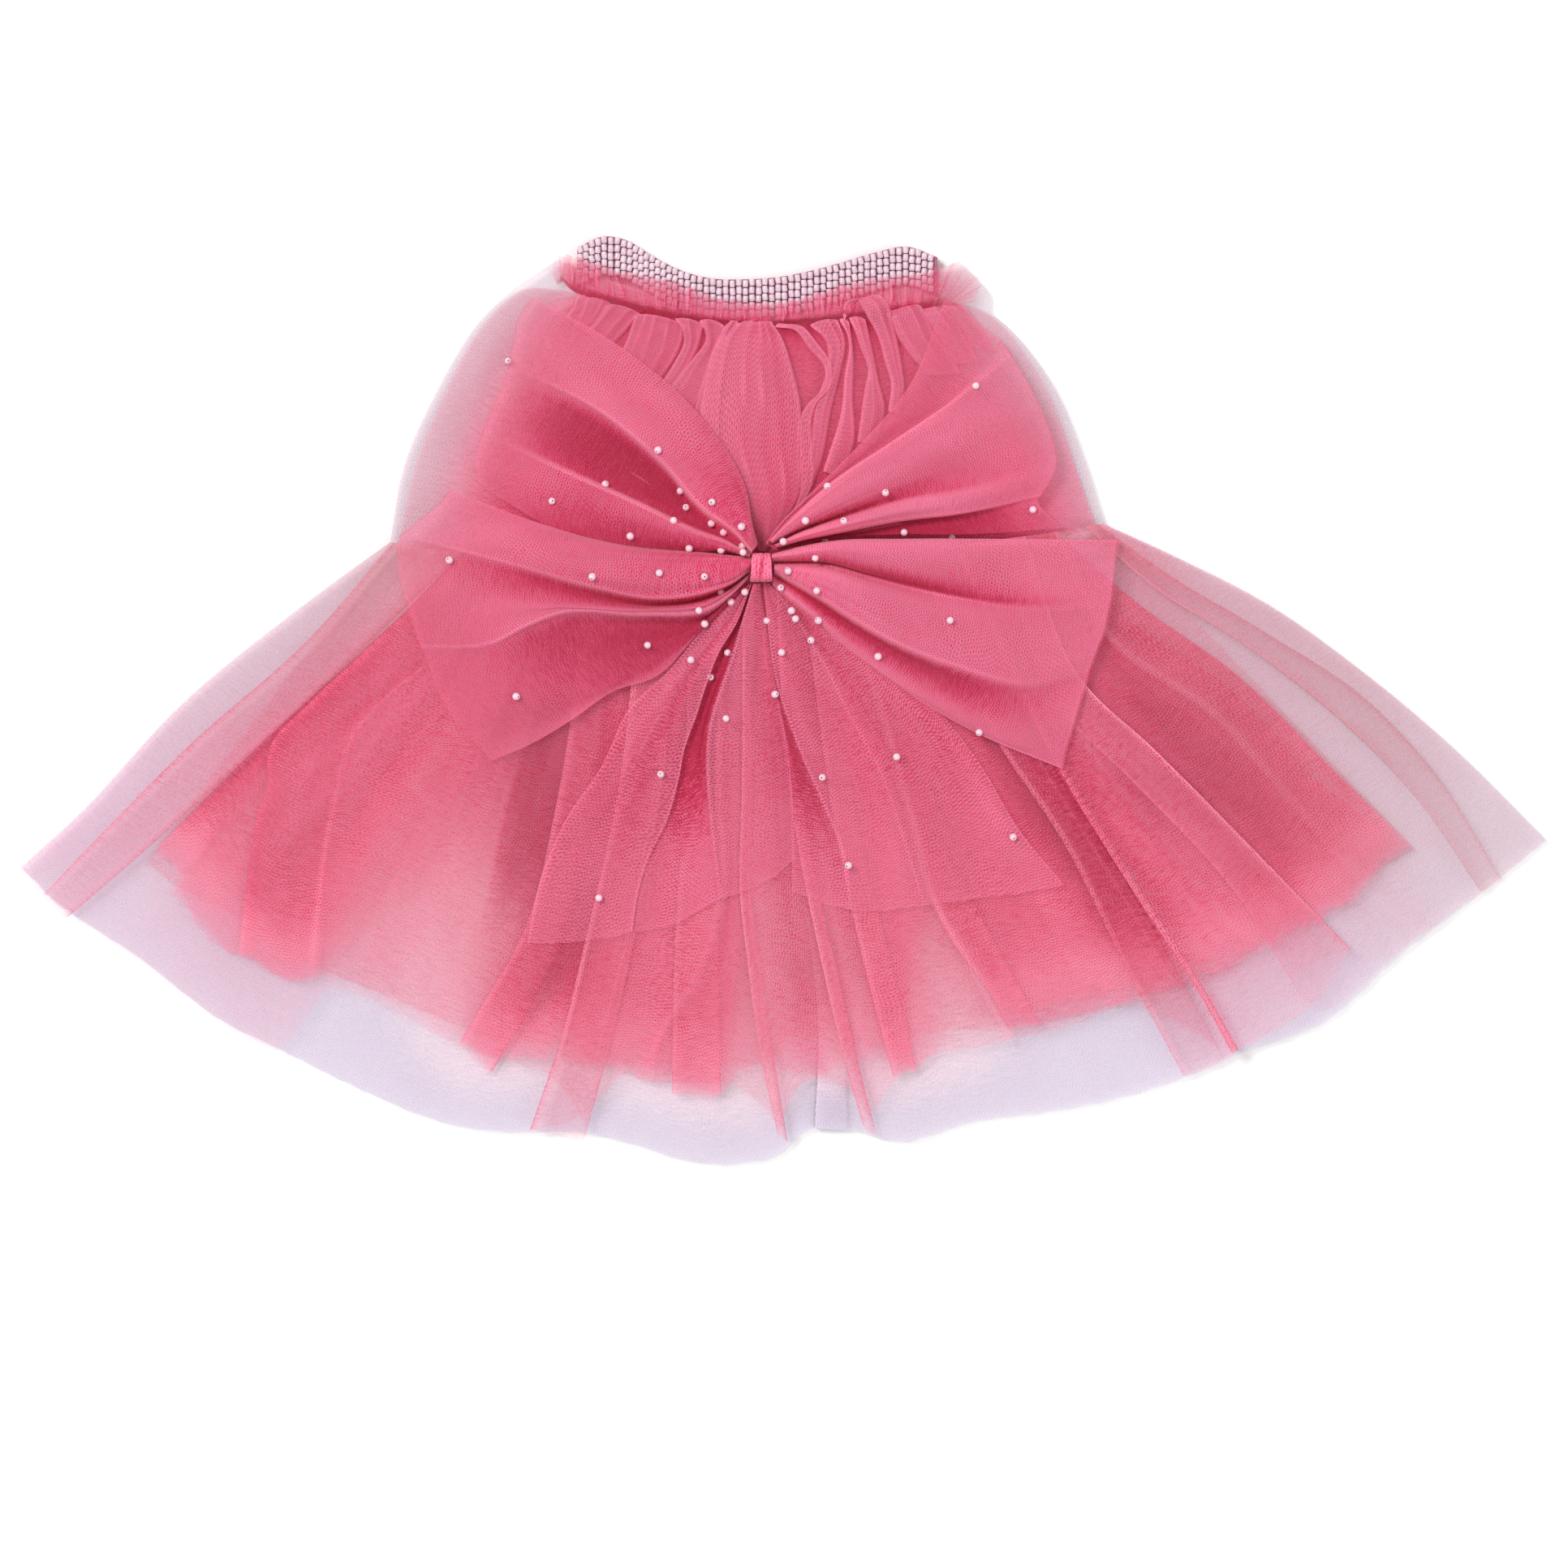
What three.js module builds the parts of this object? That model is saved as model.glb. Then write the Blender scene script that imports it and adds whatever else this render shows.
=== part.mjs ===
// Tulle tutu dress for a small dog, laid flat on its back panel. Millimetres, +Z up.
// X runs across the dress (+X to the wearer's left), +Y towards the neck, z = 0 is the surface it lies on.
// Every cloth piece is a closed wall. The pieces lie on each other in levels, and the gathered middle stands up.
import * as THREE from 'three';

// ---- driving sizes -------------------------------------------------------------------------------------
const WALL = 1.0;            // thickness of one gathered tulle wall
const GAP = 0.3;             // clearance between neighbouring pieces and at seams
const LEVEL = WALL + GAP;    // height of one level of the stack
const YOKE_WALL = 2.0;       // the yoke front is gathered twice as densely
const BAND_WALL = 2.6;       // elastic band with its beads
const BAND_HEIGHT = 14.5;    // five rows of beads
const APEX = { x: -12, y: 156.5 };   // the point that the skirt's gathers fan out from
const GATHER_RAMP = { from: 150, to: 260 };   // distance from the apex over which the folds rise
const EDGE_BULGE = { left: 1.4, right: 2.6 }; // how far the skirt's side edges bow out, in degrees
const WAIST_SPREAD = { left: 1.045, right: 1.005 }; // a ray's angle at the waist, as a share of its angle at the hem
const KNOT = { x: -8, y: 48.2, halfWidth: 3.3, halfHeight: 4.8, height: 6.6 };
const BOW_CLEARANCE = 1.5;      // the bow lies on the crests of the gathers, clear of their valleys
const LOOP_GAP = { rest: 0.4, puff: 3.1 };    // space between the two walls of a bow loop

// Height of the gathers below the top layer, one row for each line across the dress.
const PUFF_ROWS = [
  { y: 175, left: -80, right: 62, rise: 1 },
  { y: 155, left: -93, right: 73, rise: 2 },
  { y: 140, left: -112, right: 80, rise: 3.5 },
  { y: 117, left: -125, right: 98, rise: 6.5 },
  { y: 95, left: -136, right: 109, rise: 9 },
  { y: 72, left: -144, right: 116, rise: 10.6 },
  { y: 57, left: -148, right: 134, rise: 11 },
  { y: 35, left: -175, right: 175, rise: 10.4 },
  { y: 12, left: -203, right: 207, rise: 8.6 },
  { y: -17, left: -236, right: 245, rise: 6.2 },
  { y: -47, left: -267, right: 278, rise: 4.4 },
  { y: -85, left: -270, right: 270, rise: 2.8 },
  { y: -115, left: -240, right: 235, rise: 1.8 },
  { y: -140, left: -200, right: 190, rise: 1 },
  { y: -175, left: -120, right: 110, rise: 0.3 },
];

// The yoke: one row for each section from the gathering stitch at the neck down to the waist seam.
// sag is how far the section hangs below the line between its ends, rim how far the lining shows outside.
const YOKE_ROWS = [
  { leftX: -80, leftY: 151, rightX: 61, rightY: 147.2, sag: 10.7, rim: 0 },
  { leftX: -97.5, leftY: 151, rightX: 76.5, rightY: 142.5, sag: 16.5, rim: 1 },
  { leftX: -114, leftY: 137, rightX: 89, rightY: 131, sag: 19, rim: 2 },
  { leftX: -129, leftY: 111.5, rightX: 102, rightY: 111.5, sag: 16.5, rim: 3 },
  { leftX: -140, leftY: 86, rightX: 112, rightY: 86, sag: 13.5, rim: 4 },
  { leftX: -145.2, leftY: 57.8, rightX: 118.2, rightY: 64.7, sag: 10.4, rim: 3 },
];

// The skirt: one row for each ray of the fan, a fold's crest or the valley beside it. deg is the ray's angle from
// straight down, rise the height of the fold, and the other columns are each layer's hem, from the apex.
const SKIRT_ROWS = [
  { deg: -51.1, rise: 0.0, lining: 342, overlay: 347, middle: 310, under: 302 },
  { deg: -48.5, rise: 1.2, lining: 341, overlay: 345.5, middle: 318, under: 311 },
  { deg: -44.5, rise: 0.2, lining: 338, overlay: 342, middle: 316, under: 306 },
  { deg: -40.0, rise: 1.6, lining: 335, overlay: 338, middle: 314, under: 308 },
  { deg: -36.0, rise: 0.0, lining: 334, overlay: 337, middle: 312, under: 306 },
  { deg: -32.0, rise: 1.4, lining: 335, overlay: 326, middle: 308, under: 300 },
  { deg: -28.0, rise: 0.2, lining: 333, overlay: 308, middle: 302, under: 296 },
  { deg: -23.5, rise: 1.2, lining: 333, overlay: 308, middle: 303, under: 296 },
  { deg: -19.5, rise: 0.3, lining: 331, overlay: 312, middle: 307, under: 300 },
  { deg: -15.5, rise: 2.6, lining: 328, overlay: 324, middle: 305, under: 297 },
  { deg: -11.5, rise: 2.2, lining: 326, overlay: 322, middle: 301, under: 294 },
  { deg: -8.0, rise: 0.2, lining: 322, overlay: 304, middle: 300, under: 293 },
  { deg: -3.5, rise: 1.4, lining: 328, overlay: 305, middle: 301, under: 294 },
  { deg: 1.5, rise: 2.2, lining: 321, overlay: 312, middle: 296, under: 289 },
  { deg: 5.5, rise: 0.0, lining: 317, overlay: 306, middle: 297, under: 290 },
  { deg: 9.5, rise: 2.0, lining: 323, overlay: 313, middle: 298, under: 291 },
  { deg: 14.5, rise: 0.4, lining: 323, overlay: 303, middle: 293, under: 286 },
  { deg: 19.0, rise: 1.6, lining: 327, overlay: 303, middle: 294, under: 287 },
  { deg: 23.5, rise: 0.2, lining: 331, overlay: 306, middle: 299, under: 292 },
  { deg: 28.0, rise: 1.4, lining: 335, overlay: 322, middle: 303, under: 296 },
  { deg: 32.5, rise: 2.4, lining: 338, overlay: 341, middle: 308, under: 300 },
  { deg: 37.0, rise: 2.2, lining: 342, overlay: 346, middle: 314, under: 306 },
  { deg: 41.5, rise: 0.4, lining: 343, overlay: 347, middle: 320, under: 311 },
  { deg: 46.0, rise: 1.4, lining: 344, overlay: 347, middle: 322, under: 314 },
  { deg: 50.5, rise: 0.3, lining: 350, overlay: 354, middle: 325, under: 316 },
  { deg: 54.7, rise: 0.0, lining: 355, overlay: 360, middle: 322, under: 312 },
];

// Every layer of the stack: its level, the share of the gathers' height that it takes, its wall and, on the skirt,
// the column of its hem and how far its sides close in towards the hem.
const SKIRT_LAYERS = [
  { name: 'skirt_lining_back', level: 0, share: 0, hem: 'lining', close: 1, color: 0xe6dee8 },
  { name: 'skirt_back', level: 1, share: 0, hem: 'middle', close: 0.9, color: 0xd9738c },
  { name: 'skirt_lining_front', level: 2, share: 0.22, hem: 'lining', close: 0.97, color: 0xe6dee8 },
  { name: 'skirt_under_front', level: 3, share: 0.45, hem: 'under', close: 0.89, color: 0xe0688a },
  { name: 'skirt_middle_front', level: 4, share: 0.67, hem: 'middle', close: 0.88, color: 0xe5708f },
  { name: 'skirt_overlay_front', level: 5, share: 0.9, hem: 'overlay', close: 1, color: 0xf0a9bb },
];
const YOKE_LAYERS = [
  { name: 'yoke_lining_back', level: 0, share: 0, wall: WALL, inset: 0, color: 0xe6dee8 },
  { name: 'yoke_back', level: 1, share: 0, wall: WALL, inset: 1, color: 0xd9738c },
  { name: 'yoke_lining_front', level: 2, share: 0.35, wall: WALL, inset: 0, color: 0xe6dee8 },
  { name: 'yoke_front', level: 3, share: 0.7, wall: YOKE_WALL, inset: 1, color: 0xe5708f },
];

// The neck, one row for each station along the band: the band's and the frill's upper edges, and how far the
// frill leans outwards at its ends.
const NECK_ROWS = [
  { x: -76, band: 166.5, frill: 162.6, lean: -6 },
  { x: -67, band: 170.6, frill: 160.0, lean: -3 },
  { x: -58, band: 169.4, frill: 157.3, lean: -1 },
  { x: -48, band: 163.4, frill: 155.9, lean: 0 },
  { x: -38, band: 158.3, frill: 153.6, lean: 0 },
  { x: -27, band: 155.3, frill: 148.6, lean: 0 },
  { x: -15, band: 154.9, frill: 146.5, lean: 0 },
  { x: -2, band: 155.7, frill: 146.1, lean: 0 },
  { x: 10, band: 158.0, frill: 149.1, lean: 0 },
  { x: 22, band: 161.2, frill: 152.6, lean: 0 },
  { x: 34, band: 164.8, frill: 155.1, lean: 1 },
  { x: 46, band: 166.9, frill: 158.0, lean: 4 },
  { x: 57, band: 163.0, frill: 161.0, lean: 9 },
];

// Bow loops, one row for each section from the knot out to the fold: its two edges (a, b) and its middle (m).
const LOOPS = {
  bow_loop_upper_left: [
    { ax: -10.8, ay: 54.4, mx: -12.3, my: 53.0, bx: -12.8, by: 51.4 },
    { ax: -18.0, ay: 76.7, mx: -30.9, my: 66.5, bx: -31.5, by: 54.2 },
    { ax: -29.1, ay: 99.5, mx: -49.5, my: 81.5, bx: -50.7, by: 56.7 },
    { ax: -48.0, ay: 117.5, mx: -69.0, my: 95.0, bx: -69.0, by: 60.0 },
    { ax: -67.5, ay: 131.9, mx: -89.1, my: 106.1, bx: -89.1, by: 67.5 },
    { ax: -93.0, ay: 145.0, mx: -109.2, my: 115.1, bx: -111.9, by: 81.5 },
  ],
  bow_loop_lower_left: [
    { ax: -12.8, ay: 50.2, mx: -13.0, my: 47.9, bx: -12.2, by: 43.8 },
    { ax: -34.5, ay: 52.2, mx: -34.5, my: 39.5, bx: -25.5, by: 27.5 },
    { ax: -58.5, ay: 54.4, mx: -57.0, my: 27.5, bx: -40.5, by: 14.0 },
    { ax: -82.5, ay: 61.4, mx: -78.0, my: 18.5, bx: -61.5, by: -2.0 },
    { ax: -109.0, ay: 70.5, mx: -102.0, my: 14.0, bx: -82.5, by: -13.0 },
    { ax: -139.5, ay: 46.0, mx: -131.0, my: 15.5, bx: -108.0, by: -22.0 },
  ],
  bow_loop_upper_right: [
    { ax: -5.1, ay: 54.4, mx: -3.9, my: 53.2, bx: -3.0, by: 51.4 },
    { ax: 6.0, ay: 74.0, mx: 16.5, my: 65.0, bx: 19.5, by: 58.0 },
    { ax: 19.5, ay: 90.5, mx: 37.5, my: 78.5, bx: 42.0, by: 62.0 },
    { ax: 34.5, ay: 105.5, mx: 57.0, my: 90.5, bx: 64.5, by: 65.0 },
    { ax: 48.0, ay: 123.5, mx: 75.0, my: 102.5, bx: 82.5, by: 68.0 },
    { ax: 60.9, ay: 146.0, mx: 92.1, my: 110.0, bx: 96.0, by: 73.0 },
  ],
  bow_loop_lower_right: [
    { ax: -3.6, ay: 50.2, mx: -3.3, my: 47.9, bx: -3.9, by: 44.4 },
    { ax: 21.0, ay: 56.5, mx: 19.5, my: 41.0, bx: 10.5, by: 37.4 },
    { ax: 46.5, ay: 58.0, mx: 43.5, my: 27.5, bx: 28.5, by: 20.0 },
    { ax: 72.0, ay: 58.3, mx: 67.5, my: 20.0, bx: 49.5, by: 0.5 },
    { ax: 97.5, ay: 58.3, mx: 93.0, my: 17.0, bx: 75.0, by: -13.0 },
    { ax: 122.7, ay: 57.8, mx: 114.0, my: 17.0, bx: 101.4, by: -25.0 },
  ],
};

// Bow tails, one row for each section from the knot to the hem, with the same columns.
const TAILS = {
  bow_tail_left: [
    { ax: -11.4, ay: 41.9, mx: -10.0, my: 41.7, bx: -8.7, by: 41.9 },
    { ax: -36.0, ay: 18.5, mx: -20.0, my: 17.0, bx: -5.4, by: 18.5 },
    { ax: -57.0, ay: -7.0, mx: -29.0, my: -7.0, bx: -2.1, by: -4.0 },
    { ax: -69.0, ay: -29.5, mx: -35.0, my: -30.0, bx: -0.6, by: -25.0 },
    { ax: -81.9, ay: -56.5, mx: -39.0, my: -54.0, bx: 1.5, by: -43.0 },
    { ax: -94.5, ay: -90.0, mx: -39.0, my: -81.5, bx: 3.0, by: -59.0 },
  ],
  bow_tail_right: [
    { ax: -7.2, ay: 41.9, mx: -5.8, my: 42.0, bx: -4.2, by: 42.4 },
    { ax: -2.4, ay: 21.5, mx: 4.0, my: 23.0, bx: 10.5, by: 27.5 },
    { ax: 0.9, ay: -2.5, mx: 19.5, my: 1.0, bx: 40.5, by: 9.5 },
    { ax: 3.3, ay: -25.0, mx: 32.0, my: -23.0, bx: 64.5, by: -13.0 },
    { ax: 4.8, ay: -50.5, mx: 42.0, my: -51.0, bx: 84.0, by: -44.5 },
    { ax: 4.5, ay: -74.5, mx: 48.0, my: -77.3, bx: 102.9, by: -69.5 },
  ],
};

// ---- helpers -------------------------------------------------------------------------------------------
const lerp = (a, b, t) => a + (b - a) * t;
const clamp01 = (t) => Math.min(1, Math.max(0, t));
const smooth = (t) => { const s = clamp01(t); return s * s * (3 - 2 * s); };
const rad = Math.PI / 180;

/** Linear look-up of a column in a table whose key column rises or falls steadily. */
function lookUp(rows, key, at, column) {
  const rising = rows[rows.length - 1][key] > rows[0][key];
  let i = 0;
  while (i < rows.length - 2 && (rising ? at > rows[i + 1][key] : at < rows[i + 1][key])) i++;
  const t = clamp01((at - rows[i][key]) / (rows[i + 1][key] - rows[i][key]));
  return lerp(rows[i][column], rows[i + 1][column], t);
}

/** Height of the gathered middle at a point: nothing at the dress's sides, most at the waist. */
function puff(x, y) {
  const left = lookUp(PUFF_ROWS, 'y', y, 'left');
  const right = lookUp(PUFF_ROWS, 'y', y, 'right');
  const across = Math.min(1, Math.abs((2 * x - left - right) / (right - left)));
  return lookUp(PUFF_ROWS, 'y', y, 'rise') * (1 - across ** 3);
}

/** Height of the skirt's folds at a point. */
function fold(x, y) {
  const deg = Math.atan2(x - APEX.x, APEX.y - y) / rad;
  const r = Math.hypot(x - APEX.x, APEX.y - y);
  return lookUp(SKIRT_ROWS, 'deg', deg, 'rise') * smooth((r - GATHER_RAMP.from) / (GATHER_RAMP.to - GATHER_RAMP.from));
}
const skirtHeight = (x, y) => puff(x, y) + fold(x, y);

/** A point of a yoke section: u runs from its left end to its right end. */
function sectionPoint(row, u, inset = 0) {
  const k = inset * row.rim / (row.rightX - row.leftX);
  const v = lerp(k, 1 - k, u);
  return { x: lerp(row.leftX, row.rightX, v), y: lerp(row.leftY, row.rightY, v) - 4 * v * (1 - v) * row.sag };
}
function sectionY(row, x) {
  const u = clamp01((x - row.leftX) / (row.rightX - row.leftX));
  return sectionPoint(row, u).y;
}
const neckLine = (x) => sectionY(YOKE_ROWS[0], x);
const waistLine = (x) => sectionY(YOKE_ROWS[YOKE_ROWS.length - 1], x);

/** Distance from the apex to the waist seam along a ray. */
function waistRadius(deg) {
  let near = 60, far = 200;
  for (let i = 0; i < 40; i++) {
    const r = (near + far) / 2;
    const x = APEX.x + r * Math.sin(deg * rad), y = APEX.y - r * Math.cos(deg * rad);
    if (y > waistLine(x)) near = r; else far = r;
  }
  return (near + far) / 2;
}

/** Top of the cloth that the bow lies on. */
function bowBase(x, y) {
  const skirt = LEVEL * 5 + WALL + 0.9 * skirtHeight(x, y);
  const yoke = LEVEL * 3 + YOKE_WALL + 0.7 * puff(x, y);
  return lerp(skirt, yoke, smooth((y - waistLine(x)) / 25)) + BOW_CLEARANCE;
}

/** A point across a bow section: a = 0 and a = 1 are its edges, a = 0.5 its middle. */
function across(row, a) {
  const wa = (1 - a) * (1 - 2 * a), wm = 4 * a * (1 - a), wb = a * (2 * a - 1);
  return { x: wa * row.ax + wm * row.mx + wb * row.bx, y: wa * row.ay + wm * row.my + wb * row.by };
}

/** One closed wall from two grids of points of the same size, its two faces. */
function wallGeometry(faceA, faceB) {
  const rows = faceA.length, cols = faceA[0].length, size = rows * cols;
  const position = [];
  for (const grid of [faceA, faceB]) for (const row of grid) for (const p of row) position.push(p[0], p[1], p[2]);
  const a = (i, j) => i * cols + j, b = (i, j) => size + i * cols + j;
  const index = [];
  const quad = (p, q, r, s) => index.push(p, q, r, p, r, s);
  for (let i = 0; i < rows - 1; i++) {
    for (let j = 0; j < cols - 1; j++) {
      quad(a(i, j), a(i + 1, j), a(i + 1, j + 1), a(i, j + 1));
      quad(b(i, j), b(i, j + 1), b(i + 1, j + 1), b(i + 1, j));
    }
    quad(a(i, 0), b(i, 0), b(i + 1, 0), a(i + 1, 0));
    quad(a(i, cols - 1), a(i + 1, cols - 1), b(i + 1, cols - 1), b(i, cols - 1));
  }
  for (let j = 0; j < cols - 1; j++) {
    quad(a(0, j), a(0, j + 1), b(0, j + 1), b(0, j));
    quad(a(rows - 1, j), b(rows - 1, j), b(rows - 1, j + 1), a(rows - 1, j + 1));
  }
  let volume = 0;
  const v = (k) => [position[3 * k], position[3 * k + 1], position[3 * k + 2]];
  for (let t = 0; t < index.length; t += 3) {
    const [p, q, r] = [v(index[t]), v(index[t + 1]), v(index[t + 2])];
    volume += p[0] * (q[1] * r[2] - q[2] * r[1]) + p[1] * (q[2] * r[0] - q[0] * r[2]) + p[2] * (q[0] * r[1] - q[1] * r[0]);
  }
  if (volume < 0) for (let t = 0; t < index.length; t += 3) [index[t + 1], index[t + 2]] = [index[t + 2], index[t + 1]];
  const geometry = new THREE.BufferGeometry();
  geometry.setAttribute('position', new THREE.Float32BufferAttribute(position, 3));
  geometry.setIndex(index);
  return geometry;
}

/** A level wall over a grid of plan points: its underside's height comes from low(x, y). */
function levelWall(plan, low, wall) {
  const under = plan.map((row) => row.map((p) => [p.x, p.y, low(p.x, p.y)]));
  const over = under.map((row) => row.map((p) => [p[0], p[1], p[2] + wall]));
  return wallGeometry(over, under);
}

const group = new THREE.Group();
function add(name, geometry, color, roughness = 0.85) {
  const mesh = new THREE.Mesh(geometry, new THREE.MeshStandardMaterial({ color, roughness, metalness: 0 }));
  mesh.name = name;
  group.add(mesh);
}

// ---- skirt ---------------------------------------------------------------------------------------------
const RAY_STEPS = 4;
for (const layer of SKIRT_LAYERS) {
  const plan = SKIRT_ROWS.map((row) => {
    const atWaist = row.deg * (row.deg < 0 ? WAIST_SPREAD.left : WAIST_SPREAD.right);
    const from = waistRadius(atWaist) + GAP / 2, to = row[layer.hem];
    const line = [];
    for (let j = 0; j <= RAY_STEPS; j++) {
      const t = j / RAY_STEPS, r = lerp(from, to, t);
      const side = (Math.abs(row.deg) / 54) ** 4 * Math.sin(Math.PI * clamp01(t));
      const bulge = row.deg < 0 ? -EDGE_BULGE.left * side : EDGE_BULGE.right * side;
      const spread = row.deg < 0 ? WAIST_SPREAD.left : WAIST_SPREAD.right;
      const angle = (row.deg * lerp(spread, layer.close, t) + bulge) * rad;
      line.push({ x: APEX.x + r * Math.sin(angle), y: APEX.y - r * Math.cos(angle) });
    }
    return line;
  });
  add(layer.name, levelWall(plan, (x, y) => layer.level * LEVEL + layer.share * skirtHeight(x, y), WALL), layer.color);
}

// ---- yoke ----------------------------------------------------------------------------------------------
const YOKE_COLUMNS = 14;
for (const layer of YOKE_LAYERS) {
  const plan = YOKE_ROWS.map((row, i) => {
    const line = [];
    for (let j = 0; j <= YOKE_COLUMNS; j++) {
      const p = sectionPoint(row, j / YOKE_COLUMNS, layer.inset);
      if (i === 0) p.y -= GAP / 2;
      if (i === YOKE_ROWS.length - 1) p.y += GAP / 2;
      line.push(p);
    }
    return line;
  });
  add(layer.name, levelWall(plan, (x, y) => layer.level * LEVEL + layer.share * puff(x, y), layer.wall), layer.color);
}

// ---- neck band and frill -------------------------------------------------------------------------------
const bandPlan = [1, 0.5, 0].map((t) => NECK_ROWS.map((row) => ({ x: row.x, y: row.band - t * BAND_HEIGHT })));
const bandLow = { back: LEVEL, front: LEVEL + BAND_WALL + GAP };
add('neck_band_back', levelWall(bandPlan, () => bandLow.back, BAND_WALL), 0xc9a4b4, 0.4);
add('neck_band_front', levelWall(bandPlan, () => bandLow.front, BAND_WALL), 0xe0c4d2, 0.3);
const frillPlan = (trim) => [0, 0.5, 1].map((t) => NECK_ROWS.map((row) => {
  const x = row.x + row.lean * (0.4 + 0.6 * t);
  return { x, y: lerp(neckLine(x) + GAP / 2, row.frill - trim, t) };
}));
add('neck_frill_back', levelWall(frillPlan(1.5), () => 0, WALL), 0xe2b9c8);
add('neck_frill_front', levelWall(frillPlan(0), () => bandLow.front + BAND_WALL + GAP, WALL), 0xe5708f);

// ---- bow -----------------------------------------------------------------------------------------------
const ACROSS_STEPS = 8;
const columns = Array.from({ length: ACROSS_STEPS + 1 }, (_, j) => j / ACROSS_STEPS);

for (const [name, rows] of Object.entries(TAILS)) {
  const plan = rows.map((row) => columns.map((a) => across(row, a)));
  add(name, levelWall(plan, (x, y) => bowBase(x, y) + GAP, WALL), 0xe8809a);
}

// A loop is one strip: out along the cloth below, round the fold at its end, and back above itself to the knot.
const loopLow = GAP + LEVEL;
for (const [name, rows] of Object.entries(LOOPS)) {
  const last = rows.length - 1;
  const outer = [], inner = [];
  const space = (i, a) => LOOP_GAP.rest + LOOP_GAP.puff * Math.sin(Math.PI * a) * Math.sin(Math.PI * (i / last) ** 0.8);
  const point = (i, a) => {
    const p = across(rows[i], a);
    return [p.x, p.y, bowBase(p.x, p.y) + loopLow];
  };
  const shifted = (p, dx, dy, dz) => [p[0] + dx, p[1] + dy, p[2] + dz];
  for (let i = 0; i <= last; i++) {
    outer.push(columns.map((a) => point(i, a)));
    inner.push(columns.map((a) => shifted(point(i, a), 0, 0, WALL)));
  }
  const turn = columns.map((a) => {
    const end = point(last, a), before = point(last - 1, a);
    const length = Math.hypot(end[0] - before[0], end[1] - before[1]);
    const middle = WALL + space(last, a) / 2;
    return { end, middle, dx: (end[0] - before[0]) / length, dy: (end[1] - before[1]) / length };
  });
  outer.push(turn.map((t) => shifted(t.end, t.dx * 1.4, t.dy * 1.4, t.middle)));
  inner.push(turn.map((t) => shifted(t.end, t.dx * 0.4, t.dy * 0.4, t.middle)));
  for (let i = last; i >= 0; i--) {
    outer.push(columns.map((a) => shifted(point(i, a), 0, 0, 2 * WALL + space(i, a))));
    inner.push(columns.map((a) => shifted(point(i, a), 0, 0, WALL + space(i, a))));
  }
  add(name, wallGeometry(outer, inner), 0xe5708f);
}

// The knot: a strip wrapped round the pinched middle, a rounded block in plan and section.
{
  const low = bowBase(KNOT.x, KNOT.y) + GAP + 0.5;
  const sides = 12;
  const rings = [
    { x: -1, scale: 0.86 }, { x: -0.6, scale: 1 }, { x: 0.6, scale: 1 }, { x: 1, scale: 0.86 },
  ];
  const position = [], index = [];
  for (const ring of rings) {
    for (let k = 0; k < sides; k++) {
      const angle = (2 * Math.PI * k) / sides;
      const c = Math.cos(angle), s = Math.sin(angle);
      position.push(
        KNOT.x + ring.x * KNOT.halfWidth,
        KNOT.y + ring.scale * KNOT.halfHeight * Math.sign(c) * Math.abs(c) ** 0.75,
        low + KNOT.height / 2 + ring.scale * (KNOT.height / 2) * Math.sign(s) * Math.abs(s) ** 0.75,
      );
    }
  }
  for (let i = 0; i < rings.length - 1; i++) {
    for (let k = 0; k < sides; k++) {
      const n = (k + 1) % sides, p = i * sides + k, q = i * sides + n;
      index.push(p, p + sides, q, q, p + sides, q + sides);
    }
  }
  const end = (rings.length - 1) * sides;
  for (let k = 1; k < sides - 1; k++) index.push(0, k, k + 1, end, end + k + 1, end + k);
  const v = (i) => position.slice(3 * i, 3 * i + 3);
  let volume = 0;
  for (let t = 0; t < index.length; t += 3) {
    const [p, q, r] = [v(index[t]), v(index[t + 1]), v(index[t + 2])];
    volume += p[0] * (q[1] * r[2] - q[2] * r[1]) + p[1] * (q[2] * r[0] - q[0] * r[2]) + p[2] * (q[0] * r[1] - q[1] * r[0]);
  }
  if (volume < 0) for (let t = 0; t < index.length; t += 3) [index[t + 1], index[t + 2]] = [index[t + 2], index[t + 1]];
  const geometry = new THREE.BufferGeometry();
  geometry.setAttribute('position', new THREE.Float32BufferAttribute(position, 3));
  geometry.setIndex(index);
  add('bow_knot', geometry, 0xc65b78);
}

export default group;
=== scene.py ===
"""Looks of a tulle tutu dress for a small dog, laid flat: sheets of net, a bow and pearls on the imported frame."""
import math

import bpy
import numpy as np
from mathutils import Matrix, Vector
from mathutils.bvhtree import BVHTree


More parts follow.
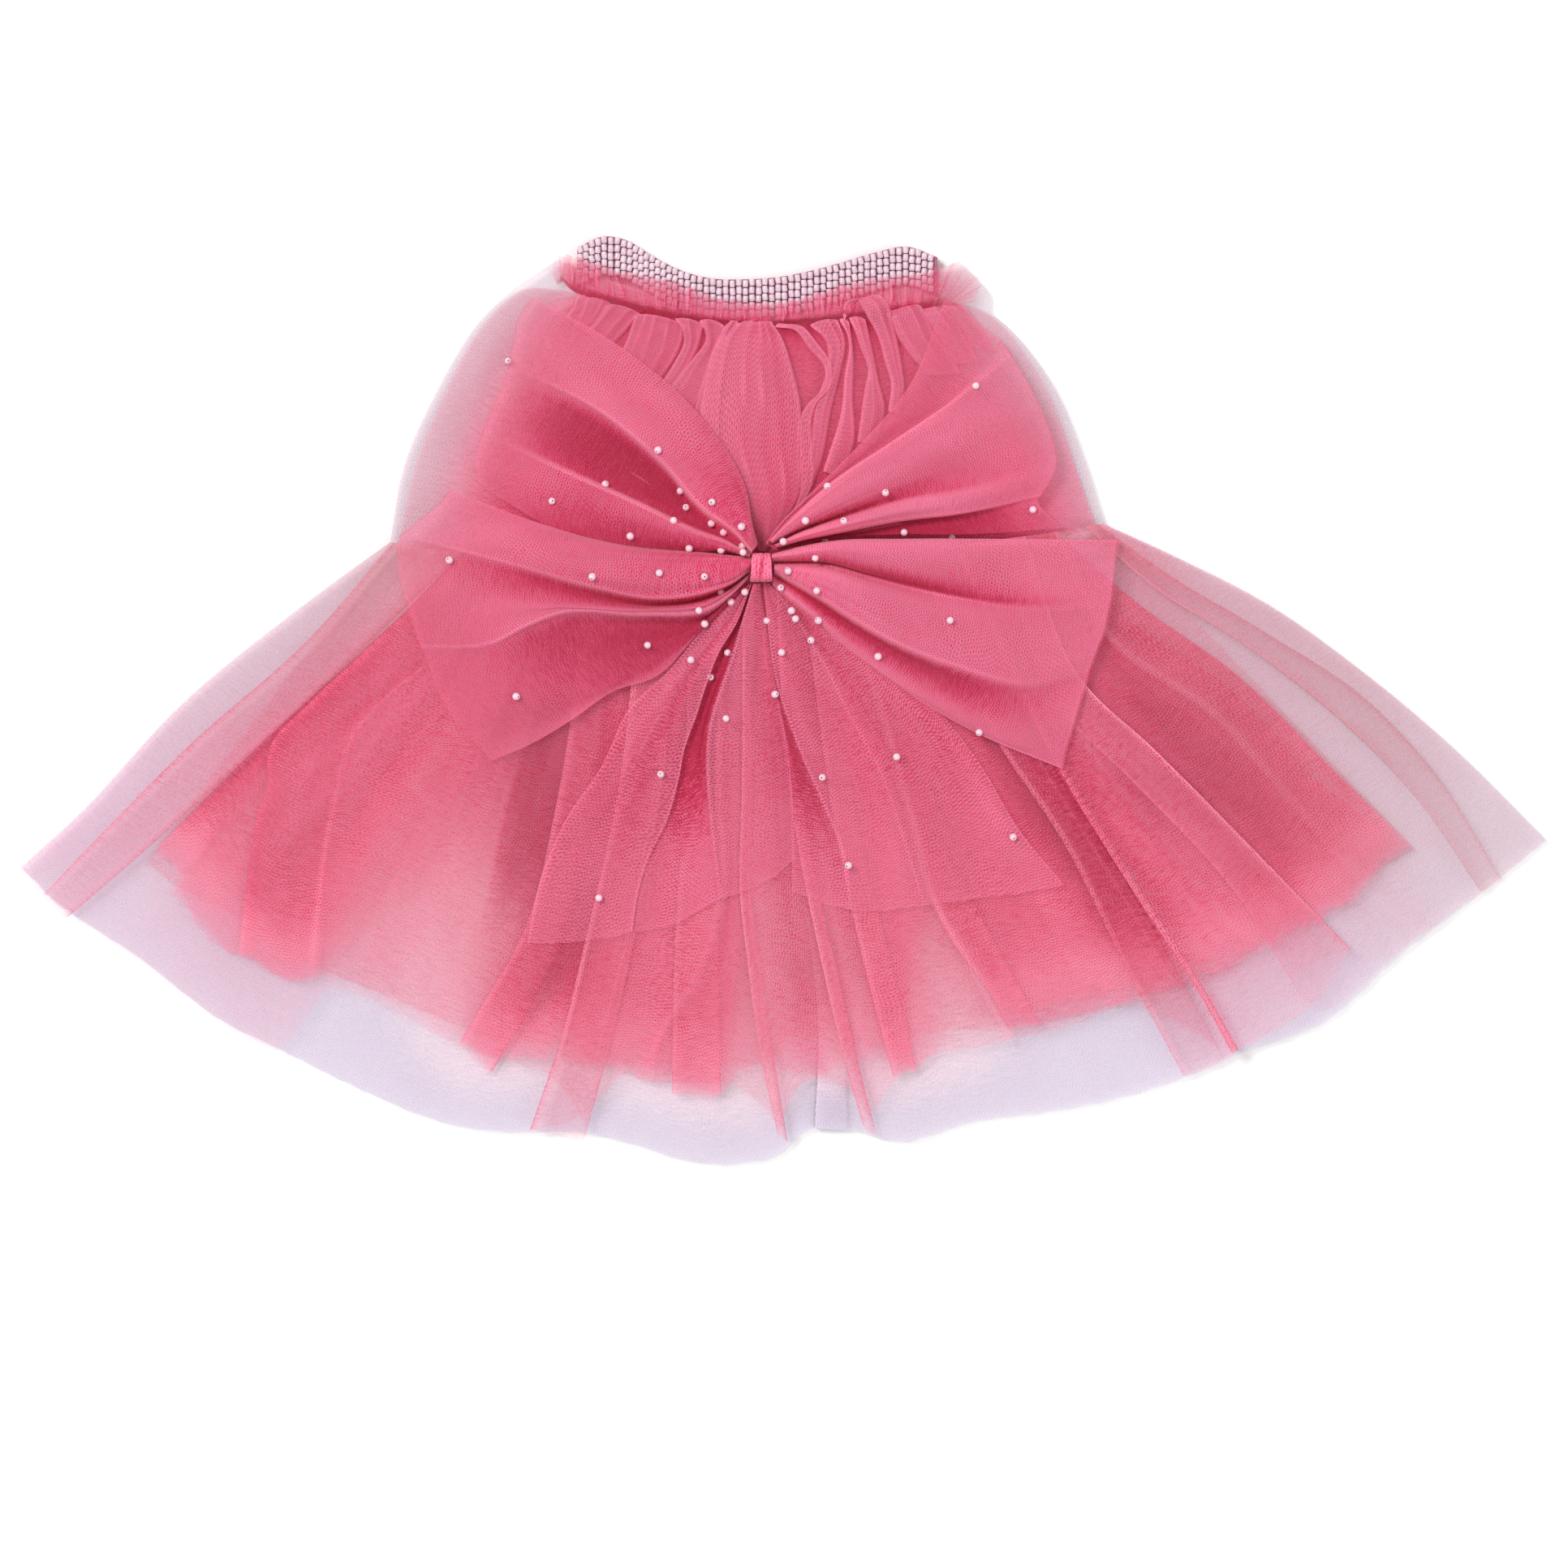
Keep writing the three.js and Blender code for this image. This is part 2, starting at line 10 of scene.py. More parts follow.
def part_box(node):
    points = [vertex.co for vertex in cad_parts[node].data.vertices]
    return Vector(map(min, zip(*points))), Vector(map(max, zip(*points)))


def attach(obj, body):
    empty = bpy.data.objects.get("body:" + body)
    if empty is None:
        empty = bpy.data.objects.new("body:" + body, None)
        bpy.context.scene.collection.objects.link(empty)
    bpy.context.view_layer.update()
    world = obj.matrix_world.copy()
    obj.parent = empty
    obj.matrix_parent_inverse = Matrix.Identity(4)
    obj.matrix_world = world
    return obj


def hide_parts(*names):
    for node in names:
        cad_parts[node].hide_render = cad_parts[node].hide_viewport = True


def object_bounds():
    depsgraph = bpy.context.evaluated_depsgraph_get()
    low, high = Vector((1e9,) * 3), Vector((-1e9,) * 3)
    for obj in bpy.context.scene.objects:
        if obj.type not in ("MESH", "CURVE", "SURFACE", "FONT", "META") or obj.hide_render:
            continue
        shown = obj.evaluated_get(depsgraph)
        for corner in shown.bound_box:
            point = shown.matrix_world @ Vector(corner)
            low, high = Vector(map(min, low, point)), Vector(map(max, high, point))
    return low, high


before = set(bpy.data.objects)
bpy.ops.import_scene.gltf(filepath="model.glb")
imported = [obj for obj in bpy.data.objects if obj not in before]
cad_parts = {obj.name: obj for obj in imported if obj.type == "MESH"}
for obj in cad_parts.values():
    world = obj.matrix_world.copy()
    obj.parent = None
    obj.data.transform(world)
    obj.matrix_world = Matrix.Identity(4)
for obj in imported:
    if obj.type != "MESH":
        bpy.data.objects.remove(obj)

CAD_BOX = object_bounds()
MM = 0.001

# ---- sizes shared with the part, in mm ---------------------------------------------------------------------
WALL, GAP = 1.0, 0.3
LEVEL = WALL + GAP
YOKE_WALL, BAND_WALL, BAND_HEIGHT = 2.0, 2.6, 14.5
APEX = (-12.0, 156.5)
RAMP = (150.0, 260.0)
BOW_CLEARANCE = 1.5
PUFF = np.array([  # y, left, right, rise
    (175, -80, 62, 1), (155, -93, 73, 2), (140, -112, 80, 3.5), (117, -125, 98, 6.5), (95, -136, 109, 9),
    (72, -144, 116, 10.6), (57, -148, 134, 11), (35, -175, 175, 10.4), (12, -203, 207, 8.6), (-17, -236, 245, 6.2),
    (-47, -267, 278, 4.4), (-85, -270, 270, 2.8), (-115, -240, 235, 1.8), (-140, -200, 190, 1), (-175, -120, 110, 0.3),
])
YOKE = np.array([  # left x, left y, right x, right y, sag, rim
    (-80, 151, 61, 147.2, 10.7, 0), (-97.5, 151, 76.5, 142.5, 16.5, 1), (-114, 137, 89, 131, 19, 2),
    (-129, 111.5, 102, 111.5, 16.5, 3), (-140, 86, 112, 86, 13.5, 4), (-145.2, 57.8, 118.2, 64.7, 10.4, 3),
])
FOLDS = np.array([  # degrees from straight down, rise
    (-51.1, 0), (-48.5, 1.2), (-44.5, .2), (-40, 1.6), (-36, 0), (-32, 1.4), (-28, .2), (-23.5, 1.2), (-19.5, .3),
    (-15.5, 2.6), (-11.5, 2.2), (-8, .2), (-3.5, 1.4), (1.5, 2.2), (5.5, 0), (9.5, 2), (14.5, .4), (19, 1.6),
    (23.5, .2), (28, 1.4), (32.5, 2.4), (37, 2.2), (41.5, .4), (46, 1.4), (50.5, .3), (54.7, 0),
])
NECK = np.array([  # x, band top, frill top, lean
    (-76, 166.5, 162.6, -6), (-67, 170.6, 160, -3), (-58, 169.4, 157.3, -1), (-48, 163.4, 155.9, 0),
    (-38, 158.3, 153.6, 0), (-27, 155.3, 148.6, 0), (-15, 154.9, 146.5, 0), (-2, 155.7, 146.1, 0),
    (10, 158, 149.1, 0), (22, 161.2, 152.6, 0), (34, 164.8, 155.1, 1), (46, 166.9, 158, 4), (57, 163, 161, 9),
])

FRILL = np.array([  # gather line x and y, top x and y, fullness
    (-83.4, 152.8, -86.7, 158.2, 0.12), (-82.5, 153.2, -84.3, 160.9, 0.25), (-81, 153.8, -81.9, 163, 0.6),
    (-78.6, 151.3, -79.5, 163.3, 0.85), (-75.3, 149.5, -76.2, 162.8, 1), (-66, 147, -66.9, 160, 1),
    (-56.7, 144.4, -57.9, 157.3, 1), (-47.4, 142, -48, 155.5, 1), (-38.1, 140.2, -38.1, 153.2, 1),
    (-27, 138.8, -27, 148.7, 1), (-15, 138.2, -15, 146.5, 1), (-2.1, 138.2, -2.1, 146.2, 1),
    (9.9, 138.8, 9.9, 148.9, 1), (21.9, 139.9, 21.9, 152.5, 1), (33.9, 141.4, 33.9, 154.9, 1),
    (44.1, 142.9, 44.1, 156.2, 1), (50.7, 143.8, 51.6, 157.3, 1), (54.3, 144.4, 57.3, 159.2, 0.85),
    (56.4, 144.8, 62.1, 160.3, 0.6), (58.2, 145, 67.5, 159.2, 0.45), (59.7, 145, 71.4, 155.8, 0.4),
    (61.2, 145, 72.6, 151.3, 0.35), (62.1, 144.8, 71.4, 146.2, 0.15),
])

# The sheer overlay: plies, painted light and shade, and a fold line from the waist to the hem, each point x, y and lift
# above its layer. Plies and painted light and shade may change along the line.
SKIRT_OVERLAY = [
    ((0.7, 0.8, 0.9, 1, 1.1, 1.1), (0, 0, 0.1, 0.3, 0.5, 0.6), [(-145.2, 57.8, 0), (-178.2, 33.8, 0), (-222.6, -2.5, 0), (-260.1, -42.8, 0), (-281.4, -61.9, 0)]),
    ((0.6, 0.7, 0.8, 0.7, 0.6), (0, 0, 0.1, 0.3, 0.6), [(-139.5, 57, 0), (-170.7, 26.8, 0), (-213, -11.5, 0), (-254.1, -52, 0), (-275.7, -71.2, 0)]),
    ((0.9, 0.95, 0.9, 0.75, 0.55), 0, [(-117.9, 54.6, 0.1), (-154.5, 20.2, 0.1), (-190.5, -13.9, 0.1), (-234.9, -54.1, 0.1), (-264.6, -78.8, 0.1)]),
    ((1.59, 1.74, 1.59, 1.16, 0.72), 0.55, [(-119.1, 54.7, 0.5), (-155.7, 20.6, 0.5), (-191.7, -13.7, 0.5), (-236.1, -53.5, 0.5), (-265.5, -77.5, 0.5)]),
    ((1.06, 1.13, 1.11, 0.96, 0.74, 0.51), (0, 0, 0, 0, 0, 0), [(-120.1, 54.8, 0.5), (-156.7, 20.6, 0.51), (-192.6, -13.3, 0.51), (-236.9, -53.1, 0.51), (-266.2, -76.9, 0.51)]),
    ((0.8, 0.9, 0.95, 0.75, 0.55), 0, [(-143.7, 57.6, 0.6), (-174.9, 21.1, 0.6), (-217.5, -16.9, 0.6), (-248.4, -48.1, 0.6), (-271.2, -72.5, 0.6)]),
    ((0.7, 0.75, 0.75, 0.6, 0.45), 0, [(-142.5, 57.4, 1), (-173.4, 20.6, 1), (-216, -17.8, 1), (-247.2, -49.4, 1), (-269.7, -73.3, 1)]),
    ((1.1, 1, 0.8, 0.5, 0.4), (0, 0, 0.1, 0.4, 0.6), [(-115.5, 54.4, 1), (-150.9, 14.8, 1), (-186, -19.9, 1), (-225, -56.5, 1), (-252, -86.5, 1)]),
    ((1, 1, 1, 0.9, 0.55), (0, 0, 0.1, 0.3, 0.5), [(-109.5, 53.8, 0.8), (-141, 3.4, 0.8), (-174, -29.5, 0.8), (-202.5, -62.5, 0.8), (-222.6, -107.2, 0.8)]),
    ((1, 1, 1, 0.9, 0.6), (0, 0, 0, 0.3, 0.5), [(-102, 53.2, 0.6), (-127.5, 0.4, 0.6), (-154.5, -35.5, 0.6), (-175.5, -71.5, 0.6), (-189.3, -130.3, 0.6)]),
    ((1, 1, 1, 1, 0.6), (0, 0, 0, 0.3, 0.5), [(-97.5, 52.8, 0.4), (-120, 0.4, 0.4), (-142.5, -35.5, 0.4), (-157.5, -68.5, 0.4), (-176.4, -118.3, 0.4)]),
    ((1, 1, 1, 1, 0.6), (0, 0, 0, 0.3, 0.5), [(-93, 52.5, 0.4), (-112.5, -2.5, 0.4), (-130.5, -38.5, 0.4), (-148.5, -74.5, 0.4), (-166.2, -106.6, 0.4)]),
    ((1, 1, 1, 1.1, 0.8), (0, 0, 0, 0.3, 0.5), [(-85.5, 52, 0.3), (-103.5, -5.5, 0.3), (-117, -41.5, 0.3), (-130.5, -80.5, 0.3), (-141.9, -115.6, 0.3)]),
    ((1, 1, 1, 1.1, 0.9), (0, 0, 0, 0.3, 0.5), [(-78, 51.6, 0.3), (-93, -8.5, 0.3), (-103.5, -44.5, 0.3), (-114, -86.5, 0.3), (-121.5, -126.8, 0.3)]),
    (1, 0, [(-69, 51.2, 0.3), (-80.1, -11.5, 0.3), (-89.1, -47.5, 0.3), (-97.5, -92.5, 0.3), (-103.5, -132.8, 0.3)]),
    (1, 0, [(-62.4, 50.9, 0.4), (-71.1, -14.5, 0.4), (-78.9, -53.5, 0.4), (-86.7, -98.5, 0.4), (-89.1, -136.9, 0.4)]),
    ((1.3, 1.3, 1.2, 0.8, 0.6), 0, [(-38.1, 50.5, 0.2), (-45.9, -29.5, 0.2), (-55.8, -85.6, 0.2), (-65.1, -123.1, 0.2), (-76.2, -162.8, 0.2)]),
    ((2.17, 2.17, 1.89, 1.3, 1.01), 0.55, [(-39, 50.5, 0.5), (-47.1, -29.5, 0.5), (-57, -85.6, 0.5), (-66.6, -123.1, 0.5), (-77.4, -162.4, 0.5)]),
    ((1.5, 1.5, 1.38, 1.14, 0.86, 0.7), (0, 0, 0, 0, 0, 0), [(-40, 50.5, 0.53), (-48.1, -29.5, 0.53), (-57.9, -85.5, 0.53), (-67.5, -123, 0.53), (-78.3, -162.2, 0.52)]),
    ((1.5, 1.5, 1.3, 0.9, 0.7), 0, [(-51.9, 50.7, 0.9), (-60, -32.5, 0.9), (-72.3, -88.6, 0.9), (-80.7, -123.1, 0.9), (-92.7, -158.5, 0.9)]),
    ((1.74, 1.74, 1.59, 1.16, 0.87), 0.55, [(-50.7, 50.6, 1.3), (-58.8, -32.5, 1.3), (-71.1, -88.6, 1.3), (-79.5, -123.1, 1.3), (-91.5, -158.8, 1.3)]),
    ((1.17, 1.17, 1.12, 0.98, 0.8, 0.66), (0, 0, 0, 0, 0, 0), [(-49.7, 50.6, 1.28), (-57.9, -32.4, 1.28), (-70.2, -88.4, 1.28), (-78.6, -122.9, 1.28), (-90.6, -158.5, 1.29)]),
    (1, 0, [(-36.9, 50.5, 1), (-44.1, -29.5, 1), (-53.7, -85.6, 1), (-62.7, -123.1, 1), (-72.9, -152.5, 1)]),
    (1, 0, [(-32.7, 50.5, 0.6), (-39.3, -29.5, 0.6), (-47.7, -85.6, 0.6), (-54.3, -116.5, 0.6), (-59.1, -138.8, 0.6)]),
    (1, 0, [(-24.3, 50.6, 0.3), (-25.5, -35.5, 0.3), (-24.9, -68.5, 0.3), (-32.1, -97, 0.3), (-47.7, -125.5, 0.3), (-52.5, -140.5, 0.3)]),
    (1.71, 0, [(-23.1, 50.6, 1.7), (-23.7, -35.5, 1.7), (-22.5, -70, 1.7), (-30, -98.5, 1.7), (-45.9, -126.4, 1.7), (-49.5, -141.2, 1.7)]),
    (1, 0, [(-21.9, 50.6, 0.4), (-21.9, -35.5, 0.4), (-20.4, -70, 0.4), (-27.6, -100, 0.4), (-43.5, -127.6, 0.4), (-45.9, -141.8, 0.4)]),
    (1, 0, [(-17.1, 50.7, 0.2), (-17.1, -37, 0.2), (-17.1, -68.5, 0.2), (-18, -101.5, 0.2), (-19.5, -141.8, 0.2)]),
    ((1.4, 1.4, 1.3, 1.2, 0.9, 0.6), 0, [(-14.1, 50.8, 0.2), (-12.3, -37, 0.2), (-12.9, -72.5, 0.2), (-9.3, -98.5, 0.2), (-4.5, -131.5, 0.2), (1.2, -163.3, 0.2)]),
    ((2.32, 2.32, 2.17, 1.89, 1.45, 0.87), 0.55, [(-14.4, 50.8, 0.7), (-13.8, -37, 0.7), (-14.4, -72.5, 0.7), (-11.1, -98.5, 0.7), (-6.6, -131.5, 0.7), (-0.6, -161.5, 0.7)]),
    ((1.89, 1.89, 1.89, 1.74, 1.45, 0.87), 0.55, [(-15, 50.8, 1.2), (-15.3, -37, 1.2), (-15.9, -72.5, 1.2), (-12.9, -98.5, 1.2), (-8.4, -131.5, 1.2), (-2.1, -160, 1.2)]),
    ((1.28, 1.3, 1.36, 1.35, 1.21, 0.75), (0, 0, 0, 0.01, 0.03, 0.03), [(-14, 50.8, 0.99), (-14.8, -36.3, 1.13), (-15.4, -71.6, 1.15), (-12.5, -97.7, 1.15), (-8.1, -130.6, 1.16), (-1.7, -159.2, 1.17)]),
    ((1.2, 1.3, 1.7, 2.2, 2.4, 1.6), (0, 0, 0, 0.1, 0.2, 0.2), [(-12.3, 50.8, 0.6), (-10.5, -37, 0.6), (-9.9, -72.5, 0.6), (-6, -101.5, 0.6), (-1.5, -128.5, 0.6), (6, -142.3, 0.6)]),
    ((1.2, 1.3, 1.8, 2.4, 2.4, 1.2), (0, 0, 0, 0.1, 0.2, 0.2), [(-7.5, 51, 0.3), (-3, -37, 0.3), (0.9, -72.5, 0.3), (6, -101.5, 0.3), (12, -128.5, 0.3), (19.5, -141.2, 0.3)]),
    ((1.4, 1.4, 1.3, 1.2, 0.9, 0.6), 0, [(-2.1, 51.2, 0.2), (6.3, -41.5, 0.2), (12.3, -71.5, 0.2), (18.6, -98.5, 0.2), (25.5, -128.5, 0.2), (33.3, -160.3, 0.2)]),
    ((2.32, 2.32, 2.17, 1.89, 1.45, 0.87), 0.55, [(-2.7, 51.1, 0.8), (4.8, -41.5, 0.8), (10.5, -71.5, 0.8), (16.5, -98.5, 0.8), (23.4, -128.5, 0.8), (31.2, -159.2, 0.8)]),
    ((1.89, 1.89, 1.89, 1.74, 1.45, 0.87), 0.55, [(-3.3, 51.1, 1.2), (3.3, -41.5, 1.2), (8.7, -71.5, 1.2), (14.4, -98.5, 1.2), (21.3, -128.5, 1.2), (29.4, -157, 1.2)]),
    ((1.27, 1.28, 1.31, 1.26, 1.07, 0.66), (0, 0, 0, 0.01, 0.03, 0.03), [(-2.3, 51.2, 1.06), (4, -40.9, 1.14), (9.3, -70.8, 1.14), (14.9, -97.8, 1.15), (21.8, -127.7, 1.16), (30, -156.3, 1.17)]),
    ((1.1, 1.2, 1.4, 1.6, 1.5, 1), (0, 0, 0, 0.1, 0.2, 0.2), [(0.9, 51.3, 0.6), (10.5, -41.5, 0.6), (17.1, -71.5, 0.6), (24, -101.5, 0.6), (32.1, -128.5, 0.6), (40.5, -141.8, 0.6)]),
    (1, 0, [(10.5, 51.8, 0.3), (28.5, -41.5, 0.3), (37.5, -71.5, 0.3), (45.9, -101.5, 0.3), (55.5, -131.5, 0.3)]),
    (1, 0, [(18.9, 52.3, 0.3), (44.1, -41.5, 0.3), (53.1, -73.3, 0.3), (66.9, -98.5, 0.3), (81.9, -126.1, 0.3)]),
    (2.32, 0.55, [(20.1, 52.3, 1.5), (46.5, -41.5, 1.5), (54.9, -72.8, 1.5), (68.4, -96.8, 1.5), (83.4, -125.2, 1.5)]),
    (1, 0, [(21.6, 52.4, 0.4), (48.6, -41.5, 0.4), (57, -72.1, 0.4), (70.5, -95.5, 0.4), (85.5, -124.9, 0.4)]),
    (1, 0, [(31.5, 53.2, 0.2), (58.5, -26.6, 0.2), (75, -62.5, 0.2), (91.5, -95.5, 0.2), (106.5, -120.1, 0.2)]),
    (1, 0, [(42, 54.1, 0.2), (69, -17.6, 0.2), (91.5, -53.5, 0.2), (109.5, -86.5, 0.2), (126.9, -113, 0.2)]),
    ((1.5, 1.6, 1.4, 0.9, 0.4), (-0.3, -0.6, -0.7, -0.4, 0), [(58.5, 55.8, 0.3), (96.9, -25.1, 0.3), (118.2, -59.2, 0.3), (144.6, -104, 0.3), (160.8, -133.7, 0.3)]),
    ((2.17, 2.32, 2.03, 1.3, 0.65), (0.25, -0.05, -0.15, 0.15, 0.55), [(57.6, 55.7, 0.6), (95.7, -25.3, 0.6), (117, -59.5, 0.6), (143.4, -104.2, 0.6), (159.6, -133.9, 0.6)]),
    ((1.5, 1.58, 1.48, 1.2, 0.81, 0.46), (-0.27, -0.5, -0.62, -0.56, -0.32, 0), [(56.6, 55.6, 0.64), (94.8, -25.5, 0.64), (116.1, -59.8, 0.64), (142.5, -104.6, 0.63), (158.7, -134.3, 0.63)]),
    ((1.5, 1.6, 1.4, 0.9, 0.5), (-0.1, -0.3, -0.5, -0.4, 0), [(48, 54.7, 1), (80.1, -17.6, 1), (102.3, -50.5, 1), (126, -98.5, 1), (147.6, -139, 1)]),
    ((1.89, 2.17, 1.89, 1.3, 0.58), (0.45, 0.35, 0.15, 0.05, 0.55), [(49.2, 54.8, 1.5), (81.6, -17.6, 1.5), (103.8, -50.5, 1.5), (127.5, -98.5, 1.5), (149.1, -138.8, 1.5)]),
    ((1.28, 1.46, 1.4, 1.18, 0.84, 0.43), (-0.13, -0.25, -0.4, -0.49, -0.41, 0.01), [(50.2, 54.9, 1.49), (82.5, -17.3, 1.49), (104.7, -50.4, 1.49), (128.4, -98.2, 1.49), (150, -138.4, 1.49)]),
    ((1.2, 1.5, 1.5, 1.2, 0.6), (-0.3, -0.7, -0.9, -0.6, 0.1), [(60.9, 56.1, 1.4), (99.9, -26.6, 1.4), (122.1, -60.8, 1.4), (148.5, -105.1, 1.4), (162.6, -133.3, 1.4)]),
    ((1.3, 1.4, 1.5, 1.5, 1), (0, -0.3, -0.4, -0.1, 0.4), [(63.9, 56.4, 1), (105, -28.1, 1), (129.6, -67, 1), (156.9, -110, 1), (167.7, -129.2, 1)]),
    ((1.3, 1.4, 1.5, 1.5, 1), (0, -0.3, -0.4, -0.1, 0.4), [(63, 56.3, 1.4), (102.9, -28.6, 1.4), (126.9, -68, 1.4), (154.5, -110.5, 1.4), (165.3, -130.3, 1.4)]),
    ((1.1, 1.2, 1.4, 1.6, 1.1), (0, -0.3, -0.4, -0.1, 0.4), [(67.5, 56.8, 1.6), (108.9, -28.1, 1.6), (135, -67, 1.6), (162, -108.1, 1.6), (172.8, -126.4, 1.6)]),
    ((1, 1.1, 1.2, 1.5, 1), (0, 0, 0, 0.3, 0.5), [(75, 57.8, 1.4), (114, -20.6, 1.4), (147, -59.5, 1.4), (174, -95.5, 1.4), (191.4, -115.9, 1.4)]),
    ((1.51, 1.45, 1.4, 1.25, 0.99, 0.66), (0, 0, 0, 0.02, 0.05, 0.07), [(88.1, 59.7, 1.68), (108.9, 6.7, 1.67), (135.7, -19, 1.68), (178.8, -62.4, 1.69), (208.5, -93, 1.69)]),
    ((2.32, 2.17, 2.03, 1.45, 0.87), 0.55, [(89.1, 59.8, 1.7), (109.8, 7, 1.7), (136.5, -18.4, 1.7), (179.4, -61.6, 1.7), (209.1, -92.2, 1.7)]),
    ((1.4, 1.4, 1.2, 0.9, 0.5), 0, [(87.9, 59.6, 1), (108.3, 6.5, 1), (134.7, -19.1, 1), (177.3, -62.2, 1), (207, -92.8, 1)]),
    ((1, 1, 0.9, 0.7, 0.4), 0, [(80.1, 58.5, 0.5), (100.5, -2.5, 0.5), (127.5, -29.5, 0.5), (166.5, -71.5, 0.5), (188.1, -104.5, 0.5)]),
    ((1, 1, 0.9, 0.6, 0.35), 0, [(81.9, 58.8, 0.2), (102.9, -1.9, 0.2), (130.5, -28.9, 0.2), (171, -71, 0.2), (194.1, -113.5, 0.2)]),
    ((1, 1, 0.9, 0.7, 0.45), 0, [(93, 60.4, 0.1), (114, 13.9, 0.1), (151.5, -19.1, 0.1), (196.5, -68.5, 0.1), (221.1, -98.5, 0.1)]),
    ((1.1, 0.7), 0, [(99.3, 61.4, 0.2), (117.6, 23.2, 0.2), (159.6, -9.2, 0.2), (180.9, -33.1, 0.2), (208.5, -65.5, 0.2), (231.9, -88.6, 0.2)]),
    ((2.03, 1.89, 1.74, 1.45, 1.01, 0.72), 0.55, [(100.2, 61.5, 0.8), (118.5, 24.8, 1.5), (160.5, -7.3, 1.5), (182.4, -31.6, 1.3), (210, -64, 0.2), (233.7, -87.1, 0.1)]),
    ((1.3, 0.8), 0, [(101.4, 61.7, 0.2), (119.7, 26.2, 0.2), (161.7, -5.5, 0.2), (184.5, -30.1, 0.2), (212.1, -62.5, 0.2), (236.1, -86, 0.2)]),
    ((1.5, 1.4, 1.1, 0.75, 0.4), 0, [(106.5, 62.6, 0.1), (133.5, 31.9, 0.1), (174, 5, 0.1), (214.5, -34, 0.1), (247.5, -78.1, 0.1)]),
    ((1.3, 1.1, 0.85, 0.6, 0.35), 0, [(115.5, 64.2, 0.1), (139.5, 46.6, 0.1), (176.7, 24.4, 0.1), (213, 0.1, 0.1), (238.5, -26.6, 0.1), (264.3, -66.8, 0.1)]),
    ((0.8, 0.72, 0.65, 0.51, 0.36), 0.55, [(114.9, 64, 0.5), (138.6, 46, 0.5), (175.8, 23.8, 0.5), (211.8, -0.8, 0.5), (237.3, -27.4, 0.5), (263.1, -67.3, 0.5)]),
    ((0.55, 0.51, 0.47, 0.41, 0.33, 0.25), (0, 0, 0, 0, 0, 0), [(114, 63.9, 0.57), (137.7, 45.7, 0.55), (175, 23.4, 0.54), (211, -1.3, 0.53), (236.5, -28, 0.53), (262.3, -67.9, 0.55)]),
    ((0.55, 0.5, 0.45, 0.35, 0.25), 0, [(111, 63.4, 0.8), (137.1, 40.4, 0.8), (169.5, 19.9, 0.8), (202.5, -5.5, 0.8), (231, -34, 0.8), (258, -71, 0.8)]),
    ((1.16, 1.01, 0.8, 0.58, 0.43), 0.55, [(111.6, 63.5, 1), (138, 40.4, 1), (170.4, 20.6, 1), (203.7, -5, 1), (232.5, -33.4, 1), (260.1, -70, 1)]),
    ((0.86, 0.77, 0.65, 0.51, 0.39, 0.31), (0, 0, 0, 0, 0, 0), [(112.5, 63.6, 0.9), (138.8, 40.9, 0.95), (171.1, 21.2, 0.96), (204.4, -4.3, 0.96), (233.2, -32.8, 0.96), (260.8, -69.4, 0.97)]),
    ((1.2, 1, 0.75, 0.5, 0.35), 0, [(116.1, 64.3, 0.5), (140.7, 49, 0.5), (178.5, 28.1, 0.5), (217.5, 0.4, 0.5), (244.5, -26.6, 0.5), (272.1, -59.5, 0.5)]),
    ((1, 0.85, 0.65, 0.45, 0.35), 0, [(118.2, 64.6, 0), (142.8, 53.5, 0), (180, 34.4, 0), (213, 10.9, 0), (246, -16.6, 0), (281.7, -51.4, 0)]),
]
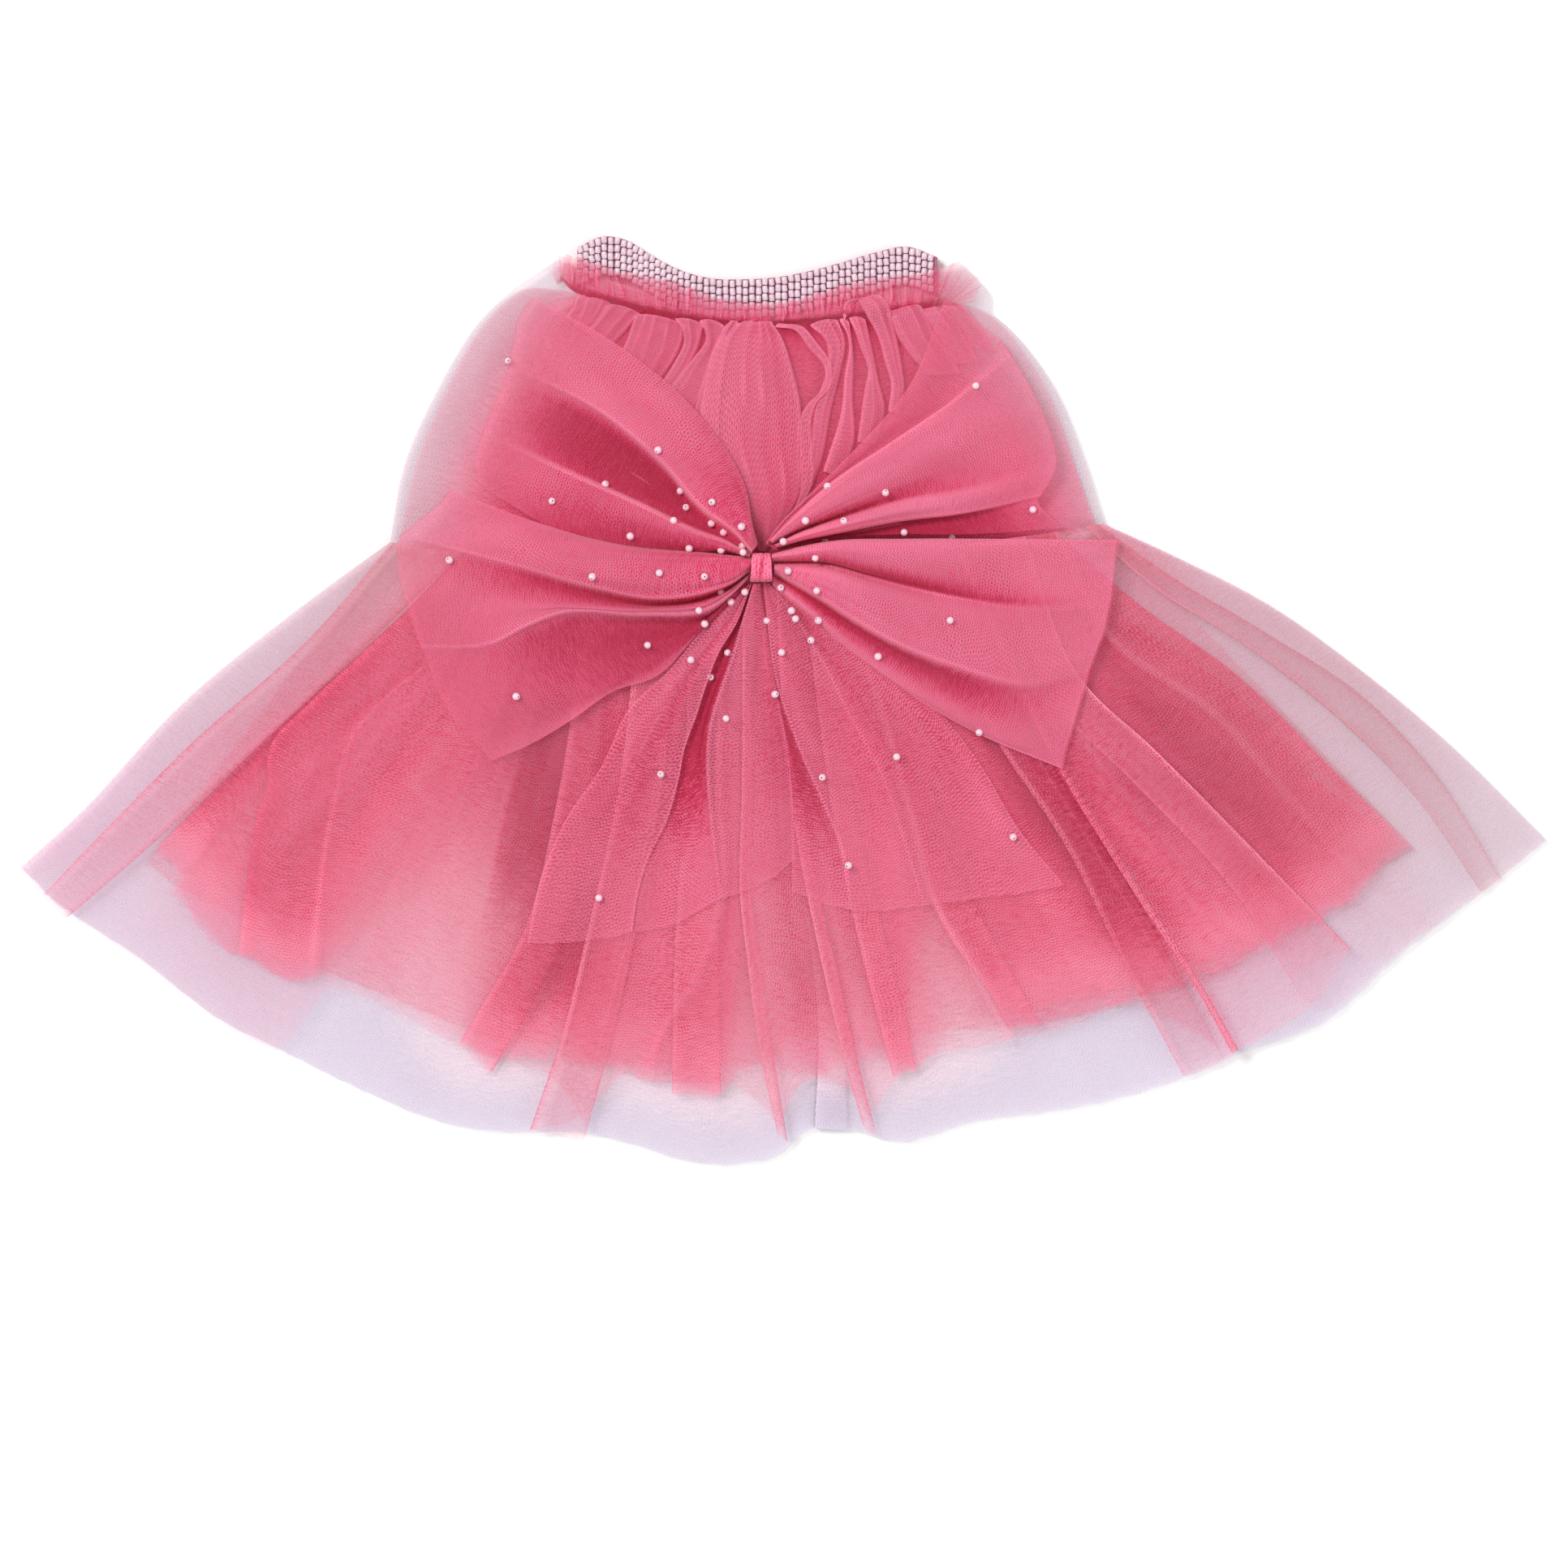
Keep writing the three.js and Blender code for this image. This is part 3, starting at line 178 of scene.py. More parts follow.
# The dense tulle under it, with painted light and shade along its fold lines.
SKIRT_MIDDLE = [
    (5.1, (-0.2, -0.3, -0.3, -0.3, -0.5, -0.1), [(-115.5, 54.4, 0), (-138, 33.4, 0), (-174.9, -1.6, 0), (-188.7, -16.9, 0), (-190.2, -23.6, 0), (-189.6, -28.9, 0), (-194.1, -44.5, 0), (-200.7, -94.3, 0)]),
    (3.4, (-0.45, -0.5, -0.5, -0.5, -0.5, 0), [(-114.3, 54.2, 0.2), (-135.9, 30.4, 0.2), (-171.9, -3.4, 0.2), (-186.3, -19.1, 0.2), (-187.8, -25.1, 0.2), (-186.9, -31, 0.2), (-190.5, -46, 0.2), (-194.1, -98, 0.2)]),
    (3.06, (-0.45, -0.65, -0.6, -0.5, -0.45, 0), [(-109.5, 53.8, 0), (-129, 21.4, 0), (-154.5, -2.5, 0), (-168.9, -20.6, 0), (-175.5, -44.5, 0), (-183.9, -103.3, 0)]),
    (2.72, (-0.45, -0.6, -0.55, -0.4, -0.25, 0), [(-106.2, 53.5, 0.1), (-123.9, 18.4, 0.1), (-140.1, 6.5, 0.1), (-159.6, -12.4, 0.1), (-168, -41.5, 0.1), (-176.7, -104.2, 0.1)]),
    (4.11, (0, -0.1, -0.1, 0, 0.1, 0.4), [(-105, 53.4, 0.6), (-122.1, 19.1, 0.6), (-138.6, 7.3, 0.6), (-158.1, -13, 0.6), (-166.2, -42.1, 0.6), (-174.3, -104, 0.6)]),
    ((3.64, 3.64, 3.59, 3.54, 3.41, 3.33), (-0.29, -0.38, -0.38, -0.28, -0.17, 0.1), [(-104.4, 53.4, 0.43), (-121.2, 18.9, 0.47), (-137.7, 7.2, 0.49), (-157.1, -13.2, 0.49), (-165.2, -42.1, 0.47), (-173.4, -103.8, 0.49)]),
    ((3.06, 3.06, 2.72, 2.38, 1.53, 1.02), (-0.25, -0.25, -0.25, -0.15, 0, 0.1), [(-103.5, 53.3, 0.2), (-119.7, 17.6, 0.2), (-136.2, 5.8, 0.2), (-155.7, -14.5, 0.2), (-163.5, -43, 0.2), (-170.7, -103.3, 0.2)]),
    ((2.72, 2.72, 2.38, 1.87, 1.19, 0.68), (-0.2, -0.2, -0.2, -0.1, 0.05, 0.1), [(-96, 52.7, 0.1), (-112.5, 3.4, 0.1), (-127.5, -20.6, 0.1), (-142.5, -56.5, 0.1), (-153.9, -108.1, 0.1)]),
    ((3.06, 3.06, 2.38, 1.53, 0.85, 0.27), (-0.7, -1, -0.8, -0.2, 0.05, 0.2), [(-87.9, 52.2, 0.1), (-102, -2.5, 0.1), (-114, -29.5, 0.1), (-126, -68.5, 0.1), (-138, -115.9, 0.1)]),
    ((1.7, 1.7, 1.53, 1.19, 1.02, 0.41), (-0.3, -0.5, -0.6, -0.3, 0, 0.2), [(-81.3, 51.8, 0.1), (-93.3, -7.9, 0.1), (-102.9, -37, 0.1), (-110.1, -74.5, 0.1), (-123.9, -124.6, 0.1)]),
    ((3.4, 4.08, 4.42, 3.74, 1.02, 0.68), (-0.6, -1, -1.4, -1.1, -0.2, 0.1), [(-79.5, 51.7, 0.5), (-90.6, -8.5, 0.5), (-100.2, -37, 0.5), (-105.9, -64, 0.5), (-122.4, -125.2, 0.5)]),
    ((3.4, 4.08, 4.42, 4.08, 1.7, 1.19), (-0.7, -1.2, -1.5, -1.2, -0.25, 0.1), [(-72.9, 51.4, 0.3), (-81.9, -8.5, 0.3), (-90.3, -38.5, 0.3), (-97.5, -68.5, 0.3), (-117.9, -126.1, 0.3)]),
    (3.06, (-0.5, -0.7, -0.8, -0.6, -0.6, -0.15), [(-63, 51, 0.2), (-69.9, -35.5, 0.2), (-82.2, -90.5, 0.2), (-93.3, -112.6, 0.2), (-108.6, -138.4, 0.2)]),
    (2.62, 0.3, [(-63.9, 51, 0.5), (-71.1, -35.5, 0.5), (-83.4, -90.5, 0.5), (-94.5, -112.6, 0.5), (-109.5, -138.2, 0.5)]),
    ((2.38, 2.38, 2.38, 2.38, 2.38, 2.38), (-0.01, -0.04, -0.04, -0.03, -0.03, 0), [(-64.9, 51, 0.55), (-72, -35.1, 0.53), (-84.2, -89.9, 0.53), (-95.2, -112, 0.53), (-110.1, -137.4, 0.53)]),
    (2.38, (-0.1, -0.3, -0.3, -0.2, -0.2, 0), [(-72, 51.3, 0.9), (-82.5, -35.5, 0.9), (-97.2, -89.5, 0.9), (-108, -108.1, 0.9), (-119.1, -127, 0.9)]),
    (1.87, (0.1, -0.1, -0.1, 0, 0, 0.3), [(-70.8, 51.3, 1.2), (-81, -35.5, 1.2), (-95.7, -89.5, 1.2), (-106.5, -108.1, 1.2), (-117.6, -127.6, 1.2)]),
    ((1.85, 1.85, 1.85, 1.85, 1.85, 1.85), (-0.23, -0.43, -0.45, -0.38, -0.41, -0.01), [(-69.8, 51.2, 1.18), (-80.1, -35.7, 1.19), (-94.8, -89.8, 1.19), (-105.6, -108.5, 1.19), (-116.7, -128, 1.19)]),
    (2.72, (-0.4, -0.6, -0.7, -0.8, -1, -0.1), [(-60.9, 50.9, 1), (-67.5, -35.5, 1), (-79.5, -90.5, 1), (-90, -112.6, 1), (-103.5, -132.4, 1)]),
    (3.06, (-0.4, -0.6, -0.6, -0.7, -0.8, -0.1), [(-57, 50.8, 0.5), (-62.4, -37, 0.5), (-72.9, -92.5, 0.5), (-82.5, -116.5, 0.5), (-87.9, -133, 0.5)]),
    (3.4, (-0.2, -0.3, -0.3, -0.2, -0.1, 0), [(-49.5, 50.6, 0.2), (-54, -38.5, 0.2), (-62.1, -92.5, 0.2), (-69, -135.2, 0.2)]),
    (2.72, (-0.3, -0.4, -0.4, -0.2, 0, 0.1), [(-40.5, 50.5, 0.1), (-42.9, -38.5, 0.1), (-48.3, -92.5, 0.1), (-55.5, -138.8, 0.1)]),
    (2.72, 0, [(-24.9, 50.6, 0.2), (-25.5, -41.5, 0.2), (-24.9, -86.5, 0.2), (-23.7, -146.2, 0.2)]),
    (2.62, 0.3, [(-25.8, 50.6, 0.5), (-26.7, -41.5, 0.5), (-26.1, -86.5, 0.5), (-24.9, -146.5, 0.5)]),
    ((2.38, 2.38, 2.38, 2.38, 2.38, 2.38), (0, 0, 0, 0, 0, 0), [(-26.8, 50.6, 0.54), (-27.7, -41.5, 0.54), (-27.1, -86.5, 0.53), (-25.9, -146.5, 0.52)]),
    (2.38, 0, [(-34.5, 50.5, 0.9), (-36.3, -41.5, 0.9), (-39.6, -86.5, 0.9), (-41.1, -145.7, 0.9)]),
    (2.24, 0.3, [(-33.6, 50.5, 1.2), (-35.1, -41.5, 1.2), (-38.4, -86.5, 1.2), (-39.9, -146.2, 1.2)]),
    ((2.09, 2.09, 2.09, 2.09, 2.09, 2.09), (0, 0, 0, 0, 0, 0), [(-32.6, 50.5, 1.18), (-34.1, -41.5, 1.18), (-37.4, -86.5, 1.19), (-38.9, -146.2, 1.19)]),
    (2.38, 0, [(-23.1, 50.6, 1), (-23.4, -41.5, 1), (-22.5, -86.5, 1), (-21.6, -145.3, 1)]),
    (2.04, 0, [(-20.4, 50.6, 0.3), (-19.5, -47.5, 0.3), (-18.3, -95.5, 0.3), (-17.7, -139.3, 0.3)]),
    (1.02, 0, [(-15, 50.8, 0.1), (-11.1, -47.5, 0.1), (-8.1, -95.5, 0.1), (-4.8, -135.8, 0.1)]),
    (2.55, (-0.2, -0.4, -0.6, -0.7, -0.9, -0.5), [(-9, 50.9, 0.1), (-3, -47.5, 0.1), (3, -95.5, 0.1), (9.6, -139, 0.1)]),
    (2.04, (-0.2, -0.4, -0.6, -0.6, -0.4, 0.2), [(-1.5, 51.2, 0.1), (7.5, -47.5, 0.1), (15.9, -86.5, 0.1), (27.3, -133.3, 0.1)]),
    (3.06, 0, [(12, 51.8, 0.2), (28.5, -55, 0.2), (39.9, -101.5, 0.2), (48.3, -137.5, 0.2)]),
    (2.62, 0.3, [(11.1, 51.8, 0.5), (27.3, -55.4, 0.5), (38.7, -101.5, 0.5), (47.1, -137.8, 0.5)]),
    ((2.43, 2.43, 2.43, 2.43, 2.43, 2.43), (0, 0, 0, 0, 0, 0), [(10.1, 51.7, 0.58), (26.3, -55.5, 0.56), (37.7, -101.7, 0.55), (46.1, -138, 0.56)]),
    (2.72, 0, [(6, 51.5, 0.9), (20.1, -53.5, 0.9), (28.5, -93.1, 0.9), (40.5, -138.8, 0.9)]),
    (2.62, 0.3, [(6.9, 51.6, 1.2), (21.6, -53.5, 1.2), (30, -93.1, 1.2), (41.7, -139.3, 1.2)]),
    ((2.38, 2.38, 2.38, 2.38, 2.38, 2.38), (0, 0, 0, 0, 0, 0), [(7.9, 51.6, 1.16), (22.5, -53.3, 1.17), (30.9, -92.9, 1.17), (42.6, -139, 1.17)]),
    (2.38, 0, [(13.5, 51.9, 0.9), (31.5, -55, 0.9), (42.3, -98.5, 0.9), (50.7, -135.8, 0.9)]),
    ((2.72, 2.72, 2.72, 2.38, 1.36, 0.1), (-0.2, -0.2, -0.1, 0, 0.1, 0.3), [(18, 52.2, 0.2), (39, -53.5, 0.2), (54, -95.5, 0.2), (65.1, -122.5, 0.2)]),
    (2.72, (-0.1, -0.2, -0.4, -0.5, -0.1, 0.3), [(29.1, 53, 0.2), (60, -56.5, 0.2), (80.1, -95.5, 0.2), (93.6, -120.1, 0.2)]),
    (2.62, 0.3, [(28.2, 52.9, 0.5), (58.5, -56.5, 0.5), (78.6, -96.1, 0.5), (92.1, -120.8, 0.5)]),
    ((2.43, 2.43, 2.43, 2.43, 2.33, 2.23), (-0.01, -0.03, -0.04, -0.06, 0, 0.04), [(27.2, 52.9, 0.57), (57.5, -56.7, 0.55), (77.7, -96.3, 0.54), (91.1, -120.8, 0.54)]),
    ((2.72, 2.72, 2.72, 2.72, 2.04, 1.36), (-0.1, -0.2, -0.3, -0.4, 0, 0.3), [(22.5, 52.5, 0.9), (47.1, -44.5, 0.9), (59.1, -84.8, 0.9), (77.7, -111.5, 0.9), (82.8, -121.6, 0.9)]),
    (2.24, (0.2, 0.1, -0.1, -0.2, 0.2, 0.5), [(23.4, 52.6, 1.1), (48.9, -44.5, 1.1), (60.9, -84.1, 1.1), (79.2, -110.8, 1.1), (84.6, -122.2, 1.1)]),
    ((2.09, 2.09, 2.09, 2.09, 2.09, 2.09), (-0.13, -0.24, -0.43, -0.52, -0.12, 0.22), [(24.4, 52.6, 1.06), (49.8, -44.3, 1.08), (61.8, -83.9, 1.08), (80.1, -110.6, 1.08), (85.5, -122, 1.08)]),
    (2.38, (-0.3, -0.5, -0.6, -0.6, -0.2, 0.3), [(30.9, 53.1, 0.8), (63.9, -53.5, 0.8), (83.7, -94.3, 0.8), (96.9, -119.2, 0.8)]),
    (3.06, (-0.3, -0.3, -0.2, -0.1, 0, 0.4), [(39, 53.8, 0.1), (78, -41.5, 0.1), (103.5, -83.5, 0.1), (122.1, -113.5, 0.1)]),
    (3.4, (-0.4, -0.8, -1.2, -1.2, -0.8, 0), [(49.5, 54.8, 0.1), (93, -35.5, 0.1), (124.5, -77.5, 0.1), (147, -105.1, 0.1)]),
    (3.06, (-0.1, -0.1, -0.2, -0.15, -0.1, 0), [(60, 56, 0.6), (105, -26.6, 0.6), (142.5, -67, 0.6), (171, -95.5, 0.6)]),
    (3.23, (-0.3, -0.4, -0.45, -0.45, -0.25, 0), [(63, 56.3, 0.2), (109.5, -25.1, 0.2), (147, -65.5, 0.2), (177, -92.5, 0.2)]),
    (3.23, (-0.5, -0.7, -0.8, -0.9, -0.6, -0.1), [(75, 57.8, 0.1), (123, -16.1, 0.1), (166.5, -56.5, 0.1), (192.9, -84.5, 0.1)]),
    (3.23, (-0.4, -0.6, -0.7, -0.9, -0.7, 0), [(82.5, 58.8, 0.6), (129, -5.5, 0.6), (175.5, -44.5, 0.6), (207, -76.6, 0.6)]),
    (3.23, (-0.5, -0.7, -0.8, -0.9, -0.6, 0), [(85.5, 59.3, 0.1), (132.9, -3.1, 0.1), (180, -41.5, 0.1), (211.5, -74, 0.1)]),
    (2.89, (-0.4, -0.5, -0.5, -0.45, -0.3, 0), [(93, 60.4, 0.1), (130.5, 18.4, 0.1), (163.5, -4, 0.1), (193.5, -34, 0.1), (221.7, -61.3, 0.1)]),
    (3.4, (-0.3, -0.4, -0.5, -0.4, -0.2, 0), [(98.1, 61.2, 0.4), (130.5, 31.9, 0.4), (164.7, 7, 0.4), (198, -26.6, 0.4), (227.1, -57.1, 0.4)]),
    (3.23, (-0.3, -0.4, -0.5, -0.4, -0.2, 0), [(99.9, 61.5, 0.3), (131.4, 34.6, 0.3), (166.5, 9.4, 0.3), (200.7, -24.1, 0.3), (231.9, -54.8, 0.3)]),
]
# The dense tulle under that, with painted light and shade along its fold lines.
SKIRT_UNDER = [
    (4.42, (-0.4, -0.5, -0.5, -0.5, -0.4, 0), [(-117.9, 54.6, 0), (-140.4, 31.3, 0), (-174.9, -0.1, 0), (-204.9, -28.3, 0), (-232.2, -55.4, 0)]),
    (3.4, (-0.4, -0.5, -0.5, -0.5, -0.4, 0), [(-116.1, 54.4, 0), (-137.1, 28.1, 0), (-171.9, -5, 0), (-199.5, -37, 0), (-222.3, -66.1, 0)]),
    (2.72, (-0.4, -0.5, -0.5, -0.5, -0.4, 0), [(-114.9, 54.3, 0), (-135.9, 25.9, 0), (-170.1, -7, 0), (-198, -40, 0), (-225.9, -71.5, 0)]),
    (3.06, (-0.4, -0.5, -0.5, -0.5, -0.3, 0.3), [(-113.1, 54.1, 0), (-133.5, 21.4, 0), (-166.5, -11.5, 0), (-193.5, -44.5, 0), (-220.8, -77.2, 0)]),
    (3.06, (-0.4, -0.5, -0.5, -0.5, -0.3, 0.3), [(-109.5, 53.8, 0), (-127.5, 18.4, 0), (-157.5, -20.6, 0), (-187.5, -59.5, 0), (-210.9, -89.5, 0)]),
    (3.06, (-0.4, -0.5, -0.5, -0.5, -0.3, 0.3), [(-105.9, 53.5, 0.1), (-121.5, 12.4, 0.1), (-148.5, -26.6, 0.1), (-175.5, -65.5, 0.1), (-198.9, -95.5, 0.1)]),
    (3.06, (-0.2, -0.2, -0.15, -0.1, 0, 0.1), [(-102, 53.2, 0), (-115.5, 9.4, 0), (-139.5, -29.5, 0), (-160.5, -65.5, 0), (-180.9, -104, 0)]),
    ((2.72, 2.72, 2.38, 1.87, 1.19, 0.68), (-0.2, -0.2, -0.15, -0.05, 0.05, 0.1), [(-97.5, 52.8, 0), (-109.5, 6.5, 0), (-130.5, -29.5, 0), (-148.5, -59.5, 0), (-170.1, -101.5, 0)]),
    ((2.55, 0.68), 0, [(-93, 52.5, 0), (-103.5, 6.5, 0), (-118.5, -26.6, 0), (-133.5, -50.5, 0), (-150.9, -83, 0)]),
    ((3.06, 3.06, 2.72, 1.7, 0.68, 0.34), (-0.6, -0.9, -0.7, -0.3, -0.1, 0), [(-85.5, 52, 0), (-94.5, 6.5, 0), (-108, -20.6, 0), (-118.5, -44.5, 0), (-128.7, -69.1, 0)]),
    ((3.06, 3.06, 3.06, 2.72, 1.7, 0.34), (-0.5, -0.7, -0.8, -0.7, -0.4, 0), [(-75, 51.4, 0), (-82.5, 3.4, 0), (-90, -20.6, 0), (-97.5, -44.5, 0), (-105.9, -72.8, 0)]),
    ((3.06, 3.06, 3.74, 3.74, 2.72, 1.02), (-0.4, -0.8, -1, -0.9, -0.6, -0.1), [(-66, 51.1, 0.4), (-72.9, -5.5, 0.4), (-79.5, -35.5, 0.4), (-85.5, -62.5, 0.4), (-91.5, -83.5, 0.4)]),
    (3.4, 0, [(-63, 51, 0.1), (-69, -11.5, 0.1), (-75.9, -47.5, 0.1), (-79.5, -77.5, 0.1), (-83.1, -113.5, 0.1)]),
    (3.4, 0, [(-55.5, 50.7, 0), (-60, -17.6, 0), (-66, -56.5, 0), (-70.5, -95.5, 0), (-74.1, -131.5, 0)]),
    (3.4, 0, [(-45, 50.6, 0), (-48, -20.6, 0), (-51, -59.5, 0), (-54, -98.5, 0), (-57, -135.2, 0)]),
    (3.4, 0, [(-34.5, 50.5, 0.3), (-36, -20.6, 0.3), (-36.6, -59.5, 0.3), (-36.9, -98.5, 0.3), (-36.9, -136.9, 0.3)]),
    (3.4, 0, [(-25.5, 50.6, 0), (-25.5, -20.6, 0), (-24.3, -56.5, 0), (-23.1, -92.5, 0), (-21.9, -134.5, 0)]),
    (2.38, 0, [(-21, 50.6, 0), (-20.1, -20.6, 0), (-18.9, -41.5, 0), (-17.7, -65.5, 0), (-17.1, -101.5, 0)]),
    (2.38, 0, [(-15, 50.8, 0), (-12.9, -17.6, 0), (-10.5, -35.5, 0), (-8.1, -53.5, 0), (-6.9, -70.3, 0)]),
    (2.38, 0, [(-6, 51, 0), (-1.5, -17.6, 0), (3, -35.5, 0), (7.5, -53.5, 0), (12, -71.5, 0)]),
    (2.72, 0, [(0, 51.3, 0.3), (7.5, -20.6, 0.3), (15, -41.5, 0.3), (21, -65.5, 0.3), (26.1, -95.5, 0.3)]),
    (3.4, 0, [(6, 51.5, 0.1), (16.5, -23.6, 0.1), (25.5, -59.5, 0.1), (33, -95.5, 0.1), (39.9, -131.5, 0.1)]),
    (3.4, 0, [(12, 51.8, 0), (25.5, -23.6, 0), (34.5, -59.5, 0), (40.5, -95.5, 0), (45.9, -131.5, 0)]),
    (2.72, 0, [(15, 52, 0), (30.9, -23.6, 0), (39.9, -53.5, 0), (44.1, -74.5, 0), (47.1, -95.5, 0)]),
    (2.04, 0, [(19.5, 52.3, 0), (36, -20.6, 0), (45, -41.5, 0), (51.9, -59.5, 0), (57, -77.5, 0)]),
    (2.38, 0, [(24, 52.6, 0), (42, -20.6, 0), (52.5, -44.5, 0), (61.5, -68.5, 0), (69, -92.5, 0)]),
    (3.4, 0, [(28.5, 52.9, 0.3), (49.5, -20.6, 0.3), (63, -56.5, 0.3), (75, -86.5, 0.3), (84, -115, 0.3)]),
    (3.4, (-0.3, -0.3, -0.2, -0.1, 0, 0.3), [(36, 53.6, 0), (63, -20.6, 0), (81, -56.5, 0), (96, -86.5, 0), (108, -111.1, 0)]),
    (3.4, (-0.5, -0.8, -1, -0.9, -0.4, 0.1), [(46.5, 54.5, 0), (81, -20.6, 0), (103.5, -53.5, 0), (123, -80.5, 0), (140.1, -103, 0)]),
    (3.4, (-0.2, -0.3, -0.3, -0.2, -0.1, 0), [(58.5, 55.8, 0.4), (99, -17.6, 0.4), (127.5, -47.5, 0.4), (151.5, -74.5, 0.4), (169.5, -93.1, 0.4)]),
    (3.4, (-0.4, -0.6, -0.8, -0.9, -0.5, 0), [(69, 57, 0), (112.5, -11.5, 0), (145.5, -41.5, 0), (172.5, -67, 0), (192, -83, 0)]),
    (3.4, (-0.5, -0.7, -0.8, -0.9, -0.5, 0), [(79.5, 58.4, 0), (124.5, -2.5, 0), (162, -32.5, 0), (190.5, -59.5, 0), (210.9, -72.5, 0)]),
    (3.4, (-0.5, -0.7, -0.7, -0.7, -0.3, 0), [(87.9, 59.6, 0.3), (129, 9.4, 0.3), (169.5, -20.6, 0.3), (196.5, -44.5, 0.3), (220.5, -60.1, 0.3)]),
    (3.4, (-0.3, -0.4, -0.4, -0.3, -0.1, 0), [(96, 60.9, 0), (129.9, 27.4, 0), (163.5, 5, 0), (198, -31, 0), (227.1, -53.5, 0)]),
]
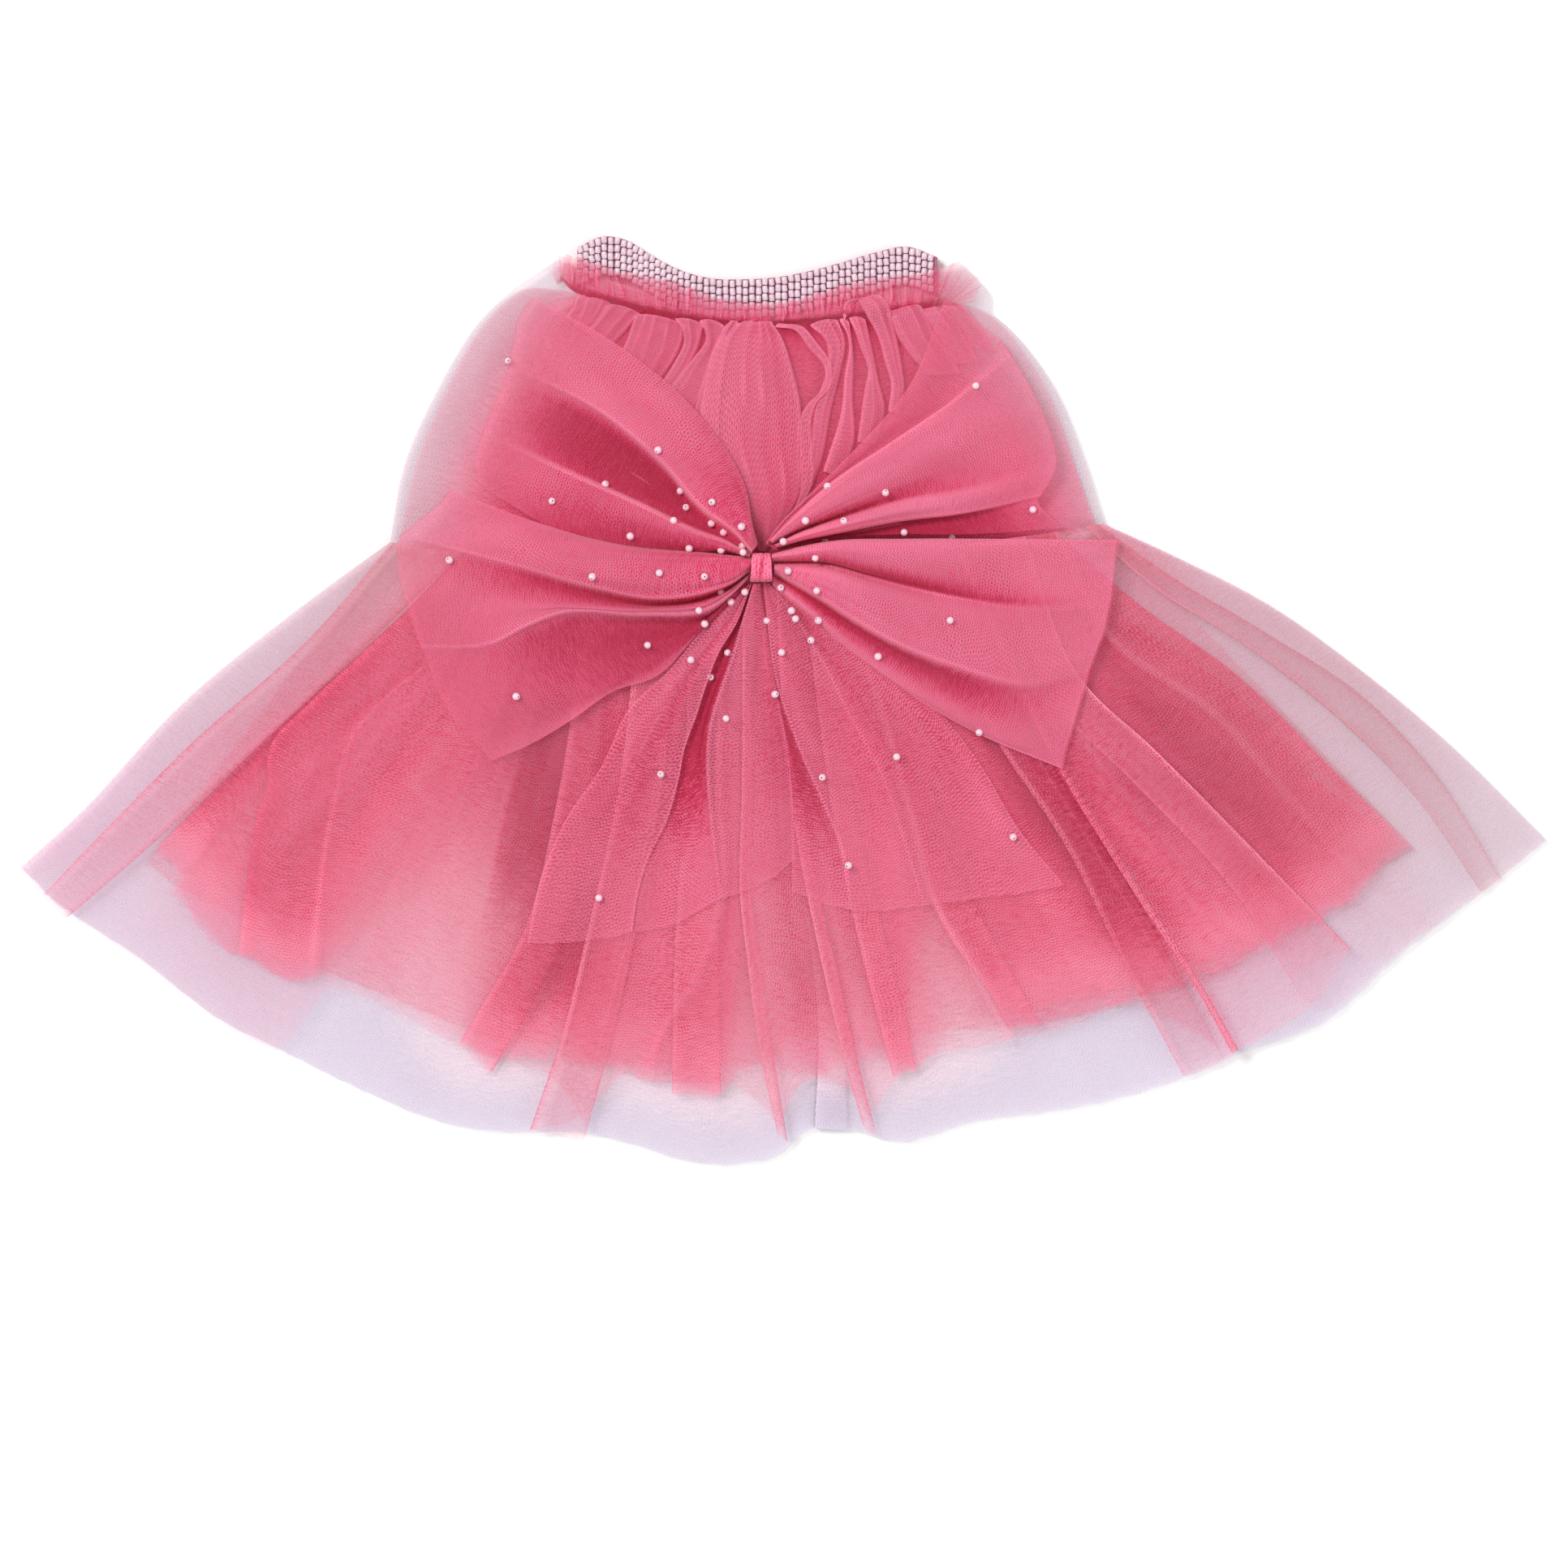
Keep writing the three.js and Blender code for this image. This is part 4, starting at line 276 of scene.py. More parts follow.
# The white lining. Its tone values paint a pink light on it where the pink layers lie over it.
SKIRT_LINING = [
    (1, 0, [(-145.2, 57.8, 0), (-178.2, 33.8, 0), (-222.6, -2.5, 0), (-260.1, -42.8, 0), (-281.4, -62.2, 0)]),
    (1, 0, [(-138, 56.8, 0), (-169.5, 27.4, 0), (-210.9, -7.3, 0), (-250.5, -46.9, 0), (-270.9, -73, 0)]),
    (1, (-1.5, -1.5, -1.5, -1.5, -1.5, -1.5, -1.5, -1.4, -1, -0.2, 0), [(-124.5, 55.3, 0), (-151.5, 9.4, 0), (-186, -29.5, 0), (-220.5, -65.5, 0), (-238.5, -95, 0)]),
    (1, (-1.5, -1.5, -1.5, -1.5, -1.5, -1.5, -1.5, -1.4, -1, -0.2, 0), [(-112.5, 54.1, 0.3), (-133.5, 3.4, 0.3), (-163.5, -41.5, 0.3), (-187.5, -77.5, 0.3), (-206.4, -119.2, 0.3)]),
    (1, (-1.5, -1.5, -1.5, -1.5, -1.5, -1.5, -1.5, -1.4, -1, -0.2, 0), [(-105.9, 53.5, 0), (-123, 0.4, 0), (-148.5, -44.5, 0), (-169.5, -83.5, 0), (-186.3, -129.2, 0)]),
    (1, (-1.5, -1.5, -1.5, -1.5, -1.5, -1.5, -1.5, -1.4, -1, -0.2, 0), [(-94.5, 52.6, 0), (-109.5, -5.5, 0), (-129, -53.5, 0), (-145.5, -98.5, 0), (-160.5, -142, 0)]),
    (1, (-1.5, -1.5, -1.5, -1.5, -1.5, -1.5, -1.5, -1.5, -1.5, -1.2, 0), [(-79.5, 51.7, 0.5), (-90, -11.5, 0.5), (-103.5, -59.5, 0.5), (-115.5, -107.5, 0.5), (-126.6, -155.8, 0.5)]),
    (1, (-1.5, -1.5, -1.5, -1.5, -1.5, -1.5, -1.5, -1.5, -1.5, -1.2, 0), [(-66, 51.1, 0), (-73.5, -17.6, 0), (-82.5, -65.5, 0), (-91.5, -113.5, 0), (-100.5, -160, 0)]),
    (1, (-1.5, -1.5, -1.5, -1.5, -1.5, -1.5, -1.5, -1.5, -1.5, -1.2, 0), [(-52.5, 50.7, 0), (-57, -17.6, 0), (-63, -65.5, 0), (-69, -113.5, 0), (-73.2, -160, 0)]),
    (1, (-1.5, -1.5, -1.5, -1.5, -1.5, -1.5, -1.5, -1.5, -1.5, -1.2, 0), [(-43.5, 50.5, 0.4), (-45.9, -17.6, 0.4), (-49.5, -65.5, 0.4), (-52.5, -113.5, 0.4), (-54.9, -164.5, 0.4)]),
    (1, (-1.5, -1.5, -1.5, -1.5, -1.5, -1.5, -1.5, -1.5, -1.5, -1.2, 0), [(-31.5, 50.5, 0.6), (-32.4, -17.6, 0.6), (-33.3, -65.5, 0.6), (-33.9, -119.5, 0.6), (-34.5, -170.5, 0.6)]),
    (1, (-1.5, -1.5, -1.5, -1.5, -1.5, -1.5, -1.5, -1.5, -1.5, -1.2, 0), [(-21, 50.6, 0), (-19.5, -20.6, 0), (-18, -71.5, 0), (-15.9, -125.5, 0), (-13.5, -171.2, 0)]),
    (1, (-1.5, -1.5, -1.5, -1.5, -1.5, -1.5, -1.5, -1.5, -1.5, -1.2, 0), [(-15, 50.8, 0.2), (-11.1, -20.6, 0.2), (-7.5, -71.5, 0.2), (-3, -122.5, 0.2), (0, -166.9, 0.2)]),
    (1, (-1.5, -1.5, -1.5, -1.5, -1.5, -1.5, -1.5, -1.5, -1.5, -1.2, 0), [(-12, 50.8, 0.1), (-7.5, -20.6, 0.1), (-2.1, -71.5, 0.1), (3, -119.5, 0.1), (6, -160.7, 0.1)]),
    (1.5, (-1.5, -1.5, -1.5, -1.5, -1.5, -1.5, -1.5, -1.5, -1.5, -1.2, 0), [(-4.5, 51.1, 0.1), (6, -20.6, 0.1), (15, -74.5, 0.1), (21.9, -122.8, 0.1), (23.1, -158.2, 0.1)]),
    (1.5, (-1.5, -1.5, -1.5, -1.5, -1.5, -1.5, -1.5, -1.5, -1.5, -1.2, 0), [(-5.1, 51.1, 0.4), (5.1, -20.6, 0.4), (13.8, -74.5, 0.4), (20.7, -122.8, 0.4), (21.9, -158.5, 0.4)]),
    (1.6, (-1.5, -1.5, -1.5, -1.5, -1.5, -1.5, -1.5, -1.5, -1.5, -1.2, 0), [(-9, 50.9, 0.7), (-0.9, -20.6, 0.7), (7.5, -74.5, 0.7), (12.9, -122.8, 0.7), (11.4, -158.2, 0.7)]),
    (1.2, (-1.5, -1.5, -1.5, -1.5, -1.5, -1.5, -1.5, -1.5, -1.5, -1.2, 0), [(-8.1, 50.9, 1), (0.3, -20.6, 1), (8.7, -74.5, 1), (14.1, -122.8, 1), (12.6, -158.5, 1)]),
    (1, (-1.5, -1.5, -1.5, -1.5, -1.5, -1.5, -1.5, -1.5, -1.5, -1.2, 0), [(-2.1, 51.2, 0.6), (9, -20.6, 0.6), (18.3, -74.5, 0.6), (24.9, -122.8, 0.6), (26.1, -159.2, 0.6)]),
    (1, (-1.5, -1.5, -1.5, -1.5, -1.5, -1.5, -1.5, -1.5, -1.5, -1.2, 0), [(4.5, 51.5, 0.4), (19.5, -20.6, 0.4), (30, -71.5, 0.4), (37.5, -116.5, 0.4), (41.4, -163.3, 0.4)]),
    (1, (-1.5, -1.5, -1.5, -1.5, -1.5, -1.5, -1.5, -1.5, -1.5, -1.2, 0), [(13.5, 51.9, 0), (34.5, -20.6, 0), (48, -68.5, 0), (60, -113.5, 0), (71.7, -155.8, 0)]),
    (1, (-1.5, -1.5, -1.5, -1.5, -1.5, -1.5, -1.5, -1.4, -1, -0.2, 0), [(25.5, 52.7, 0.4), (54, -20.6, 0.4), (73.5, -65.5, 0.4), (91.5, -107.5, 0.4), (106.5, -150.8, 0.4)]),
    (1, (-1.5, -1.5, -1.5, -1.5, -1.5, -1.5, -1.5, -1.4, -1, -0.2, 0), [(39, 53.8, 0), (75, -20.6, 0), (100.5, -62.5, 0), (124.5, -101.5, 0), (139.5, -142.7, 0)]),
    (1, (-1.5, -1.5, -1.5, -1.5, -1.5, -1.5, -1.5, -1.4, -1, -0.2, 0), [(52.5, 55.1, 0.3), (96, -20.6, 0.3), (126, -59.5, 0.3), (151.5, -95.5, 0.3), (169.5, -130.3, 0.3)]),
    (1, (-1.5, -1.5, -1.5, -1.5, -1.5, -1.5, -1.5, -1.4, -1, -0.2, 0), [(67.5, 56.8, 0), (115.5, -11.5, 0), (151.5, -47.5, 0), (181.5, -83.5, 0), (201, -118.3, 0)]),
    (1, (-1.5, -1.5, -1.5, -1.5, -1.5, -1.5, -1.5, -1.4, -1, -0.2, 0), [(84, 59, 0.3), (130.5, 3.4, 0.3), (174, -35.5, 0.3), (208.5, -71.5, 0.3), (226.5, -95, 0.3)]),
    (1, 0, [(100.5, 61.6, 0), (142.5, 24.4, 0), (187.5, -5.5, 0), (226.5, -44.5, 0), (250.5, -77, 0)]),
    (1, 0, [(118.2, 64.6, 0), (142.8, 53.5, 0), (180, 34.4, 0), (213, 10.9, 0), (246, -16.6, 0), (281.7, -51.8, 0)]),
]
# The bow loops' front walls: fold lines from the knot to the far edge, with their height above the dress, plies, and
# painted light and shade (lighter on the ridges, darker in the valleys).
LOOP_UPPER_LEFT = [
    (2.6, (0, 0.1, 0.2, 0.25, 0.2, 0.1), [(-9.3, 56.9, 2), (-11.1, 63.4, 2.2), (-13.5, 76.6, 2.5), (-32.1, 106, 2.5), (-57.9, 128.2, 2), (-91.5, 148, 1.3)]),
    (2.6, (-0.4, -0.3, 0, 0.1, 0.1, 0.1), [(-9.9, 55.6, 5), (-12.3, 65, 5.5), (-16.2, 76.3, 6), (-34.8, 103.3, 6), (-61.5, 124.6, 5), (-94.5, 144.4, 2.2)]),
    (2.6, (-0.5, -0.4, -0.05, 0.1, 0.15, 0.2), [(-10.5, 54.8, 8), (-15, 65, 8.5), (-21.6, 76, 9), (-38.7, 95.8, 8.5), (-63.3, 117.4, 7), (-97.5, 138.4, 3.2)]),
    (2.86, (-0.5, -0.4, -0.05, 0.1, 0.15, 0.2), [(-11.1, 54.1, 9), (-17.1, 62.5, 10), (-25.5, 70.6, 10.5), (-41.7, 89.8, 9.5), (-64.5, 110.2, 7.5), (-99.3, 129.4, 3.6)]),
    ((3.07, 3.07, 3.07, 3.07, 3.07, 3.07), (-0.38, -0.27, 0.03, 0.15, 0.18, 0.19), [(-11.3, 54, 8.42), (-17.4, 61.8, 9.41), (-26.8, 68.8, 9.47), (-44.3, 88.1, 8.34), (-67.8, 107.3, 6.65), (-100.3, 123.9, 3.43)]),
    (4.49, (0.3, 0.45, 0.55, 0.55, 0.5, 0.35), [(-11.4, 53.9, 8), (-17.7, 61.3, 9), (-27.3, 68, 9), (-44.7, 87.1, 8), (-68.1, 106.3, 6.5), (-100.5, 122.8, 3.4)]),
    (3.12, (-0.1, 0, 0.05, 0.05, 0.05, 0), [(-11.4, 53.5, 5), (-18, 60.8, 5.5), (-27.6, 67.3, 5.5), (-45, 86.2, 5), (-68.4, 105.5, 4.5), (-101.1, 121, 3)]),
    (3.38, (-0.5, -0.7, -0.85, -0.95, -0.9, -0.15), [(-11.7, 53.2, 3), (-18.9, 59.8, 2.7), (-28.5, 66.1, 2.5), (-46.2, 84.1, 2), (-70.5, 101.8, 2), (-102.3, 116.8, 2.2)]),
    (3.38, (-0.5, -0.7, -0.8, -0.85, -0.8, -0.1), [(-12, 52.9, 2), (-19.5, 58.6, 1.8), (-30.3, 63.8, 1.5), (-51.3, 75.8, 1.2), (-74.7, 88.6, 1), (-105.9, 107.8, 1.7)]),
    (3.12, (-0.4, -0.55, -0.55, -0.55, -0.55, -0.05), [(-12, 52.6, 2.5), (-20.1, 57.8, 2.5), (-31.2, 62.2, 2.5), (-53.1, 72.8, 2.5), (-76.2, 83.8, 2.3), (-108.9, 100.6, 2.1)]),
    ((4.49, 4.49, 4.49, 4.49, 3.59, 2.99), (0, 0.15, 0.4, 0.45, 0.2, 0.2), [(-12.3, 52.4, 5), (-20.7, 57.1, 6), (-31.8, 61, 6.5), (-53.7, 71.5, 6.5), (-75.9, 81.5, 5), (-110.1, 97.6, 2.5)]),
    ((2.86, 2.86, 2.86, 2.86, 2.7, 2.6), (-0.28, -0.33, -0.28, -0.27, -0.2, 0), [(-12.3, 52.2, 5.84), (-20.8, 56.9, 6.75), (-31.9, 60.6, 7.13), (-54.1, 70.6, 6.74), (-76.3, 80.5, 5.18), (-110.5, 96.7, 2.56)]),
    (2.6, (-0.3, -0.4, -0.4, -0.4, -0.25, 0), [(-12.3, 52, 7), (-21, 56.5, 7.8), (-31.8, 59.8, 8), (-53.7, 67.3, 7.5), (-78.3, 76, 6), (-111.9, 92.8, 2.8)]),
    (2.6, (-0.5, -0.65, -0.6, -0.55, -0.35, 0), [(-12.3, 51.8, 6), (-21.3, 55.4, 6.3), (-31.5, 56.9, 6.5), (-53.1, 61.9, 5.5), (-80.1, 67.6, 4.3), (-113.1, 87.5, 2.3)]),
    (2.6, (-0.7, -0.9, -0.85, -0.75, -0.5, -0.05), [(-12.3, 51.4, 3), (-21.6, 54.1, 3), (-31.2, 53.9, 3), (-52.5, 55.6, 2.5), (-78.9, 60.4, 2), (-111.9, 78.5, 1.4)]),
]
LOOP_LOWER_LEFT = [
    (2.34, (0, 0.1, 0.2, 0.2, 0.1), [(-11.7, 51.8, 2), (-31.2, 53.9, 2.5), (-57, 56.2, 2.5), (-87.9, 64, 2), (-121.5, 76.6, 1)]),
    (2.6, (-0.6, -0.5, -0.2, 0.15, 0.25), [(-11.7, 51.4, 5), (-31.2, 52.6, 7), (-57, 54.1, 7.5), (-87, 61.3, 5.5), (-126.3, 71.8, 2.2)]),
    (2.6, (-0.5, -0.4, -0.15, 0.1, 0.3), [(-11.7, 50.2, 7.5), (-31.2, 48.4, 10), (-57, 49.4, 10), (-85.5, 55.9, 8), (-132.3, 66.5, 2.6)]),
    (2.86, (-0.4, -0.3, -0.15, 0, 0.15, 0.3), [(-12, 48.1, 7.5), (-18.9, 44.2, 8.5), (-31.2, 41.9, 9.5), (-56.1, 41.9, 9.5), (-85.5, 49.4, 7), (-137.1, 62.5, 2.6)]),
    ((3.12, 3.12, 3.12, 3.12, 3.12, 3.12, 3.12), (-0.32, -0.21, -0.1, 0, 0.11, 0.19, 0.26), [(-12.2, 47.5, 6.34), (-17.9, 43.8, 7.28), (-27.3, 40.5, 7.7), (-47, 37.8, 7.1), (-68.7, 41.9, 6.63), (-96.7, 49.6, 4.97), (-139.3, 61, 2.38)]),
    (4.78, (0.2, 0.4, 0.5, 0.5, 0.55, 0.45, 0.3), [(-12.3, 46.9, 5.5), (-18, 43, 6.5), (-27.3, 39.4, 7), (-47.1, 36.8, 6.5), (-69, 40.9, 6), (-97.2, 48.8, 4.5), (-140.1, 60.4, 2.3)]),
    (3.12, (-0.1, -0.1, 0, 0, 0, 0.15, 0.1), [(-12.3, 46.6, 3.5), (-18, 42.4, 4), (-27, 38.9, 4), (-47.1, 36.1, 3.5), (-69.3, 40, 3.5), (-97.5, 47.9, 3), (-140.7, 59.2, 1.9)]),
    (3.12, (-0.5, -0.8, -0.8, -0.75, -0.5, 0, 0.05), [(-12.3, 46.4, 2), (-18, 41.9, 1.6), (-26.7, 37.9, 1.5), (-47.7, 34.6, 1.5), (-69.9, 38.5, 1.6), (-98.1, 46, 1.7), (-141.3, 57.4, 1.5)]),
    (2.6, (-0.3, -0.4, -0.45, -0.4, -0.35, -0.05, 0), [(-12.6, 45.8, 3), (-18.6, 40.6, 3.2), (-27.3, 36.1, 3.5), (-48.3, 33.4, 3.5), (-70.5, 35.9, 3.4), (-99.3, 41.2, 3), (-141.3, 51.4, 1.7)]),
    (2.6, (0, 0, 0.05, 0.05, 0, -0.1, -0.1), [(-12.6, 45.1, 5), (-19.2, 39.4, 6), (-27.3, 34.6, 6.5), (-49.5, 32.2, 6.5), (-73.5, 33.4, 6), (-100.5, 34.9, 4.2), (-140.1, 41.9, 2.2)]),
    ((2.91, 2.91, 2.91, 2.91, 2.91, 2.91, 2.91, 2.91), (0.02, 0.05, 0.1, 0.11, 0.09, 0.04, -0.06, -0.08), [(-12.8, 44.8, 5), (-19.7, 38.6, 5.61), (-27.5, 33.7, 5.92), (-52.1, 31.4, 5.85), (-83.3, 32, 5.04), (-95, 27.7, 4.21), (-106.9, 21.8, 3.03), (-133.2, 20.3, 1.82)]),
    (4.78, (0.3, 0.45, 0.55, 0.55, 0.55, 0.5, 0.3, 0.2), [(-12.9, 44.5, 5), (-19.5, 38.2, 5.3), (-27, 33.1, 5.5), (-51.3, 30.8, 5.5), (-82.5, 31.3, 5), (-94.5, 26.8, 4.2), (-106.5, 20.8, 3), (-132.9, 19.3, 1.8)]),
    (2.86, (-0.1, -0.1, -0.1, -0.1, -0.1, -0.1, -0.1, 0), [(-12.9, 44.2, 3), (-19.5, 37.6, 3), (-26.7, 32.5, 3), (-51, 30.1, 3), (-81.9, 30.4, 3), (-93.9, 25.9, 2.4), (-105.9, 19.6, 1.9), (-132, 17.8, 1.5)]),
    (2.34, (-0.3, -0.5, -0.6, -0.55, -0.5, -0.4, -0.2, -0.1), [(-13.2, 43.6, 1.5), (-20.1, 36.4, 1.2), (-26.7, 31, 1), (-50.7, 28.1, 1), (-79.5, 27.1, 1), (-90.9, 22.3, 1), (-103.5, 16.6, 1.1), (-129.9, 13, 1.1)]),
    ((3.12, 3.38, 3.38, 2.6, 2.08, 1.82), (-0.5, -1, -1, -0.6, -0.35, -0.05), [(-13.5, 42.8, 1.5), (-32.4, 27.4, 1.2), (-56.7, 22.9, 1.2), (-79.5, 18.4, 1.2), (-102, 8.8, 1.2), (-126, 2.5, 1)]),
    ((3.12, 3.38, 3.12, 2.34, 1.95, 1.82), (-0.5, -1.1, -1, -0.6, -0.3, -0.05), [(-13.8, 41.9, 2), (-33.6, 25.1, 2.2), (-57.9, 16.6, 2.2), (-81.9, 7.6, 1.8), (-102.9, -1.9, 1.2), (-120, -7.9, 1)]),
    ((2.6, 3.12, 2.86, 2.08, 1.69, 1.69), (-0.4, -0.9, -0.8, -0.4, -0.15, 0), [(-14.1, 40.6, 1.5), (-32.7, 23.2, 1.8), (-53.7, 9.4, 1.8), (-75.9, -1.3, 1.5), (-96, -10.9, 1), (-111.9, -16.6, 0.8)]),
    (2.34, 0.25, [(-14.4, 39.4, 1.2), (-29.1, 26.2, 1.2), (-47.7, 7.6, 1.2), (-61.5, 3.1, 1), (-78.9, -8.5, 1), (-92.7, -16.6, 0.9), (-106.8, -22.6, 0.8)]),
]
LOOP_UPPER_RIGHT = [
    (0.91, 0.1, [(-6.6, 56.9, 1.5), (-1.5, 64, 1.7), (10.5, 76, 1.8), (29.1, 94.6, 1.8), (45.9, 114.5, 1.5), (59.4, 147.2, 1.2)]),
    (1.04, 0.1, [(-6.3, 57.1, 2), (-0.6, 64.3, 2.1), (12.9, 77, 2.2), (33, 95, 2.2), (51, 113.8, 2), (66, 142.7, 1.6)]),
    (1.56, 0.1, [(-5.7, 57.1, 2), (0.3, 64.3, 1.8), (14.7, 77.5, 1.6), (37.5, 93.8, 1.6), (55.5, 108.8, 1.8), (74.1, 136, 1.6)]),
    (2.34, (-0.2, -0.2, -0.1, 0, 0.1, 0.1), [(-5.4, 57.4, 3), (1.5, 64.6, 2.8), (16.2, 78.1, 2.5), (39.9, 94.3, 2.5), (59.1, 107.5, 2.5), (80.1, 131.2, 2)]),
    (4.49, (0.3, 0.45, 0.55, 0.55, 0.5, 0.3), [(-5.1, 57.8, 6), (2.1, 65, 6.3), (17.1, 78.5, 6.5), (41.4, 95, 6.5), (61.5, 108.8, 5), (83.7, 126.4, 2.6)]),
    ((2.86, 2.86, 2.86, 2.86, 2.86, 2.86), (0.1, 0.13, 0.19, 0.23, 0.22, 0.1), [(-5, 57.8, 6.84), (2.4, 64.7, 7.25), (17.7, 77.8, 7.55), (42, 94.1, 7.1), (62.1, 107.9, 5.33), (84.2, 125.6, 2.68)]),
    (2.6, (0.1, 0.1, 0.15, 0.2, 0.2, 0.1), [(-4.8, 57.8, 8), (3.3, 64.6, 8.6), (18.3, 76.6, 9), (42.9, 92, 8.5), (63.9, 104.8, 6.5), (87.9, 119.8, 3.2)]),
    (2.6, (0, 0.05, 0.15, 0.25, 0.25, 0.15), [(-4.5, 57.4, 8.5), (4.5, 64, 9.3), (19.8, 73.6, 10), (45, 86.5, 9), (67.5, 97, 7), (93.9, 108.5, 3.4)]),
    (2.6, (0, 0, 0.1, 0.2, 0.25, 0.2), [(-4.2, 57.1, 7), (5.4, 63.1, 7.6), (21, 70.3, 8), (45.9, 80.2, 7), (69.3, 89, 5.5), (97.5, 100, 3)]),
    (2.6, (-0.1, -0.15, 0, 0.1, 0.2, 0.2), [(-3.9, 56.9, 4.5), (5.1, 61.9, 4.5), (19.5, 67.6, 4.5), (44.1, 76.3, 5), (69, 83, 4.5), (99.3, 94, 2.8)]),
    (2.86, (-0.3, -0.45, -0.3, 0, 0.1, 0.2), [(-3.6, 56.5, 3), (5.1, 61, 2.7), (18.9, 66.1, 2.5), (42.9, 73.6, 4), (69.3, 79, 4.2), (100.2, 89.8, 2.6)]),
    (3.12, (0.1, 0.3, 0.4, 0.4, 0.3, 0.3), [(-3.3, 56.2, 6), (5.7, 60.4, 6.2), (19.5, 65, 6.5), (43.5, 71.8, 7), (69, 75.8, 6), (100.2, 85.3, 3)]),
    (2.73, (0.1, 0.25, 0.35, 0.4, 0.35, 0.3), [(-2.7, 55.9, 7), (6.3, 59.2, 7.7), (19.8, 63.1, 8.5), (43.5, 68.5, 8), (66.9, 71.8, 6.2), (98.1, 80.2, 2.8)]),
    ((2.96, 2.96, 2.96, 2.96, 2.96, 2.96), (0.1, 0.24, 0.34, 0.38, 0.34, 0.28), [(-2.5, 55.8, 5.84), (6.9, 58.8, 6.44), (19.7, 61.9, 7.05), (43.3, 66.5, 6.23), (64.4, 68.8, 5.13), (95.1, 75.7, 2.29)]),
    (4.49, (0.3, 0.4, 0.5, 0.5, 0.5, 0.4), [(-2.4, 55.6, 5), (6.9, 58.3, 5.5), (19.5, 61, 6), (42.9, 65.5, 5.5), (63.9, 68, 4.8), (94.5, 74.8, 2.2)]),
    (2.86, (-0.1, -0.2, -0.2, -0.2, -0.1, 0), [(-2.4, 55.4, 3), (6.9, 57.9, 3.3), (19.5, 60.4, 3.5), (42.9, 65, 3.2), (63.9, 67.5, 3), (93.9, 74, 1.5)]),
    (4.16, (-0.5, -0.8, -0.9, -0.9, -0.8, -0.2), [(-2.4, 55, 1.5), (6.9, 58, 1.5), (19.5, 61, 1.5), (42.9, 65.8, 1.5), (63.9, 68.8, 1.5), (92.7, 73, 1.1)]),
    ((5.2, 5.72, 5.72, 5.2, 3.12, 1.3), (-0.5, -0.9, -1.1, -1.1, -0.9, -0.3), [(-2.1, 54.4, 1.2), (7.5, 57.1, 1.1), (20.1, 59.2, 1), (43.5, 60.4, 0.9), (67.5, 60.4, 0.9), (101.7, 62.8, 0.8)]),
]
